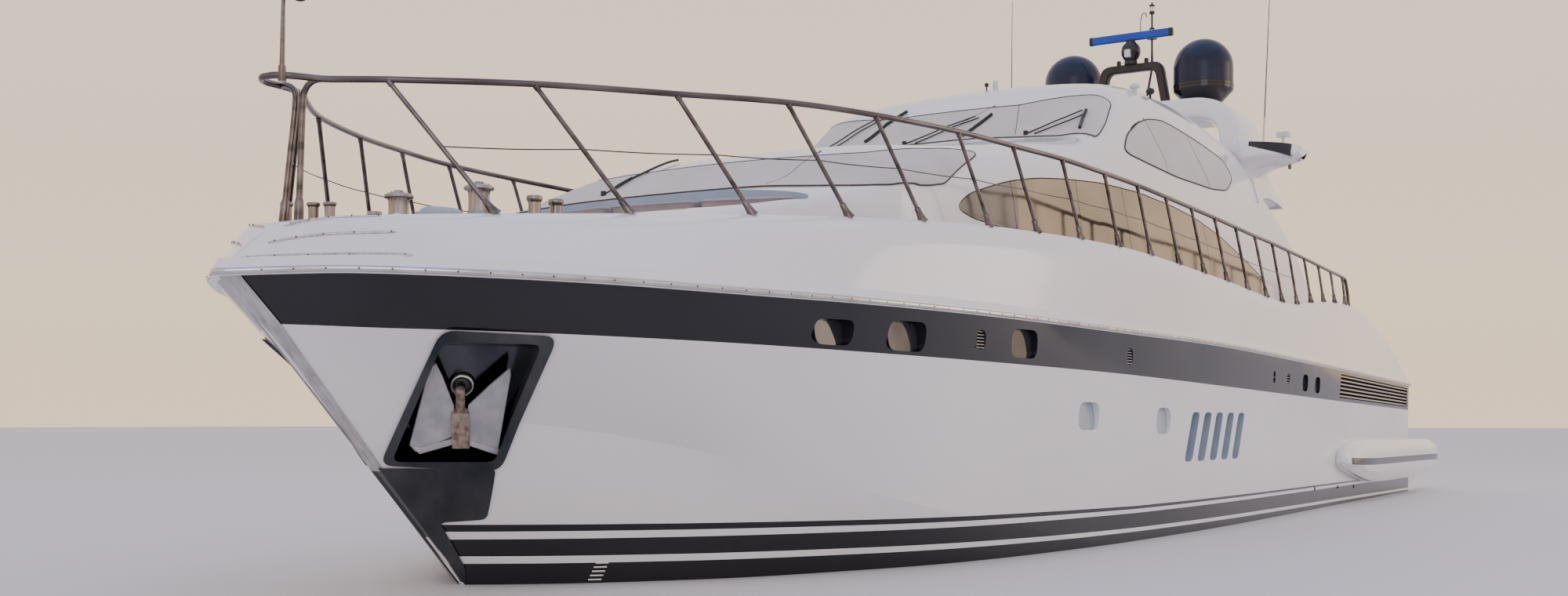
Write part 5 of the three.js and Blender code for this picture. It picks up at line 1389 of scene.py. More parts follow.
POD_KEYS = [-row["x"] for row in POD_ROWS]
POD_STRIPE = {"low": -0.07, "high": 0.07, "fore_x": -6.62, "ridge_x": -6.6}


def pod_ring(x):
    values = [(row["y"], row["half"], row["top"], row["low"], row["mid"]) for row in POD_ROWS]
    y, half, top, low, middle = between(POD_KEYS, values, -x)
    ridge = min(POD_STRIPE["high"] + (POD_STRIPE["ridge_x"] - x) * 0.16, top * 0.62)
    ridge = max(ridge, POD_STRIPE["high"] + 0.001)
    stripe_low = max(POD_STRIPE["low"], low * 0.4)
    outer = [
        (-half, low * 0.4), (-half * 0.4, low), (half * 0.35, low), (half * 0.86, low * 0.55),
        (half, stripe_low), (half, POD_STRIPE["high"]), (half * 0.96, ridge),
        (half * 0.72, max(top * 0.72, ridge + 0.004)), (half * 0.25, top), (-half * 0.5, top),
        (-half, top * 0.7),
    ]
    return [(x, y + out, middle + up) for out, up in outer]


pod_steps = steps_between(POD_ROWS[-1]["x"], POD_ROWS[0]["x"], 120)
pod = loft("platform_wing_port", [pod_ring(x) for x in pod_steps])
coat(pod, white_paint, black_paint)
for face in pod.data.polygons:
    middle = face.center
    values = [(row["y"], row["half"], row["mid"]) for row in POD_ROWS]
    y, half, mid = between(POD_KEYS, values, -middle.x)
    on_stripe = abs(middle.z - mid) < 0.05 and middle.y > y + half * 0.9
    face.material_index = int(on_stripe and middle.x < POD_STRIPE["fore_x"])
smooth_over(pod, 22)
settle_pair(pod)
PIER = {"y": 3.1, "half": 0.12}
PIER_OUTLINE = [(-14.55, 0.45), (-14.55, -0.12), (-15.35, -0.12), (-15.75, 0.45)]
for i, y in enumerate((PIER["y"], -PIER["y"])):
    pier = prism(f"platform_pier_{i + 1}", PIER_OUTLINE, y - PIER["half"], y + PIER["half"], "y")
    settle(coat(pier, white_paint))

# Windows.
# Bronze mirror panes lie flush in the deckhouse sides, bonded into a black seal. The
# seal shows as a thin line round each pane and between its neighbours.
def layer_of_house(name, outer, inner, cutter):
    """The layer of the deckhouse between two depths, within a cutter's outline."""
    layer = house_form(name, outer)
    carve(layer, house_form(name + "_core", inner))
    return carve(layer, cutter, "INTERSECT")


def seam_tool(top, foot, width):
    """A slim upright cutter, seen from the side, that parts two panes."""
    half = width / 2
    edges = [(top, -half), (top, half), (foot, half), (foot, -half)]
    return prism("seam", [(x + out, z) for (x, z), out in edges], *SIDE_REACH, "y")


def side_cutter(outline):
    return prism("outline", outline, *SIDE_REACH, "y")


seal_rubber = new_material("window_seal", (0.012, 0.012, 0.013), 0.55)
mottle(seal_rubber, (0.009, 0.009, 0.01), (0.02, 0.019, 0.018), 8.0, roughness=(0.45, 0.7))
bronze_glass = new_material("bronze_mirror_glass", (0.3, 0.25, 0.2), 0.07, 0.85)
mottle(bronze_glass, (0.25, 0.21, 0.165), (0.36, 0.3, 0.24), 0.5, stretch=(1, 1, 2), roughness=(0.04, 0.12))
roughen(bronze_glass, 0.8, 0.004, detail=1.0)
grey_glass = new_material("grey_tinted_glass", (0.16, 0.15, 0.145), 0.08, 0.7)
mottle(grey_glass, (0.12, 0.115, 0.11), (0.21, 0.195, 0.185), 0.7, roughness=(0.05, 0.14))

SALOON_SEAMS = [
    {"top": (7.52, 4.95), "foot": (7.34, 3.9)}, {"top": (5.29, 5.25), "foot": (5.0, 3.9)},
    {"top": (3.48, 5.35), "foot": (2.97, 3.9)}, {"top": (1.5, 5.32), "foot": (0.5, 3.9)},
    {"top": (-0.33, 5.2), "foot": (-0.8, 3.9)},
]
PANE_GAP = 0.014
saloon_ring = SHAPED_WINDOWS["saloon"]
seal_cutter = side_cutter(pulled_in(saloon_ring, -0.01))
saloon_seal = layer_of_house("saloon_window_seal_port", 0.024, 0.05, seal_cutter)
coat(smooth_over(saloon_seal), seal_rubber)
pane_cutter = side_cutter(pulled_in(saloon_ring, 0.016))
saloon_pane = layer_of_house("saloon_window_panes_port", 0.004, 0.018, pane_cutter)
for seam in SALOON_SEAMS:
    carve(saloon_pane, seam_tool(seam["top"], seam["foot"], PANE_GAP))
coat(smooth_over(saloon_pane), bronze_glass, grey_glass)
for face in saloon_pane.data.polygons:
    face.material_index = int(face.center.x > SALOON_SEAMS[0]["foot"][0])
for piece in (saloon_seal, saloon_pane):
    settle_pair(piece, "saloon_window")

wheelhouse_cutter = side_cutter(pulled_in(SHAPED_WINDOWS["wheelhouse"], 0.004))
wheelhouse_pane = layer_of_house("wheelhouse_window_pane_port", 0.01, 0.03, wheelhouse_cutter)
coat(smooth_over(wheelhouse_pane), grey_glass)
settle_pair(wheelhouse_pane, "wheelhouse_window")

FRONT_REACH = {"lower": (4.1, 5.9), "upper": (5.7, 7.2)}
for key, reach in FRONT_REACH.items():
    node = key + "_windshield"
    ring = pulled_in(SHAPED_WINDOWS[key], 0.004)
    pane = layer_of_house(node + "_glass", 0.01, 0.035, prism("outline", ring, *reach, "z"))
    settle(coat(smooth_over(pane), grey_glass), node)

# Window covers.
# Sheets of pale open-weave mesh are stretched over the wheelhouse glass and clipped to
# its edges with a dark tape sewn round them. They keep the sun off the dashboards.
cover_mesh = new_material("pale_cover_mesh", (0.66, 0.62, 0.61), 0.85)
mottle(cover_mesh, (0.6, 0.56, 0.555), (0.7, 0.665, 0.655), 1.3, roughness=(0.75, 0.92))
cover_place = add_node(cover_mesh, "ShaderNodeTexCoord")
weave = add_node(cover_mesh, "ShaderNodeTexChecker", Scale=420.0)
weave_relief = add_node(cover_mesh, "ShaderNodeBump", Distance=0.0008, Strength=0.7)
join_nodes(cover_mesh, cover_place.outputs["Object"], weave.inputs["Vector"])
join_nodes(cover_mesh, weave.outputs["Fac"], weave_relief.inputs["Height"])
join_nodes(cover_mesh, weave_relief.outputs["Normal"], shader_of(cover_mesh).inputs["Normal"])
shader_of(cover_mesh).inputs["Sheen Weight"].default_value = 0.25
cover_tape = new_material("cover_edge_tape", (0.06, 0.05, 0.05), 0.7)
mottle(cover_tape, (0.04, 0.034, 0.034), (0.09, 0.078, 0.075), 12.0, roughness=(0.6, 0.85))
roughen(cover_tape, 300.0, 0.0006)


def over_house(u, v, axis):
    """The place on the deckhouse's port or top face, seen along y or along z."""
    ring = house_outline(u, -0.008)
    along, sought = (1, 0) if axis == "y" else (0, 1)
    found = []
    for a, b in zip(ring, ring[1:]):
        on_side = axis == "z" or a[0] > 1
        if on_side and a[along] != b[along] and min(a[along], b[along]) <= v <= max(a[along], b[along]):
            share = (v - a[along]) / (b[along] - a[along])
            found.append(a[sought] + (b[sought] - a[sought]) * share)
    best = max(found, default=ring[len(ring) // 4][sought])
    return (u, best, v) if axis == "y" else (u, v, best)


def tube(name, places, radius, sides=8, closed=False):
    """A pipe through a row of places, whose section doesn't twist."""
    points = [Vector(place) for place in places]
    count = len(points)
    side = None
    vertices = []
    faces = []
    for i, here in enumerate(points):
        if closed:
            run = points[(i + 1) % count] - points[i - 1]
        else:
            run = points[min(i + 1, count - 1)] - points[max(i - 1, 0)]
        run.normalize()
        side = run.orthogonal() if side is None else side - run * side.dot(run)
        side.normalize()
        up = run.cross(side)
        thick = radius[i] if isinstance(radius, (list, tuple)) else radius
        for turn in turns(sides):
            vertices.append(tuple(here + (side * math.cos(turn) + up * math.sin(turn)) * thick))
    for i in range(count if closed else count - 1):
        for k in range(sides):
            a = i * sides + k
            b = i * sides + (k + 1) % sides
            c = ((i + 1) % count) * sides + (k + 1) % sides
            d = ((i + 1) % count) * sides + k
            faces.append((a, b, c, d))
    if not closed:
        faces.append(tuple(reversed(range(sides))))
        faces.append(tuple((count - 1) * sides + k for k in range(sides)))
    return new_object(name, vertices, faces)


def stretched_line(points, pitch=0.06):
    """The same row of flat points with more of them between."""
    made = []
    for a, b in zip(points, points[1:]):
        count = max(1, round((Vector(b) - Vector(a)).length / pitch))
        made += [tuple(mix(a, b, i / count)) for i in range(count)]
    return made + [points[-1]]


TAPE_RADIUS = 0.011
SEAM_RADIUS = 0.006
COVER_DEPTH = (-0.01, -0.006)


def edge_tape(name, outline, axis):
    line = stretched_line(outline + outline[:1])[:-1]
    places = [over_house(u, v, axis) for u, v in line]
    return coat(tube(name, places, TAPE_RADIUS, 6, closed=True), cover_tape)


def sewn_seam(name, line, axis):
    places = [over_house(u, v, axis) for u, v in stretched_line(line)]
    return coat(tube(name, places, SEAM_RADIUS, 6), cover_tape)


SIDE_COVER = rounded([
    (3.14, 5.83), (2.88, 6.1), (2.2, 6.4), (1.72, 6.53), (1.08, 6.61), (0.38, 6.58), (-0.8, 6.5),
    (-2.08, 6.37), (-2.4, 6.1), (-1.9, 5.8), (-1.0, 5.72), (0.82, 5.7), (1.9, 5.74), (2.9, 5.78),
], 0.2, 4)
side_cover = layer_of_house("wheelhouse_side_cover_port", *COVER_DEPTH, side_cutter(SIDE_COVER))
coat(smooth_over(side_cover), cover_mesh)
SIDE_COVER_SEAMS = [
    [(1.9, 6.52), (1.64, 6.25), (1.36, 5.96), (1.24, 5.71)],
    [(-0.1, 6.55), (-0.42, 6.2), (-0.76, 5.92), (-0.86, 5.72)],
]
cover_parts = [edge_tape("wheelhouse_cover_tape_port", SIDE_COVER, "y")]
for i, line in enumerate(SIDE_COVER_SEAMS):
    cover_parts.append(sewn_seam(f"wheelhouse_cover_seam_{i + 1}_port", line, "y"))
side_cover_twin = mirrored(side_cover, "wheelhouse_side_cover_starboard")
twin_parts = [mirrored(part, part.name.removesuffix("_port") + "_starboard") for part in cover_parts]
for cover, parts, glass in (
    (side_cover, cover_parts, "wheelhouse_window_pane_port"),
    (side_cover_twin, twin_parts, "wheelhouse_window_pane_starboard"),
):
    settle(cover)
    for part in parts:
        settle(smooth_over(part, 60))

FRONT_COVERS = [
    {"name": "lower_windshield_cover", "key": "lower", "flat": (7.6, 1.7), "area": 10.2,
     "glass": "lower_windshield_glass", "seams": [[(10.86, 1.35), (10.3, 1.36), (9.5, 1.28)]]},
    {"name": "upper_windshield_cover", "key": "upper", "flat": (5.6, 1.2), "area": 6.0,
     "glass": "upper_windshield_glass",
     "seams": [[(4.06, 1.42), (3.7, 1.28), (3.3, 1.14)], [(4.08, -0.42), (3.7, 0.12), (3.28, 0.72)]]},
]
for row in FRONT_COVERS:
    ring = pulled_in(SHAPED_WINDOWS[row["key"]], -0.02)
    cover = layer_of_house(row["name"], *COVER_DEPTH, prism("outline", ring, *FRONT_REACH[row["key"]], "z"))
    coat(smooth_over(cover), cover_mesh)
    settle(cover)
    parts = [edge_tape(row["name"] + "_tape", ring, "z")]
    for i, line in enumerate(row["seams"]):
        parts.append(sewn_seam(f"{row['name']}_seam_{i + 1}", line, "z"))
    for part in parts:
        settle(smooth_over(part, 60))

# Wipers.
# Each upper windshield wiper is a black blade on two slim arms from a spindle at the foot
# of the glass. One plain wiper lies along the lower windshield.
wiper_black = new_material("wiper_black", (0.02, 0.02, 0.022), 0.35, 0.4)
mottle(wiper_black, (0.014, 0.014, 0.015), (0.04, 0.038, 0.036), 15.0, roughness=(0.25, 0.5))
WIPERS = [
    {"name": "far_wiper", "blade": [(3.82, -1.36), (3.46, -1.16), (3.22, -0.9)], "width": 0.026,
     "arms": [[(4.02, -2.3), (3.5, -1.7), (3.26, -1.3)], [(4.05, -2.1), (3.55, -1.6), (3.3, -1.2)]]},
    {"name": "middle_wiper", "blade": [(4.0, 0.5), (3.74, 0.6), (3.5, 0.76)], "width": 0.026,
     "arms": [[(4.06, -0.5), (3.7, 0.1), (3.54, 0.5)], [(4.08, -0.3), (3.74, 0.2), (3.58, 0.58)]]},
    {"name": "near_wiper", "blade": [(3.95, 2.42), (3.7, 2.36), (3.5, 2.34)], "width": 0.026,
     "arms": [[(4.08, 1.6), (3.8, 1.95), (3.54, 2.3)], [(4.1, 1.75), (3.86, 2.1), (3.62, 2.36)]]},
    {"name": "lower_wiper", "blade": [(10.4, -1.3), (9.9, -1.22), (9.2, -1.16)], "width": 0.016,
     "arms": [[(10.56, -1.34), (10.3, -1.3), (10.1, -1.24)]]},
]
LIFT = {"blade": 0.035, "arm": 0.055}
ARM_RADIUS = 0.011
for row in WIPERS:
    for part, lines, radius in (("blade", [row["blade"]], row["width"]), ("arm", row["arms"], ARM_RADIUS)):
        for i, line in enumerate(lines):
            dense = stretched_line(line, 0.03)
            places = []
            for k, (x, y) in enumerate(dense):
                z = over_house(x, y, "z")[2]
                rise = 1.0 if part == "blade" else min(1.0, 0.3 + k / len(dense) * 1.4)
                places.append((x, y, z + LIFT[part] * rise))
            bar = tube(f"{row['name']}_{part}_{i + 1}", places, radius, 8)
            settle(coat(smooth_over(bar, 60), wiper_black))
    x, y, z = over_house(*row["arms"][0][0], "z")
    spindle = tube(row["name"] + "_spindle", [(x, y, z - 0.02), (x, y, z + 0.06)], 0.035, 14)
    settle(coat(smooth_over(spindle, 50), wiper_black))

# Aft bulkhead and sliding door.
# The saloon closes aft with a white bulkhead of glass and joinery. Its door slides to
# port on a rail behind the fixed pane.
BULKHEAD = {"x": -5.0, "thick": 0.06, "half": 2.72, "door_y": 0.55, "door_top": 5.3, "top": 5.85}
bulkhead_half = [
    (BULKHEAD["half"], SOLE_Z), (BULKHEAD["half"] - 0.12, 5.3), (BULKHEAD["half"] - 0.25, BULKHEAD["top"]),
]
bulkhead_outline = bulkhead_half + [(-y, z) for y, z in reversed(bulkhead_half)]
bulkhead = prism(
    "aft_bulkhead_frame", bulkhead_outline, BULKHEAD["x"] - BULKHEAD["thick"], BULKHEAD["x"], "x",
)
coat(bulkhead, white_paint)
LIGHTS = {"y0": 0.68, "y1": 2.4, "z0": 3.55, "z1": 5.2, "radius": 0.12, "lap": 0.03}
openings = [
    ("doorway", -BULKHEAD["door_y"], BULKHEAD["door_y"], SOLE_Z - 0.1, BULKHEAD["door_top"], 0.02),
    ("port_light", LIGHTS["y0"], LIGHTS["y1"], LIGHTS["z0"], LIGHTS["z1"], LIGHTS["radius"]),
    ("starboard_light", -LIGHTS["y1"], -LIGHTS["y0"], LIGHTS["z0"], LIGHTS["z1"], LIGHTS["radius"]),
]
for name, y0, y1, z0, z1, radius in openings:
    ring = oblong(y0, y1, z0, z1, radius)
    carve(bulkhead, coat(prism(name, ring, -5.5, -4.5, "x"), white_paint))
settle(smooth_over(bulkhead, 30), "aft_bulkhead")
for name, y0, y1, z0, z1, radius in openings[1:]:
    lap = LIGHTS["lap"]
    ring = oblong(y0 - lap, y1 + lap, z0 - lap, z1 + lap, radius)
    pane = prism("bulkhead_" + name, ring, BULKHEAD["x"] - 0.042, BULKHEAD["x"] - 0.026, "x")
    settle(coat(smooth_over(pane, 30), grey_glass))

LEAF = {"x0": -4.992, "x1": -4.942, "half": 0.61, "z0": 3.208, "z1": 5.36, "stile": 0.08, "foot_rail": 0.12}
leaf_ring = oblong(-LEAF["half"], LEAF["half"], LEAF["z0"], LEAF["z1"], 0.03)
door_frame = coat(prism("saloon_door_frame", leaf_ring, LEAF["x0"], LEAF["x1"], "x"), brushed_steel)
light_half = LEAF["half"] - LEAF["stile"]
light_z = (LEAF["z0"] + LEAF["foot_rail"], LEAF["z1"] - LEAF["stile"])
light_ring = oblong(-light_half, light_half, *light_z, 0.05)
carve(door_frame, coat(prism("door_light", light_ring, -5.2, -4.8, "x"), brushed_steel))
settle(smooth_over(door_frame, 30), "saloon_door", on="saloon_door")
door_pane = prism("saloon_door_pane", pulled_in(light_ring, -0.01), -4.972, -4.96, "x")
settle(coat(smooth_over(door_pane, 30), grey_glass), on="saloon_door")
PULL_Y = -0.57
PULL_LINE = [(-4.982, 4.0), (-5.035, 4.0), (-5.04, 4.06), (-5.04, 4.44), (-5.035, 4.5), (-4.982, 4.5)]
pull = tube("saloon_door_pull", [(x, PULL_Y, z) for x, z in PULL_LINE], 0.012, 10)
settle(coat(smooth_over(pull, 60), polished_steel), on="saloon_door")

# Helm.
# The wheelhouse console is a moulded box with a padded dash, three blank screens and a
# steel wheel with a leather rim.
CONSOLE = {"x0": 0, "x1": 3.4, "half": 1.9, "z0": 3.98, "z1": 4.1}
console_base = box_body(
    "helm_console_base", CONSOLE["x0"], CONSOLE["x1"], -CONSOLE["half"], CONSOLE["half"],
    CONSOLE["z0"], CONSOLE["z1"],
)
DASH_OUTLINE = [(2.22, 4.08), (3.28, 4.08), (3.2, 5.2), (2.5, 5.35), (2.22, 4.9)]
DASH_HALF = 1.78
dash = prism("helm_dash", rounded(DASH_OUTLINE, 0.07), -DASH_HALF, DASH_HALF, "y")
dash_vinyl = new_material("dash_vinyl", (0.09, 0.085, 0.08), 0.6)
mottle(dash_vinyl, (0.07, 0.066, 0.062), (0.12, 0.114, 0.106), 9.0, roughness=(0.5, 0.7))
roughen(dash_vinyl, 220.0, 0.0008, detail=3.0)
for piece, finish in ((console_base, cream_lining), (dash, dash_vinyl)):
    settle(coat(smooth_over(piece, 40), finish), "helm_console")
screen_slope = (Vector((2.5, 0, 5.35)) - Vector((2.22, 0, 4.9))).normalized()
screen_foot = Vector((2.28, 0, 4.99))
SCREEN = {"half": 0.2, "tall": 0.26}
for i, y in enumerate((-0.45, 0.6, 1.2)):
    y0 = y - SCREEN["half"]
    y1 = y + SCREEN["half"]
    rings = []
    for edge in (screen_foot, screen_foot + screen_slope * SCREEN["tall"]):
        face = edge - Vector((0.012, 0, 0))
        back = edge + Vector((0.02, 0, -0.01))
        rings.append([
            (face.x, y0, face.z), (face.x, y1, face.z), (back.x, y1, back.z), (back.x, y0, back.z),
        ])
    settle(coat(loft(f"helm_screen_{i + 1}", rings), dark_glass_and_bore_shade))
WHEEL = {"centre": Vector((2.05, 0.6, 4.95)), "radius": 0.19, "axis": Vector((-0.85, 0, 0.35)).normalized()}
leather = new_material("cream_leather", (0.62, 0.54, 0.43), 0.55)
mottle(leather, (0.56, 0.48, 0.37), (0.67, 0.59, 0.48), 5.0, roughness=(0.45, 0.65))
roughen(leather, 160.0, 0.0012, detail=4.0)
wheel_rim = ring_of("helm_wheel_rim", WHEEL["centre"], WHEEL["axis"], WHEEL["radius"], 0.017)
settle(coat(smooth_over(wheel_rim, 80), dash_vinyl))
first_spoke = WHEEL["axis"].orthogonal().normalized()
for i, turn in enumerate(turns(3)):
    spoke = Matrix.Rotation(turn, 3, WHEEL["axis"]) @ first_spoke
    spoke_end = WHEEL["centre"] + spoke * WHEEL["radius"]
    bar = tube(f"helm_wheel_spoke_{i + 1}", [WHEEL["centre"], spoke_end], (0.012, 0.009), 8)
    settle(coat(smooth_over(bar, 60), polished_steel))
column_end = WHEEL["centre"] - WHEEL["axis"] * 0.34
column = tube("helm_wheel_column", [WHEEL["centre"], column_end], (0.04, 0.05), 14)
settle(coat(smooth_over(column, 60), polished_steel))


CLOTH_STEPS = 14
CLOTH_PRESSURE = 4.0
SWELLING = 0.02


def swollen(block, cell):
    """Swells a closed form as cloth round its filling, by a short run, no further than a limit."""
    grid = block.modifiers.new("grid", "REMESH")
    grid.mode = "VOXEL"
    grid.voxel_size = cell
    bpy.context.view_layer.update()
    seen = bpy.context.evaluated_depsgraph_get()
    made = bpy.data.meshes.new_from_object(block.evaluated_get(seen))
    block.modifiers.clear()
    block.data = made
    start = [vertex.co.copy() for vertex in made.vertices]
    cloth = block.modifiers.new("filling", "CLOTH")
    cloth.settings.use_pressure = True
    cloth.settings.uniform_pressure_force = CLOTH_PRESSURE
    cloth.settings.effector_weights.gravity = 0
    for step in range(1, CLOTH_STEPS + 1):
        bpy.context.scene.frame_set(step)
    seen = bpy.context.evaluated_depsgraph_get()
    puffed = bpy.data.meshes.new_from_object(block.evaluated_get(seen))
    block.modifiers.clear()
    bpy.context.scene.frame_set(1)
    for vertex, was in zip(puffed.vertices, start):
        moved = vertex.co - was
        if moved.length > SWELLING:
            vertex.co = was + moved.normalized() * SWELLING
    block.data = puffed
    subdivided = block.modifiers.new("smooth", "SUBSURF")
    subdivided.levels = 1
    subdivided.render_levels = 1
    block.data.shade_smooth()
    return block


def cushion(name, outline, start, end, axis, finish, node, cell=0.05):
    """A cushion from its flat outline, in place of the CAD node of its seat."""
    block = prism(name, rounded(outline, 0.06, 4), start, end, axis)
    pad = coat(swollen(block, cell), finish)
    settle(pad, node)


# Seats inside.
# A helm bench and two facing sofas are foam blocks in cream leather on boxed plinths.
BENCH_SEAT = [(0.97, 4.63), (1.47, 4.67), (1.47, 4.77), (0.97, 4.77)]
BENCH_BACK = [(0.8, 4.66), (0.9, 4.8), (0.77, 5.46), (0.69, 5.46)]
BENCH_PLINTH = [(0.92, 4.1), (1.28, 4.1), (1.33, 4.6), (0.86, 4.6)]
bench_plinth = prism("helm_seat_plinth", rounded(BENCH_PLINTH, 0.03), -0.18, 1.38, "y")
settle(coat(smooth_over(bench_plinth, 30), white_paint), "helm_seat")
cushion("helm_seat_cushion", BENCH_SEAT, -0.17, 1.37, "y", leather, "helm_seat")
cushion("helm_seat_back", BENCH_BACK, -0.17, 1.37, "y", leather, "helm_seat", cell=0.03)
SOFA_SEAT = [(1.3, 3.5), (2.05, 3.5), (2.03, 3.62), (1.3, 3.62)]
SOFA_BACK = [(2.12, 3.64), (2.4, 3.64), (2.4, 4.02), (2.24, 4.05)]
SOFA_PLINTH = [(1.3, 3.206), (2.42, 3.206), (2.42, 3.6), (2.1, 3.6), (2.1, 3.47), (1.3, 3.47)]
SOFA = {"x0": -3.88, "x1": -0.62, "seat_x0": -3.86, "pitch": 1.075, "seat_width": 1.05, "seats": 3}
for side, sign in SIDES:
    node = "saloon_sofa_" + side
    plinth = prism(node + "_plinth", [(y * sign, z) for y, z in SOFA_PLINTH], SOFA["x0"], SOFA["x1"], "x")
    settle(coat(plinth, cream_lining), node)
    seat = [(y * sign, z) for y, z in SOFA_SEAT]
    back = [(y * sign, z) for y, z in SOFA_BACK]
    for i in range(SOFA["seats"]):
        start = SOFA["seat_x0"] + i * SOFA["pitch"]
        end = start + SOFA["seat_width"]
        cushion(f"{node}_seat_{i + 1}", seat, start, end, "x", leather, node)
        cushion(f"{node}_back_{i + 1}", back, start, end, "x", leather, node)

# Cockpit.
# A settee across the stern end of the cockpit faces a teak table on a steel leg, and a
# sunpad in taupe cloth covers the garage.
SETTEE_SEAT = [(-10.33, 3.48), (-9.93, 3.48), (-9.93, 3.6), (-10.33, 3.62)]
SETTEE_BACK = [(-10.56, 3.6), (-10.4, 3.64), (-10.5, 3.96), (-10.57, 3.97)]
SETTEE_PLINTH = [
    (-10.57, 3.206), (-9.94, 3.206), (-9.94, 3.46), (-10.36, 3.46), (-10.4, 3.58), (-10.57, 3.58),
]
settee_plinth = prism("cockpit_settee_plinth", SETTEE_PLINTH, -1.97, 1.97, "y")
settle(coat(settee_plinth, white_paint), "cockpit_settee")
taupe = new_material("taupe_cloth", (0.36, 0.29, 0.28), 0.85)
mottle(taupe, (0.31, 0.25, 0.24), (0.41, 0.335, 0.32), 3.0, roughness=(0.78, 0.92))
roughen(taupe, 240.0, 0.0014, detail=2.0)
shader_of(taupe).inputs["Sheen Weight"].default_value = 0.3
SETTEE = {"y0": -1.96, "pitch": 0.985, "seat_width": 0.965, "seats": 4}
for i in range(SETTEE["seats"]):
    start = SETTEE["y0"] + i * SETTEE["pitch"]
    end = start + SETTEE["seat_width"]
    cushion(f"cockpit_settee_seat_{i + 1}", SETTEE_SEAT, start, end, "y", taupe, "cockpit_settee")
    cushion(
        f"cockpit_settee_back_{i + 1}", SETTEE_BACK, start, end, "y", taupe, "cockpit_settee", cell=0.03,
    )

TABLE = {"x0": -9.3, "x1": -8.4, "half": 0.7, "z0": 3.902, "z1": 3.94}
table_ring = oblong(TABLE["x0"], TABLE["x1"], -TABLE["half"], TABLE["half"], 0.12)
table_top = prism("cockpit_table_top", table_ring, TABLE["z0"], TABLE["z1"], "z")
settle(coat(smooth_over(table_top, 30), teak), "cockpit_table")
leg_places = [(-8.85, 0, z) for z in (3.204, 3.225, 3.235, 3.26, 3.88, 3.9)]
table_leg = tube("cockpit_table_leg", leg_places, (0.245, 0.245, 0.09, 0.055, 0.055, 0.12), 28)
settle(coat(smooth_over(table_leg, 35), brushed_steel), "cockpit_table")

SUNPAD_OUTLINE = [(-13.16, 3.572), (-10.76, 3.572), (-10.76, 3.69), (-13.16, 3.69)]
SUNPAD = {"half": 1.96, "pads": 3, "play": 0.012}
pad_width = SUNPAD["half"] * 2 / SUNPAD["pads"]
for i in range(SUNPAD["pads"]):
    start = -SUNPAD["half"] + i * pad_width + SUNPAD["play"]
    end = -SUNPAD["half"] + (i + 1) * pad_width - SUNPAD["play"]
    cushion(f"aft_sunpad_{i + 1}", SUNPAD_OUTLINE, start, end, "y", taupe, "aft_sunpad", cell=0.04)

# Foredeck sunpads.
# Four foam cushions in taupe cloth lie side by side in the recess before the windshield.
# Each cover has a row of piping sewn round its lower and its upper edge.
PAD_OUTLINES = {
    "inner": [(12.16, 0.04), (12.02, 1.12), (11.26, 1.12), (10.98, 0.04)],
    "outer": [(12.01, 1.18), (11.8, 1.9), (11.64, 2.3), (11.57, 2.22), (11.44, 1.78), (11.28, 1.18)],
}
PAD_Z = {"low": 4.035, "high": 4.165}
for side, sign in SIDES:
    for part, outline in PAD_OUTLINES.items():
        ring = rounded([(x, y * sign) for x, y in outline], 0.09, 4)
        pad = prism(f"foredeck_pad_{part}_{side}", ring, PAD_Z["low"], PAD_Z["high"], "z")
        coat(swollen(pad, 0.026), taupe)
        settle(pad, "foredeck_cushion_" + side)
        line = stretched_line(ring + ring[:1], 0.05)[:-1]
        for height, name in ((PAD_Z["low"] + 0.03, "low"), (PAD_Z["high"] - 0.02, "high")):
            places = [(x, y, height) for x, y in pulled_in(line, -0.014)]
            piping = tube(f"foredeck_pad_piping_{name}_{part}_{side}", places, 0.007, 6, closed=True)
            settle(coat(smooth_over(piping, 80), taupe))

# Windlass bed and capstans.
# Two upright capstans of cast and polished steel stand on seats moulded into the bed. Each
# ribbed drum is keyed to a shaft that turns in the seat.
BED_OUTLINE = [(15.28, 0.84), (14.47, 0.88), (14.47, -0.88), (15.28, -0.84)]
BED_TOP = 3.56
bed = prism("windlass_bed_plate", rounded(BED_OUTLINE, 0.12), FOREDECK_Z - 0.01, BED_TOP, "z")
settle(coat(smooth_over(bed, 30), white_paint), "windlass_bed")


def turned(name, centre, profile, sides=40, grooves=0, groove_depth=0.0, groove_rows=()):
    """A body turned on a lathe from a row of radius and height, fluted where asked."""
    x, y, z = centre
    rings = []
    for row, (radius, height) in enumerate(profile):
        ring = []
        for turn in turns(sides):
            flute = groove_depth * (0.5 - 0.5 * math.cos(turn * grooves)) if row in groove_rows else 0.0
            reach = radius - flute
            ring.append((x + reach * math.cos(turn), y + reach * math.sin(turn), z + height))
        rings.append(ring)
    return loft(name, rings)


WINDLASS = {"x": 14.85, "y": 0.56, "seat_z": 3.64}
CAP_BOLTS = {"radius": 0.1, "height": 0.396}
SEAT_PROFILE = [(0.25, -0.1), (0.245, -0.03), (0.235, -0.005), (0.225, 0.0)]
DRUM_PROFILE = [
    (0.16, 0.01), (0.17, 0.02), (0.17, 0.045), (0.16, 0.058), (0.14, 0.07), (0.126, 0.095), (0.116, 0.12),
    (0.11, 0.16), (0.108, 0.22), (0.109, 0.29), (0.113, 0.32), (0.118, 0.335), (0.142, 0.342),
    (0.151, 0.348), (0.153, 0.358), (0.151, 0.37), (0.12, 0.39), (0.06, 0.405), (0.045, 0.424),
    (0.02, 0.428),
]
drum_steel = new_material("worn_capstan_steel", (0.3, 0.27, 0.25), 0.3, 0.95)
mottle(
    drum_steel, (0.18, 0.155, 0.145), (0.42, 0.38, 0.35), 7.0, stretch=(1, 1, 0.3), roughness=(0.18, 0.45),
)
roughen(drum_steel, 90.0, 0.001, detail=5.0, stretch=(1, 1, 0.2))
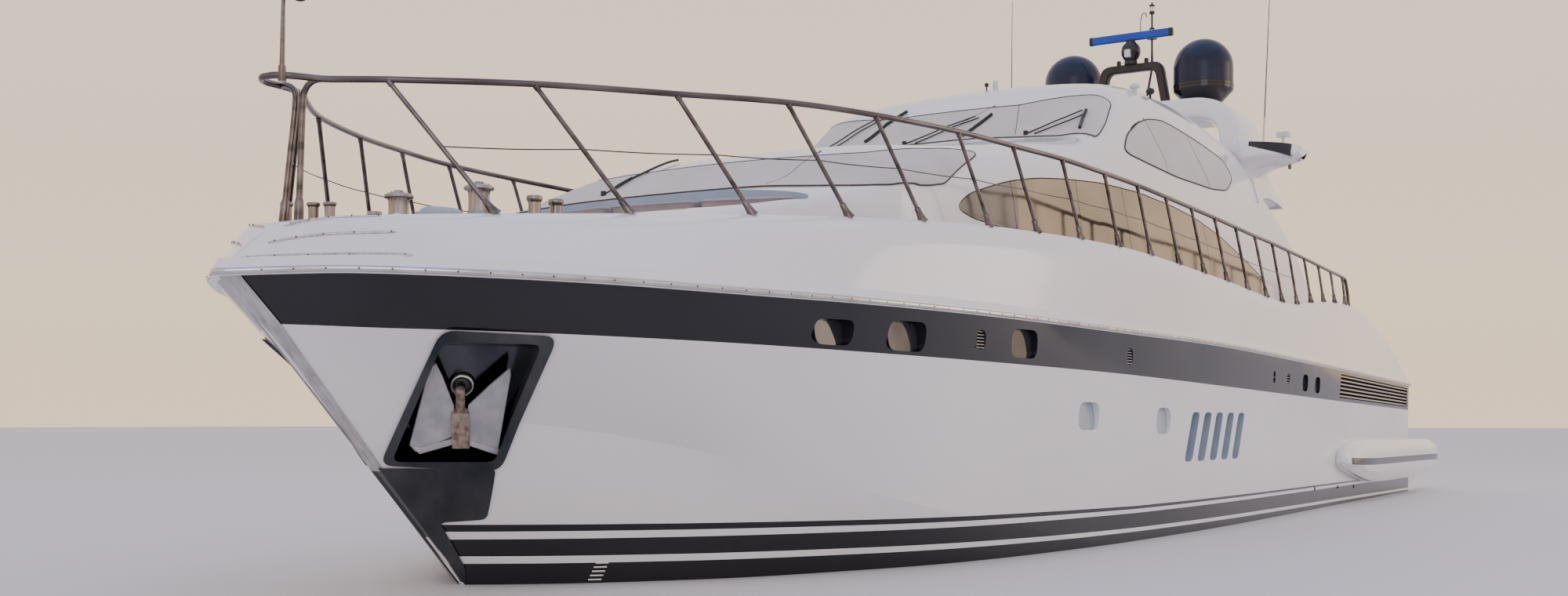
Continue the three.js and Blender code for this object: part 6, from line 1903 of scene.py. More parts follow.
for side, sign in SIDES:
    centre = (WINDLASS["x"], WINDLASS["y"] * sign, WINDLASS["seat_z"])
    seat = turned(f"capstan_seat_{side}", centre, SEAT_PROFILE)
    settle(coat(smooth_over(seat, 30), white_paint))
    drum = turned(f"capstan_drum_{side}", centre, DRUM_PROFILE, 64, 12, 0.01, range(6, 11))
    settle(coat(smooth_over(drum, 30), drum_steel), "capstan_" + side, on="capstan_" + side)
    upward = Vector((0.001, 0, 1)).normalized()
    bolts = []
    for turn in turns(6):
        spoke = Vector((math.cos(turn), math.sin(turn), 0)) * CAP_BOLTS["radius"]
        bolts.append((Vector(centre) + spoke + Vector((0, 0, CAP_BOLTS["height"])), upward))
    cap_bolts = coat(domed_heads(f"capstan_bolts_{side}", bolts, 0.011, 0.008), bolt_steel)
    settle(cap_bolts, on="capstan_" + side)

# Bollards.
# Twin posts of cast steel with spread heads stand on a base plate on each side, joined by
# a cross bar. Three lower bitts stand nearer the bow.
POST_PROFILE = [
    (0.085, 0.02), (0.075, 0.03), (0.062, 0.06), (0.06, 0.12), (0.06, 0.26), (0.062, 0.34), (0.076, 0.36),
    (0.079, 0.37), (0.079, 0.395), (0.074, 0.405), (0.03, 0.41),
]
BOLLARD = {
    "x": 14.5, "y": 1.12, "spread": 0.16, "plate_x": 0.29, "plate_y": 0.085,
    "bar_z": 0.2, "bar_reach": 0.27,
}
for side, sign in SIDES:
    y = BOLLARD["y"] * sign
    ring = oblong(
        BOLLARD["x"] - BOLLARD["plate_x"], BOLLARD["x"] + BOLLARD["plate_x"],
        y - BOLLARD["plate_y"], y + BOLLARD["plate_y"], 0.06,
    )
    plate = prism(f"bollard_plate_{side}", ring, FOREDECK_Z - 0.005, FOREDECK_Z + 0.025, "z")
    settle(coat(smooth_over(plate, 30), drum_steel), "bollards_" + side)
    for i, offset in enumerate((-BOLLARD["spread"], BOLLARD["spread"])):
        place = (BOLLARD["x"] + offset, y, FOREDECK_Z)
        post = turned(f"bollard_post_{i + 1}_{side}", place, POST_PROFILE, 28)
        settle(coat(smooth_over(post, 30), drum_steel), "bollards_" + side)
    bar_z = FOREDECK_Z + BOLLARD["bar_z"]
    bar_ends = [(BOLLARD["x"] + along, y, bar_z) for along in (-BOLLARD["bar_reach"], BOLLARD["bar_reach"])]
    cross = tube(f"bollard_bar_{side}", bar_ends, 0.018, 14)
    settle(coat(smooth_over(cross, 50), drum_steel))

BITTS = [
    {"name": "bow_bitt_far", "place": (16.3, -0.56), "height": 0.28},
    {"name": "bow_bitt_middle", "place": (16.2, -0.3), "height": 0.27},
    {"name": "bow_bitt_near", "place": (16.14, -0.14), "height": 0.27},
]
for row in BITTS:
    profile = [(radius * 0.8, height * row["height"] / 0.41) for radius, height in POST_PROFILE]
    bitt = turned(row["name"], (*row["place"], FOREDECK_Z), profile, 24)
    settle(coat(smooth_over(bitt, 30), drum_steel))

# Small gear on the foredeck.
# A grey vinyl fender lies beside the windlass. A white domed vent of moulded plastic is
# screwed to the windlass bed.
fender_grey = new_material("fender_vinyl", (0.36, 0.42, 0.5), 0.5)
mottle(fender_grey, (0.3, 0.36, 0.44), (0.42, 0.47, 0.54), 6.0, roughness=(0.4, 0.6))
roughen(fender_grey, 30.0, 0.001, detail=4.0)
FENDER_HALF = [(0.03, -0.26), (0.05, -0.255), (0.052, -0.23), (0.08, -0.205), (0.105, -0.16), (0.112, -0.1)]
fender_profile = FENDER_HALF + [(radius, -height) for radius, height in reversed(FENDER_HALF)]
fender = turned("foredeck_fender", (0, 0, 0), fender_profile, 32)
fender_turn = Matrix.Rotation(math.radians(-20), 4, "Z") @ Matrix.Rotation(math.radians(90), 4, "Y")
fender.data.transform(Matrix.Translation((15.55, 0.74, FOREDECK_Z + 0.114)) @ fender_turn)
settle(coat(smooth_over(fender, 50), fender_grey))
VENT_PROFILE = [
    (0.05, 0.0), (0.048, 0.012), (0.03, 0.03), (0.028, 0.1), (0.06, 0.105), (0.072, 0.13), (0.07, 0.165),
    (0.055, 0.2), (0.03, 0.222), (0.004, 0.23),
]
vent = turned("foredeck_vent", (15.12, -0.3, BED_TOP - 0.002), VENT_PROFILE, 32)
settle(coat(smooth_over(vent, 50), white_paint))

# Guard rails.
# Stainless tube is bent along each side and welded to raked stanchions, which stand in
# flared feet bolted to the bulwark's cap. Wires run through the first stanchions.
RAIL = {"first_x": 15.56, "post_radius": 0.024, "top_radius": 0.032, "sink": 0.012}
RAIL_RUNS = [
    {"count": 4, "pitch": 1.19}, {"count": 1, "pitch": 1.42}, {"count": 9, "pitch": 1.165},
    {"count": 6, "pitch": 1.04},
]
RAIL_SLANT = [
    {"post": 0, "rake": 0.54, "lean": 0.85}, {"post": 1, "rake": 0.72, "lean": 0.6},
    {"post": 2, "rake": 0.65, "lean": 0.48}, {"post": 4, "rake": 0.67, "lean": 0.23},
    {"post": 5, "rake": 0.6, "lean": 0.12}, {"post": 8, "rake": 0.22, "lean": 0.12},
    {"post": 14, "rake": 0.2, "lean": 0.15}, {"post": 20, "rake": 0.0, "lean": 0.06},
]
RAIL_TOP = [
    (-7.3, 4.63), (-5.4, 4.69), (-2.1, 4.82), (1.5, 4.91), (5, 5), (7.4, 5.04), (10.2, 5.02), (12.7, 4.98),
    (13.8, 4.93), (16.1, 4.86),
]
rail_steel = new_material("rail_steel", (0.12, 0.1, 0.1), 0.2, 1.0)
mottle(
    rail_steel, (0.07, 0.058, 0.056), (0.22, 0.19, 0.18), 2.5,
    stretch=(0.5, 0.5, 3), roughness=(0.14, 0.34),
)
roughen(rail_steel, 50.0, 0.0006, detail=4.0)


def table_value(rows, at):
    """Straight-line value of a table of places and values."""
    for (x0, v0), (x1, v1) in zip(rows, rows[1:]):
        if at <= x1:
            return v0 + (v1 - v0) * (at - x0) / (x1 - x0)
    return rows[-1][1]


def cap_place(x):
    """The middle of the bulwark's cap at a place along the yacht."""
    return rim_point(frame_at(x, rim_point))


rail_posts = []
post_x = RAIL["first_x"]
for run in RAIL_RUNS:
    for _ in range(run["count"]):
        rail_posts.append(post_x)
        post_x -= run["pitch"]
rail_posts.append(post_x)
rail_tops = []
rail_feet = []
for number, x in enumerate(rail_posts):
    _, rim_y, rim_z = cap_place(x)
    slant = [(row["post"], row["rake"]) for row in RAIL_SLANT]
    lean = [(row["post"], row["lean"]) for row in RAIL_SLANT]
    foot = Vector((x, rim_y - 0.048, rim_z))
    top_x = x + table_value(slant, number)
    top = Vector((top_x, foot.y - table_value(lean, number), table_value(RAIL_TOP, top_x)))
    rail_feet.append(foot)
    rail_tops.append(top)


def smooth_path(points, steps=8):
    """A smooth curve through the points."""
    last = len(points) - 1
    values = [tuple(point) for point in points]
    return [between(list(range(last + 1)), values, at) for at in steps_between(0, last, last * steps)]


def turned_along(name, base, run, profile, sides):
    """A body turned round a line, from a row of distance along it and radius."""
    places = [base + run * along for along, _ in profile]
    return tube(name, places, [radius for _, radius in profile], sides)


FOOT_PROFILE = [(-0.01, 0.062), (0.02, 0.05), (0.09, 0.036), (0.16, 0.033), (0.165, 0.026)]
COLLAR_PROFILE = [(-0.07, 0.029), (-0.02, 0.031)]
rail_end = [rail_tops[-1] + Vector((-0.22, 0.02, -0.1)), rail_feet[-1] + Vector((-0.32, 0, -0.02))]
rail_parts = [tube("guard_rail_top_port", smooth_path(rail_tops + rail_end), RAIL["top_radius"], 12)]
for i, (foot, top) in enumerate(zip(rail_feet, rail_tops)):
    run = (top - foot).normalized()
    post_line = [foot - run * RAIL["sink"], top]
    rail_parts.append(tube(f"guard_rail_post_{i + 1}_port", post_line, RAIL["post_radius"], 12))
    rail_parts.append(turned_along(f"guard_rail_foot_{i + 1}_port", foot, run, FOOT_PROFILE, 14))
    rail_parts.append(turned_along(f"guard_rail_collar_{i + 1}_port", top, run, COLLAR_PROFILE, 12))
WIRE = {"radius": 0.007, "share": 0.5, "count": 16, "sag": 0.012}
wire_places = [foot.lerp(top, WIRE["share"]) for foot, top in zip(rail_feet, rail_tops)]
for number, (a, b) in enumerate(zip(wire_places[:WIRE["count"]], wire_places[1:])):
    sag = [a.lerp(b, i / 8) - Vector((0, 0, WIRE["sag"] * math.sin(math.pi * i / 8))) for i in range(9)]
    rail_parts.append(tube(f"guard_wire_{number + 1}_port", sag, WIRE["radius"], 6))
for piece in rail_parts:
    coat(smooth_over(piece, 60), rail_steel)
    settle_pair(piece, "guard_rail")

# Pulpit and jackstaff.
# The rail's two ends rise to meet round the stem on two splayed posts. The jackstaff is a
# tapered steel tube in a socket at the very bow, with a black day-signal ball beside it.
PULPIT_SIDE = [(16.4, 0.4, 4.83), (16.6, 0.29, 4.81), (16.84, 0.22, 4.8)]
PULPIT_NOSE = [(16.97, 0.1, 4.8), (16.99, 0.0, 4.8)]
rail_start = [tuple(rail_tops[0]), tuple(rail_tops[0].lerp(Vector(PULPIT_SIDE[0]), 0.5))]
half_nose = rail_start + PULPIT_SIDE + PULPIT_NOSE
whole_nose = half_nose + [(x, -y, z) for x, y, z in reversed(half_nose[:-1])]
pulpit_top = tube("pulpit_top", smooth_path(whole_nose, 6), RAIL["top_radius"], 12)
settle(coat(smooth_over(pulpit_top, 60), rail_steel), "pulpit")
PULPIT_POST = {"foot": (16.73, 0.106, 3.46), "top": (16.63, 0.05, 4.6), "radius": 0.03}
POST_BEND = [(16.62, 0.08, 4.74), (16.62, 0.18, 4.8), (16.6, 0.29, 4.81)]
SLEEVE_PROFILE = [(0, 0.044), (0.22, 0.042), (0.26, 0.034)]
for side, sign in SIDES:
    across = Vector((1, sign, 1))
    foot = Vector(PULPIT_POST["foot"]) * across
    top = Vector(PULPIT_POST["top"]) * across
    run = (top - foot).normalized()
    straight = [foot + run * 0.24, foot + run * 0.6, top]
    post_line = smooth_path(straight + [Vector(place) * across for place in POST_BEND], 5)
    post = tube(f"pulpit_post_{side}", post_line, PULPIT_POST["radius"], 12)
    settle(coat(smooth_over(post, 60), rail_steel), "pulpit")
    sleeve = turned_along(f"pulpit_sleeve_{side}", foot, run, SLEEVE_PROFILE, 16)
    settle(coat(smooth_over(sleeve, 60), rail_steel))
head_wire = [wire_places[0] * Vector((1, -1, 1)), (16.68, -0.08, 4.12)]
settle(coat(tube("pulpit_wire_starboard", head_wire, WIRE["radius"], 6), rail_steel))
STAFF_LINE = [(16.96, 0.16, 4.78), (16.96, 0.16, 4.9), (16.94, 0.16, 5.7)]
staff = tube("jackstaff_pole", STAFF_LINE, (0.026, 0.024, 0.015), 14)
settle(coat(smooth_over(staff, 60), rail_steel), "jackstaff")
SOCKET_LINE = [(16.96, 0.16, 4.74), (16.96, 0.16, 4.88)]
staff_socket = tube("jackstaff_socket", SOCKET_LINE, (0.038, 0.034), 16)
settle(coat(smooth_over(staff_socket, 50), rail_steel))
ball_black = new_material("signal_ball_black", (0.012, 0.012, 0.013), 0.5)
mottle(ball_black, (0.01, 0.01, 0.011), (0.022, 0.021, 0.02), 8.0, roughness=(0.4, 0.62))
BALL = {"centre": (16.88, 0.3, 5.55), "radius": 0.095, "seam": 0.006, "seam_swell": 1.04}
ball_mesh = bmesh.new()
bmesh.ops.create_icosphere(ball_mesh, subdivisions=4, radius=BALL["radius"])
for vertex in ball_mesh.verts:
    if abs(vertex.co.z) < BALL["seam"]:
        vertex.co *= BALL["seam_swell"]
ball_data = bpy.data.meshes.new("signal_ball")
ball_mesh.to_mesh(ball_data)
ball_mesh.free()
signal_ball = bpy.data.objects.new("signal_ball", ball_data)
bpy.context.scene.collection.objects.link(signal_ball)
ball_data.transform(Matrix.Translation(BALL["centre"]))
settle(coat(smooth_over(signal_ball, 60), ball_black), "jackstaff")
ball_arm = tube("signal_ball_arm", [(16.95, 0.16, 5.55), (16.91, 0.23, 5.55)], 0.007, 8)
settle(coat(ball_arm, rail_steel))

# Domes.
# Two satellite domes are spun in glass fibre in two halves, joined by a flat band above a
# conical foot, and bolted to round seats on the arch. They are painted dark blue.
DOME = {"x": -4.92, "y": 1.38, "foot_z": 7.78, "seat_z": 7.7, "band": (0.2, 0.585)}
DOME_TOP = {"radius": 0.58, "middle": 0.93, "rise": 0.57}
DOME_PROFILE = [
    (0.3, -0.06), (0.3, 0.12), (0.31, 0.2), (0.34, 0.215), (0.52, 0.4), (0.572, 0.45), (0.582, 0.475),
    (0.582, 0.53), (0.59, 0.535), (0.592, 0.56), (0.59, 0.585), (0.58, 0.59), (0.58, 0.75),
]
for angle in range(0, 86, 5):
    turn = math.radians(angle)
    height = DOME_TOP["middle"] + DOME_TOP["rise"] * math.sin(turn)
    DOME_PROFILE.append((DOME_TOP["radius"] * math.cos(turn), height))
DOME_PROFILE.append((0.005, 1.5))
SEAT_OF_DOME = [(0.36, -0.1), (0.345, 0.08), (0.315, 0.1), (0.29, 0.11)]
DOME_SCREWS = {"count": 24, "radius": 0.582, "height": 0.5}
dome_blue = new_material("dome_blue_gelcoat", (0.01, 0.018, 0.04), 0.26)
mottle(dome_blue, (0.008, 0.014, 0.034), (0.014, 0.023, 0.05), 2.0, roughness=(0.18, 0.34))
roughen(dome_blue, 3.0, 0.002, detail=2.0)
shader_of(dome_blue).inputs["Specular IOR Level"].default_value = 0.28
for side, sign in SIDES:
    centre = (DOME["x"], DOME["y"] * sign, DOME["foot_z"])
    shell_of_dome = turned(f"dome_shell_{side}", centre, DOME_PROFILE, 72)
    coat(smooth_over(shell_of_dome, 20), dome_blue, black_paint)
    for face in shell_of_dome.data.polygons:
        face.material_index = int(DOME["band"][0] < face.center.z - DOME["foot_z"] < DOME["band"][1])
    settle(shell_of_dome, "dome_" + side)
    studs = []
    for turn in turns(DOME_SCREWS["count"]):
        out = Vector((math.cos(turn), math.sin(turn), 0))
        up = Vector((0, 0, DOME_SCREWS["height"]))
        studs.append((Vector(centre) + out * DOME_SCREWS["radius"] + up, out))
    settle(coat(domed_heads(f"dome_screws_{side}", studs, 0.009, 0.006), bolt_steel))
    seat = turned(f"dome_seat_{side}", (DOME["x"], DOME["y"] * sign, DOME["seat_z"]), SEAT_OF_DOME)
    settle(coat(smooth_over(seat, 30), white_paint))

# Mast frame.
# A ribbed black frame is bolted across the arch and carries the scanner's pedestal, with a
# raked stay and a thin pole behind it for the masthead lights.
MAST = {"x": -4.68, "half_top": 0.56, "half_foot": 0.74, "bar": 0.16, "top_z": 8.9, "foot_z": 7.8}
frame_black = new_material("mast_frame_black", (0.02, 0.02, 0.022), 0.3, 0.3)
mottle(frame_black, (0.014, 0.014, 0.016), (0.035, 0.034, 0.034), 6.0, roughness=(0.2, 0.45))
roughen(frame_black, 30.0, 0.001, detail=3.0)


def frame_path(out, radius):
    """The frame's line from foot to foot, moved outwards from the middle of its bar."""
    half_foot = MAST["half_foot"] + out
    half_top = MAST["half_top"] + out
    top_z = MAST["top_z"] - MAST["bar"] / 2 + out
    corners = [
        (-half_foot, MAST["foot_z"]), (-half_top, top_z), (half_top, top_z), (half_foot, MAST["foot_z"]),
    ]
    return softened(corners, [radius, radius], 8)


outer = frame_path(MAST["bar"] / 2, 0.2)
inner = frame_path(-MAST["bar"] / 2, 0.12)
mast_body = prism("mast_frame_body", outer + inner[::-1], MAST["x"] - 0.07, MAST["x"] + 0.07, "x")
bevel(mast_body, 0.02, 3, 60)
settle(coat(smooth_over(mast_body, 40), frame_black), "mast_frame")
RIB_SHARE = 0.75
SPACER_OUTLINE = [(-0.12, 8.78), (0.12, 8.78), (0.12, 8.86), (-0.12, 8.86)]
middle = [mix(a, b, 0.5) for a, b in zip(outer, inner)]
rib_outline = [mix(m, a, RIB_SHARE) for m, a in zip(middle, outer)]
rib_outline += [mix(m, b, RIB_SHARE) for m, b in zip(middle[::-1], inner[::-1])]
for i, offset in enumerate((-0.1, 0.1)):
    rib_x = MAST["x"] + offset
    rib = prism(f"mast_frame_rib_{i + 1}", rib_outline, rib_x - 0.02, rib_x + 0.02, "x")
    settle(coat(smooth_over(rib, 40), frame_black), "mast_frame")
    spacer = prism(
        f"mast_frame_spacer_{i + 1}", SPACER_OUTLINE, min(rib_x, MAST["x"]), max(rib_x, MAST["x"]), "x",
    )
    settle(coat(spacer, frame_black))
for i, y in enumerate((-0.29, 0.29)):
    lug_ring = oblong(y - 0.04, y + 0.04, 8.86, 9.0, 0.03, 4)
    lug = prism(f"mast_frame_lug_{i + 1}", lug_ring, MAST["x"] - 0.02, MAST["x"] + 0.02, "x")
    settle(coat(smooth_over(lug, 40), frame_black))
PEDESTAL = [
    (0.13, -0.02), (0.13, 0.04), (0.115, 0.06), (0.15, 0.1), (0.185, 0.17), (0.195, 0.24), (0.185, 0.31),
    (0.155, 0.37), (0.12, 0.4), (0.11, 0.414), (0.02, 0.416),
]
pedestal = turned("scanner_pedestal", (-4.58, 0, MAST["top_z"]), PEDESTAL)
settle(coat(smooth_over(pedestal, 30), frame_black), "mast_frame")
beacon_white = new_material("beacon_white", (0.62, 0.66, 0.7), 0.35)
mottle(beacon_white, (0.56, 0.6, 0.65), (0.68, 0.71, 0.74), 5.0, roughness=(0.28, 0.42))
pedestal_lamp = prism("pedestal_lamp", oblong(-0.06, 0.06, 9.0, 9.15, 0.02, 4), -4.44, -4.37, "x")
settle(coat(smooth_over(pedestal_lamp, 40), beacon_white))

# Scanner.
# The open-array radar is a sealed blue bar with dark end caps on a turning hub.
SCANNER = {"x": -4.58, "z": 9.318, "bar_z": 0.115}
BAR_END = [(0.85, 1.0), (0.872, 0.86), (0.88, 0.6)]
CAP = {"start": 0.8, "end": 0.868, "size": 1.03}
scanner_blue = new_material("scanner_blue", (0.001, 0.05, 0.4), 0.4)
mottle(scanner_blue, (0.001, 0.042, 0.34), (0.002, 0.06, 0.46), 2.0, roughness=(0.3, 0.42))
SCANNER_SECTION = oblong(-0.05, 0.05, 0.04, 0.2, 0.03, 4)


def scanner_ring(y, size):
    """The bar's section at a place along it, scaled about its middle."""
    low = SCANNER["bar_z"] * (1 - size)
    return [(SCANNER["x"] + u * size, y, SCANNER["z"] + low + v * size) for u, v in SCANNER_SECTION]


bar_stops = [(-y, size) for y, size in reversed(BAR_END)] + BAR_END
bar_rings = [scanner_ring(y, size) for y, size in bar_stops]
scanner_bar = coat(smooth_over(loft("radar_scanner_bar", bar_rings), 35), scanner_blue, frame_black)
for face in scanner_bar.data.polygons:
    face.material_index = int(abs(face.center.y) > BAR_END[0][0] + 0.001)
settle(scanner_bar, "radar_scanner", on="radar_scanner")
hub_profile = [(0.1, 0.0), (0.1, 0.02), (0.075, 0.035), (0.07, 0.06)]
hub = turned("radar_scanner_hub", (SCANNER["x"], 0, SCANNER["z"]), hub_profile, 28)
settle(coat(smooth_over(hub, 30), frame_black), "radar_scanner", on="radar_scanner")
for i, sign in enumerate((-1, 1)):
    cap_rings = [scanner_ring(CAP[end] * sign, CAP["size"]) for end in ("start", "end")]
    cap = loft(f"radar_scanner_cap_{i + 1}", cap_rings)
    settle(coat(smooth_over(cap, 35), frame_black), on="radar_scanner")

# Masthead lights and aerials.
# A thin pole behind the frame carries an all-round light, a horn and a hooked aerial. Two
# whips are clamped to the arch's legs.
POLE = {"x": -5.66, "y": 0.05}


def on_pole(z):
    return (POLE["x"], POLE["y"], z)


stay = tube("mast_stay", [(-5.22, 0, 7.76), on_pole(9.0)], 0.024, 12)
stay_bar = tube("mast_stay_bar", [(-4.6, 0, 8.84), (-5.1, 0, 8.95), on_pole(9.0)], 0.028, 12)
pole = tube("masthead_pole", [on_pole(8.95), on_pole(9.35), on_pole(10.36)], (0.03, 0.022, 0.018), 12)
for piece in (stay, stay_bar, pole):
    settle(coat(smooth_over(piece, 60), frame_black), "mast_frame")
LIGHT_PROFILE = [
    (0.05, 0), (0.055, 0.012), (0.055, 0.05), (0.048, 0.055), (0.048, 0.15), (0.056, 0.155), (0.056, 0.19),
    (0.02, 0.2),
]
LAMP_BAND = (0.056, 0.152)
lamp_glass = new_material("lamp_glass", (0.85, 0.72, 0.5), 0.25)
mottle(lamp_glass, (0.8, 0.66, 0.42), (0.9, 0.8, 0.62), 9.0, roughness=(0.2, 0.35))
PLATE_PROFILE = [(0.1, 0), (0.105, 0.01), (0.1, 0.03), (0.03, 0.035)]
head_plate = turned("masthead_plate", on_pole(9.6), PLATE_PROFILE, 28)
settle(coat(smooth_over(head_plate, 40), frame_black))
for i, z in enumerate((9.64, 10.12)):
    lantern = turned(f"masthead_lantern_{i + 1}", on_pole(z), LIGHT_PROFILE, 28)
    coat(smooth_over(lantern, 30), frame_black, lamp_glass)
    for face in lantern.data.polygons:
        face.material_index = int(LAMP_BAND[0] < face.center.z - z < LAMP_BAND[1])
    settle(lantern)
HOOK_LINE = [(0.02, 9.63), (-0.16, 9.7), (-0.2, 9.9), (-0.17, 10.12), (-0.1, 10.16), (-0.06, 10.08)]
hook_places = smooth_path([(POLE["x"], y, z) for y, z in HOOK_LINE], 6)
hook = tube("hooked_aerial", hook_places, 0.011, 8)
settle(coat(smooth_over(hook, 60), rail_steel))
whip_grey = new_material("whip_fibreglass", (0.1, 0.085, 0.08), 0.45)
mottle(whip_grey, (0.08, 0.068, 0.062), (0.14, 0.12, 0.11), 6.0, roughness=(0.4, 0.55))
WHIP = {"foot": (-4.62, 2.66, 6.96), "tip": (-4.86, 2.74, 10.6), "base_z": 6.93}
FERRULE_PROFILE = [(0, 0.03), (0.06, 0.022), (0.16, 0.02), (0.165, 0.014)]
WHIP_BASE = [(0.06, 0), (0.06, 0.03), (0.04, 0.05), (0.03, 0.1)]
for side, sign in SIDES:
    foot = Vector(WHIP["foot"]) * Vector((1, sign, 1))
    tip = Vector(WHIP["tip"]) * Vector((1, sign, 1))
    rod = tube(f"whip_rod_{side}", [foot, foot.lerp(tip, 0.3), tip], (0.015, 0.012, 0.006), 10)
    settle(coat(smooth_over(rod, 60), whip_grey), "whip_antenna_" + side)
    ferrule = turned_along(f"whip_ferrule_{side}", foot, tip - foot, FERRULE_PROFILE, 14)
    settle(coat(smooth_over(ferrule, 50), polished_steel), "whip_antenna_" + side)
    base = turned(f"whip_base_{side}", (foot.x, foot.y, WHIP["base_z"]), WHIP_BASE, 20)
    settle(coat(smooth_over(base, 40), beacon_white))

# Units on the port wing.
# A T-shaped white unit stands on the wing, and a small steel lamp hangs under its edge.
WING_UNIT = {"x": -4.7, "y": 3.02, "z": 6.96}
UNIT_HEAD = {"x": (-4.76, -4.64), "y": (2.9, 3.14), "z": (7.15, 7.25)}
UNIT_FOOT = [(0.05, 0), (0.05, 0.05), (0.034, 0.06), (0.03, 0.2)]
unit_foot = turned("wing_unit_foot", (WING_UNIT["x"], WING_UNIT["y"], WING_UNIT["z"]), UNIT_FOOT, 20)
unit_ring = oblong(*UNIT_HEAD["y"], *UNIT_HEAD["z"], 0.02, 4)
unit_head = prism("wing_unit_head", unit_ring, *UNIT_HEAD["x"], "x")
for piece in (unit_foot, unit_head):
    settle(coat(smooth_over(piece, 40), beacon_white))
UNDER_LAMP = [(0.02, -0.03), (0.03, -0.025), (0.032, 0.02), (0.032, 0.08)]
wing_lamp = turned("wing_under_lamp", (-4.5, 3.2, 6.52), UNDER_LAMP, 18)
settle(coat(smooth_over(wing_lamp, 40), bolt_steel))

# Roof fittings.
# A small white light and a black ball-shaped lamp on stems, a white mushroom vent and a
# second black ball.
ROOF_FITTINGS = [
    {"name": "roof_ball_lamp", "place": (2.1, 0.0), "finish": ball_black,
     "profile": [(0.012, -0.02), (0.012, 0.05), (0.03, 0.06), (0.036, 0.085), (0.03, 0.11), (0.01, 0.12)]},
    {"name": "roof_light", "place": (2.1, 0.16), "finish": beacon_white,
     "profile": [(0.045, -0.02), (0.045, 0.08), (0.04, 0.12), (0.02, 0.14)]},
    {"name": "roof_mushroom", "place": (1.5, 2.36), "finish": beacon_white,
     "profile": [(0.04, -0.06), (0.04, 0.06), (0.085, 0.075), (0.09, 0.1), (0.06, 0.135), (0.01, 0.15)]},
    {"name": "roof_ball", "place": (0.78, 2.36), "finish": ball_black,
     "profile": [(0.02, -0.06), (0.02, 0.05), (0.055, 0.065), (0.075, 0.1), (0.06, 0.145), (0.01, 0.165)]},
]
for row in ROOF_FITTINGS:
    fitting = turned(row["name"], over_house(*row["place"], "z"), row["profile"], 24)
    settle(coat(smooth_over(fitting, 50), row["finish"]))

# Garage door.
# The transom's big hatch is a double-skinned panel hinged along its top edge and lifted by
# two gas struts. It sits in a moulded surround that stands upright on the raked transom.
HATCH = {"x0": -14.62, "x1": -14.51, "half": 1.93, "z0": 0.87, "z1": 2.4}
SURROUND_PROFILE = [
    (-13.6, 0.74), (-14.56, 0.74), (-14.585, 0.765), (-14.585, 2.52), (-14.55, 2.56), (-14.3, 2.62),
    (-13.6, 2.62),
]
SURROUND = {"half": 2.16, "mouth_half": 1.945, "mouth_z0": 0.856, "mouth_z1": 2.47, "rail_z0": 2.34}
surround = prism("garage_surround", SURROUND_PROFILE, -SURROUND["half"], SURROUND["half"], "y")
carve(surround, box_body(
    "surround_mouth", -15, -13, -SURROUND["mouth_half"], SURROUND["mouth_half"],
    SURROUND["mouth_z0"], SURROUND["mouth_z1"],
))
settle(coat(smooth_over(surround, 40), white_paint))
hinge_rail = box_body(
    "garage_hinge_rail", -14.49, -14.4, -SURROUND["mouth_half"], SURROUND["mouth_half"],
    SURROUND["rail_z0"], SURROUND["mouth_z1"],
)
settle(coat(hinge_rail, white_paint))
hatch_ring = oblong(-HATCH["half"], HATCH["half"], HATCH["z0"], HATCH["z1"], 0.08)
hatch = prism("garage_door_panel", hatch_ring, HATCH["x0"] + 0.004, HATCH["x1"] - 0.004, "x")
bevel(hatch, 0.015, 3, 50)
settle(coat(smooth_over(hatch, 40), white_paint), "garage_door", on="garage_door")
skin_ring = pulled_in(hatch_ring, 0.2)
inner_skin = prism("garage_door_inner", skin_ring, HATCH["x1"] - 0.03, HATCH["x1"] - 0.002, "x")
settle(coat(smooth_over(inner_skin, 40), cream_lining), on="garage_door")
HANDLE_Z = 1.05
HANDLE_LINE = [(0.01, -0.18), (-0.006, -0.15), (-0.006, 0.15), (0.01, 0.18)]
grab = tube("garage_door_handle", [(HATCH["x0"] + out, y, HANDLE_Z) for out, y in HANDLE_LINE], 0.011, 10)
settle(coat(smooth_over(grab, 60), polished_steel), on="garage_door")

# Engines.
# Two turbocharged diesels stand on bearers amidships. Each is a cast block under a pair of
# valve covers, with a charge-air trunk on top and a gearbox at its after end.
ENGINE_Y = 1.4
engine_paint = new_material("engine_paint", (0.5, 0.5, 0.49), 0.4, 0.2)
mottle(engine_paint, (0.4, 0.4, 0.39), (0.58, 0.58, 0.57), 4.0, roughness=(0.3, 0.55))
roughen(engine_paint, 60.0, 0.001, detail=4.0)
ENGINE_HALF = [(0.3, -0.28), (0.4, 0.1), (0.6, 0.5), (0.56, 0.86), (0.3, 0.98)]
ENGINE_SECTION = rounded(ENGINE_HALF + [(-u, v) for u, v in reversed(ENGINE_HALF)], 0.08, 3)
VALVE_COVER = rounded([(-0.16, 0.88), (0.16, 0.88), (0.12, 1.1), (-0.12, 1.1)], 0.05, 4)
AIR_TRUNK = [(-7.6, 0.9), (-7.5, 1.08), (-7.3, 1.12), (-5.9, 1.12), (-5.7, 1.04)]
MOUNT_PLACES = [(-7.3, -0.46), (-7.3, 0.46), (-6.0, -0.46), (-6.0, 0.46)]
MOUNT = {"half": 0.1, "z0": -0.28, "z1": 0.16}
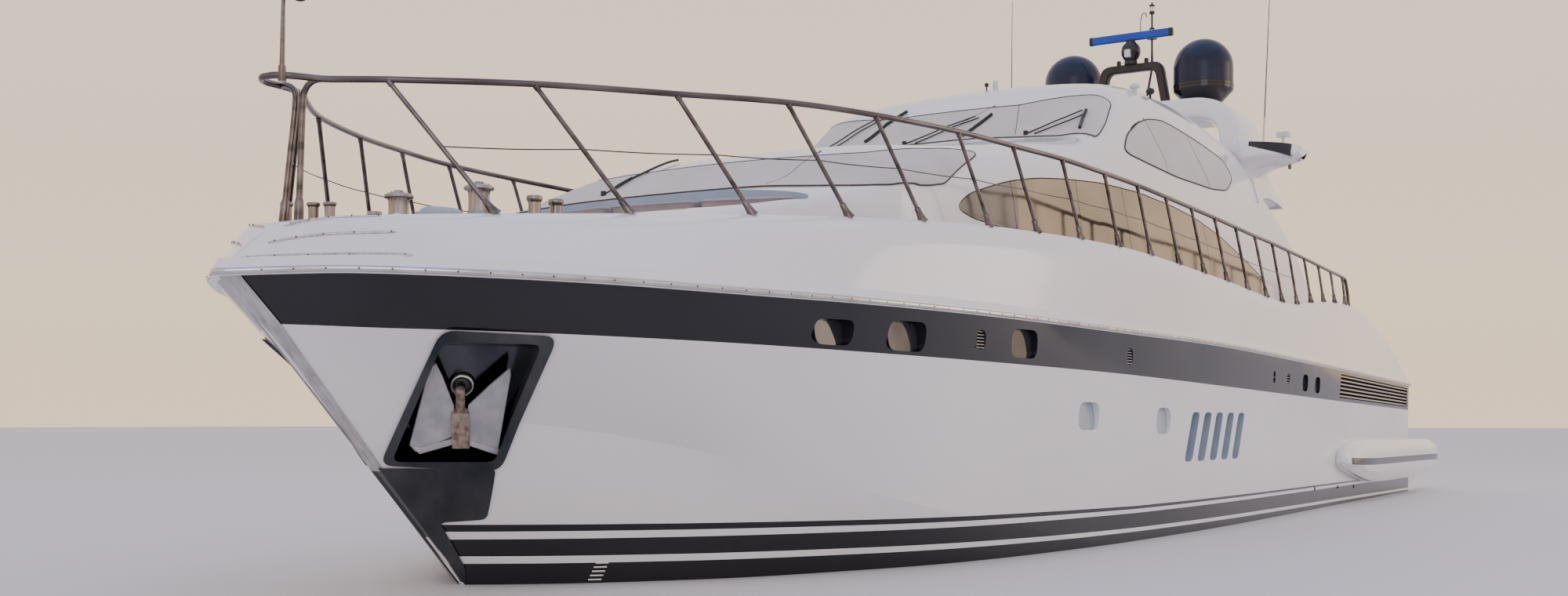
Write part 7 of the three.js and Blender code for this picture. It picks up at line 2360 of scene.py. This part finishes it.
for side, sign in SIDES:
    y = ENGINE_Y * sign
    block = prism(f"engine_block_{side}", [(y + u, v) for u, v in ENGINE_SECTION], -7.7, -5.6, "x")
    settle(coat(smooth_over(block, 30), engine_paint), "engine_" + side)
    gearbox_ring = [(y + u * 0.6, v * 0.7) for u, v in ENGINE_SECTION]
    gearbox = prism(f"engine_gearbox_{side}", gearbox_ring, -8.55, -7.68, "x")
    settle(coat(smooth_over(gearbox, 30), engine_paint), "engine_" + side)
    for i, offset in enumerate((-0.34, 0.34)):
        cover_ring = [(y + offset + u, v) for u, v in VALVE_COVER]
        cover = prism(f"engine_valve_cover_{i + 1}_{side}", cover_ring, -7.5, -5.8, "x")
        settle(coat(smooth_over(cover, 30), drum_steel), "engine_" + side)
    trunk = tube(f"engine_air_trunk_{side}", [(x, y, z) for x, z in AIR_TRUNK], 0.1, 18)
    settle(coat(smooth_over(trunk, 60), engine_paint))
    for i, (x, offset) in enumerate(MOUNT_PLACES):
        mount = box_body(
            f"engine_mount_{i + 1}_{side}", x - MOUNT["half"], x + MOUNT["half"],
            y + offset - MOUNT["half"], y + offset + MOUNT["half"], MOUNT["z0"], MOUNT["z1"],
        )
        settle(coat(mount, bolt_steel))

# Shafts, propellers and rudders.
# Each shaft runs down through the hull to a four-bladed propeller in cast bronze, ahead of
# a balanced bronze rudder on its own stock.
bronze = new_material("cast_bronze", (0.5, 0.33, 0.14), 0.35, 0.9)
mottle(bronze, (0.36, 0.24, 0.11), (0.6, 0.42, 0.2), 4.0, roughness=(0.25, 0.5))
roughen(bronze, 40.0, 0.0012, detail=4.0)
DRIVE = {
    "y": 1.35, "fore": Vector((-7.2, 0, -0.2)), "prop": Vector((-12.35, 0, -1.42)),
    "radius": 0.45, "blades": 4,
}
HUB_PROFILE = [(0.13, 0.085), (0.1, 0.1), (-0.1, 0.095), (-0.16, 0.06), (-0.19, 0.02)]
BLADE_SECTIONS = [
    {"share": 0.12, "chord": 0.14, "twist": 62}, {"share": 0.3, "chord": 0.24, "twist": 48},
    {"share": 0.55, "chord": 0.33, "twist": 36}, {"share": 0.8, "chord": 0.3, "twist": 28},
    {"share": 0.95, "chord": 0.17, "twist": 24}, {"share": 1.0, "chord": 0.05, "twist": 23},
]
drive_run = (DRIVE["prop"] - DRIVE["fore"]).normalized()
for side, _ in SIDES:
    shaft_node = bpy.data.objects.get("shaft_" + side)
    if shaft_node:
        for slot in shaft_node.material_slots:
            slot.material = brushed_steel


def blade_rings(turn):
    """Sections of a twisted propeller blade, from its root to its tip."""
    rings = []
    for row in BLADE_SECTIONS:
        reach = DRIVE["radius"] * row["share"]
        angle = math.radians(row["twist"])
        ring = []
        for roll in turns(12):
            along = row["chord"] / 2 * math.cos(roll)
            thick = (0.022 * (1.1 - row["share"]) + 0.004) * math.sin(roll)
            axial = along * math.sin(angle) + thick * math.cos(angle)
            around = along * math.cos(angle) - thick * math.sin(angle)
            spin = turn + around / max(reach, 0.06)
            ring.append((axial, reach * math.cos(spin), reach * math.sin(spin)))
        rings.append(ring)
    return rings


tilt_of_shaft = Vector((1, 0, 0)).rotation_difference(-drive_run).to_matrix().to_4x4()
for side, sign in SIDES:
    seat_of_prop = Matrix.Translation((DRIVE["prop"].x, DRIVE["y"] * sign, DRIVE["prop"].z)) @ tilt_of_shaft
    hub = turned_along(f"propeller_hub_{side}", Vector((0, 0, 0)), Vector((1, 0, 0)), HUB_PROFILE, 24)
    hub.data.transform(seat_of_prop)
    settle(coat(smooth_over(hub, 50), bronze), "propeller_" + side, on="propeller_" + side)
    for k, turn in enumerate(turns(DRIVE["blades"])):
        blade = loft(f"propeller_blade_{k + 1}_{side}", blade_rings(turn))
        blade.data.transform(seat_of_prop)
        settle(coat(smooth_over(blade, 50), bronze), "propeller_" + side, on="propeller_" + side)

RUDDER = {"x": -13.35, "y": 1.35, "thick": 0.042, "stock_foot": -0.95, "stock_top": -0.72}
RUDDER_SECTIONS = [
    {"z": -1.75, "fore": 0.1, "aft": -0.3}, {"z": -1.72, "fore": 0.13, "aft": -0.34},
    {"z": -0.93, "fore": 0.19, "aft": -0.42}, {"z": -0.9, "fore": 0.16, "aft": -0.39},
]
for side, sign in SIDES:
    y = RUDDER["y"] * sign
    rings = []
    for row in RUDDER_SECTIONS:
        middle_x = RUDDER["x"] + (row["fore"] + row["aft"]) / 2
        reach = (row["fore"] - row["aft"]) / 2
        ring = []
        for turn in turns(24):
            thick = RUDDER["thick"] * math.sin(turn) * (0.6 + 0.4 * math.cos(turn))
            ring.append((middle_x + reach * math.cos(turn), y + thick, row["z"]))
        rings.append(ring)
    foil = loft(f"rudder_blade_{side}", rings)
    settle(coat(smooth_over(foil, 50), bronze), "rudder_" + side, on="rudder_" + side)
    stock_line = [(RUDDER["x"], y, RUDDER["stock_foot"]), (RUDDER["x"], y, RUDDER["stock_top"])]
    stock = tube(f"rudder_stock_{side}", stock_line, 0.04, 18)
    settle(coat(smooth_over(stock, 60), brushed_steel), "rudder_" + side, on="rudder_" + side)

# Small marks and outlets on the hull.
# Draught marks are short painted bars below the shield. Cooling water leaves by small
# outlets near the waterline aft.
mark_white = new_material("mark_white", (0.75, 0.75, 0.75), 0.4)
mottle(mark_white, (0.7, 0.7, 0.7), (0.8, 0.8, 0.8), 10.0, roughness=(0.35, 0.5))
OUTLETS = [
    {"name": "outlet_fore", "x": -4.74, "z": 0.4}, {"name": "outlet_middle", "x": -6.76, "z": 0.36},
    {"name": "outlet_aft", "x": -8.29, "z": 0.32},
]
for row in OUTLETS:
    y = hull_side(row["x"], row["z"])
    ring = ring_of(row["name"] + "_port", (row["x"], y + 0.002, row["z"]), (0, 1, 0), 0.03, 0.009, 24, 8)
    coat(smooth_over(ring, 80), dark_glass_and_bore_shade)
    settle_pair(ring)
MARKS = {"x": 13.66, "z": 0.13, "slant": 0.1, "half": 0.05}
for i, z in enumerate((0.04, 0.085, 0.13, 0.175, 0.22)):
    x = MARKS["x"] + (z - MARKS["z"]) * MARKS["slant"]
    ends = [(end_x, hull_side(end_x, z) + 0.001, z) for end_x in (x - MARKS["half"], x + MARKS["half"])]
    mark = bar_along(f"draught_mark_{i + 1}_port", ends, 0.006, 0.018)
    coat(mark, mark_white)
    settle_pair(mark)
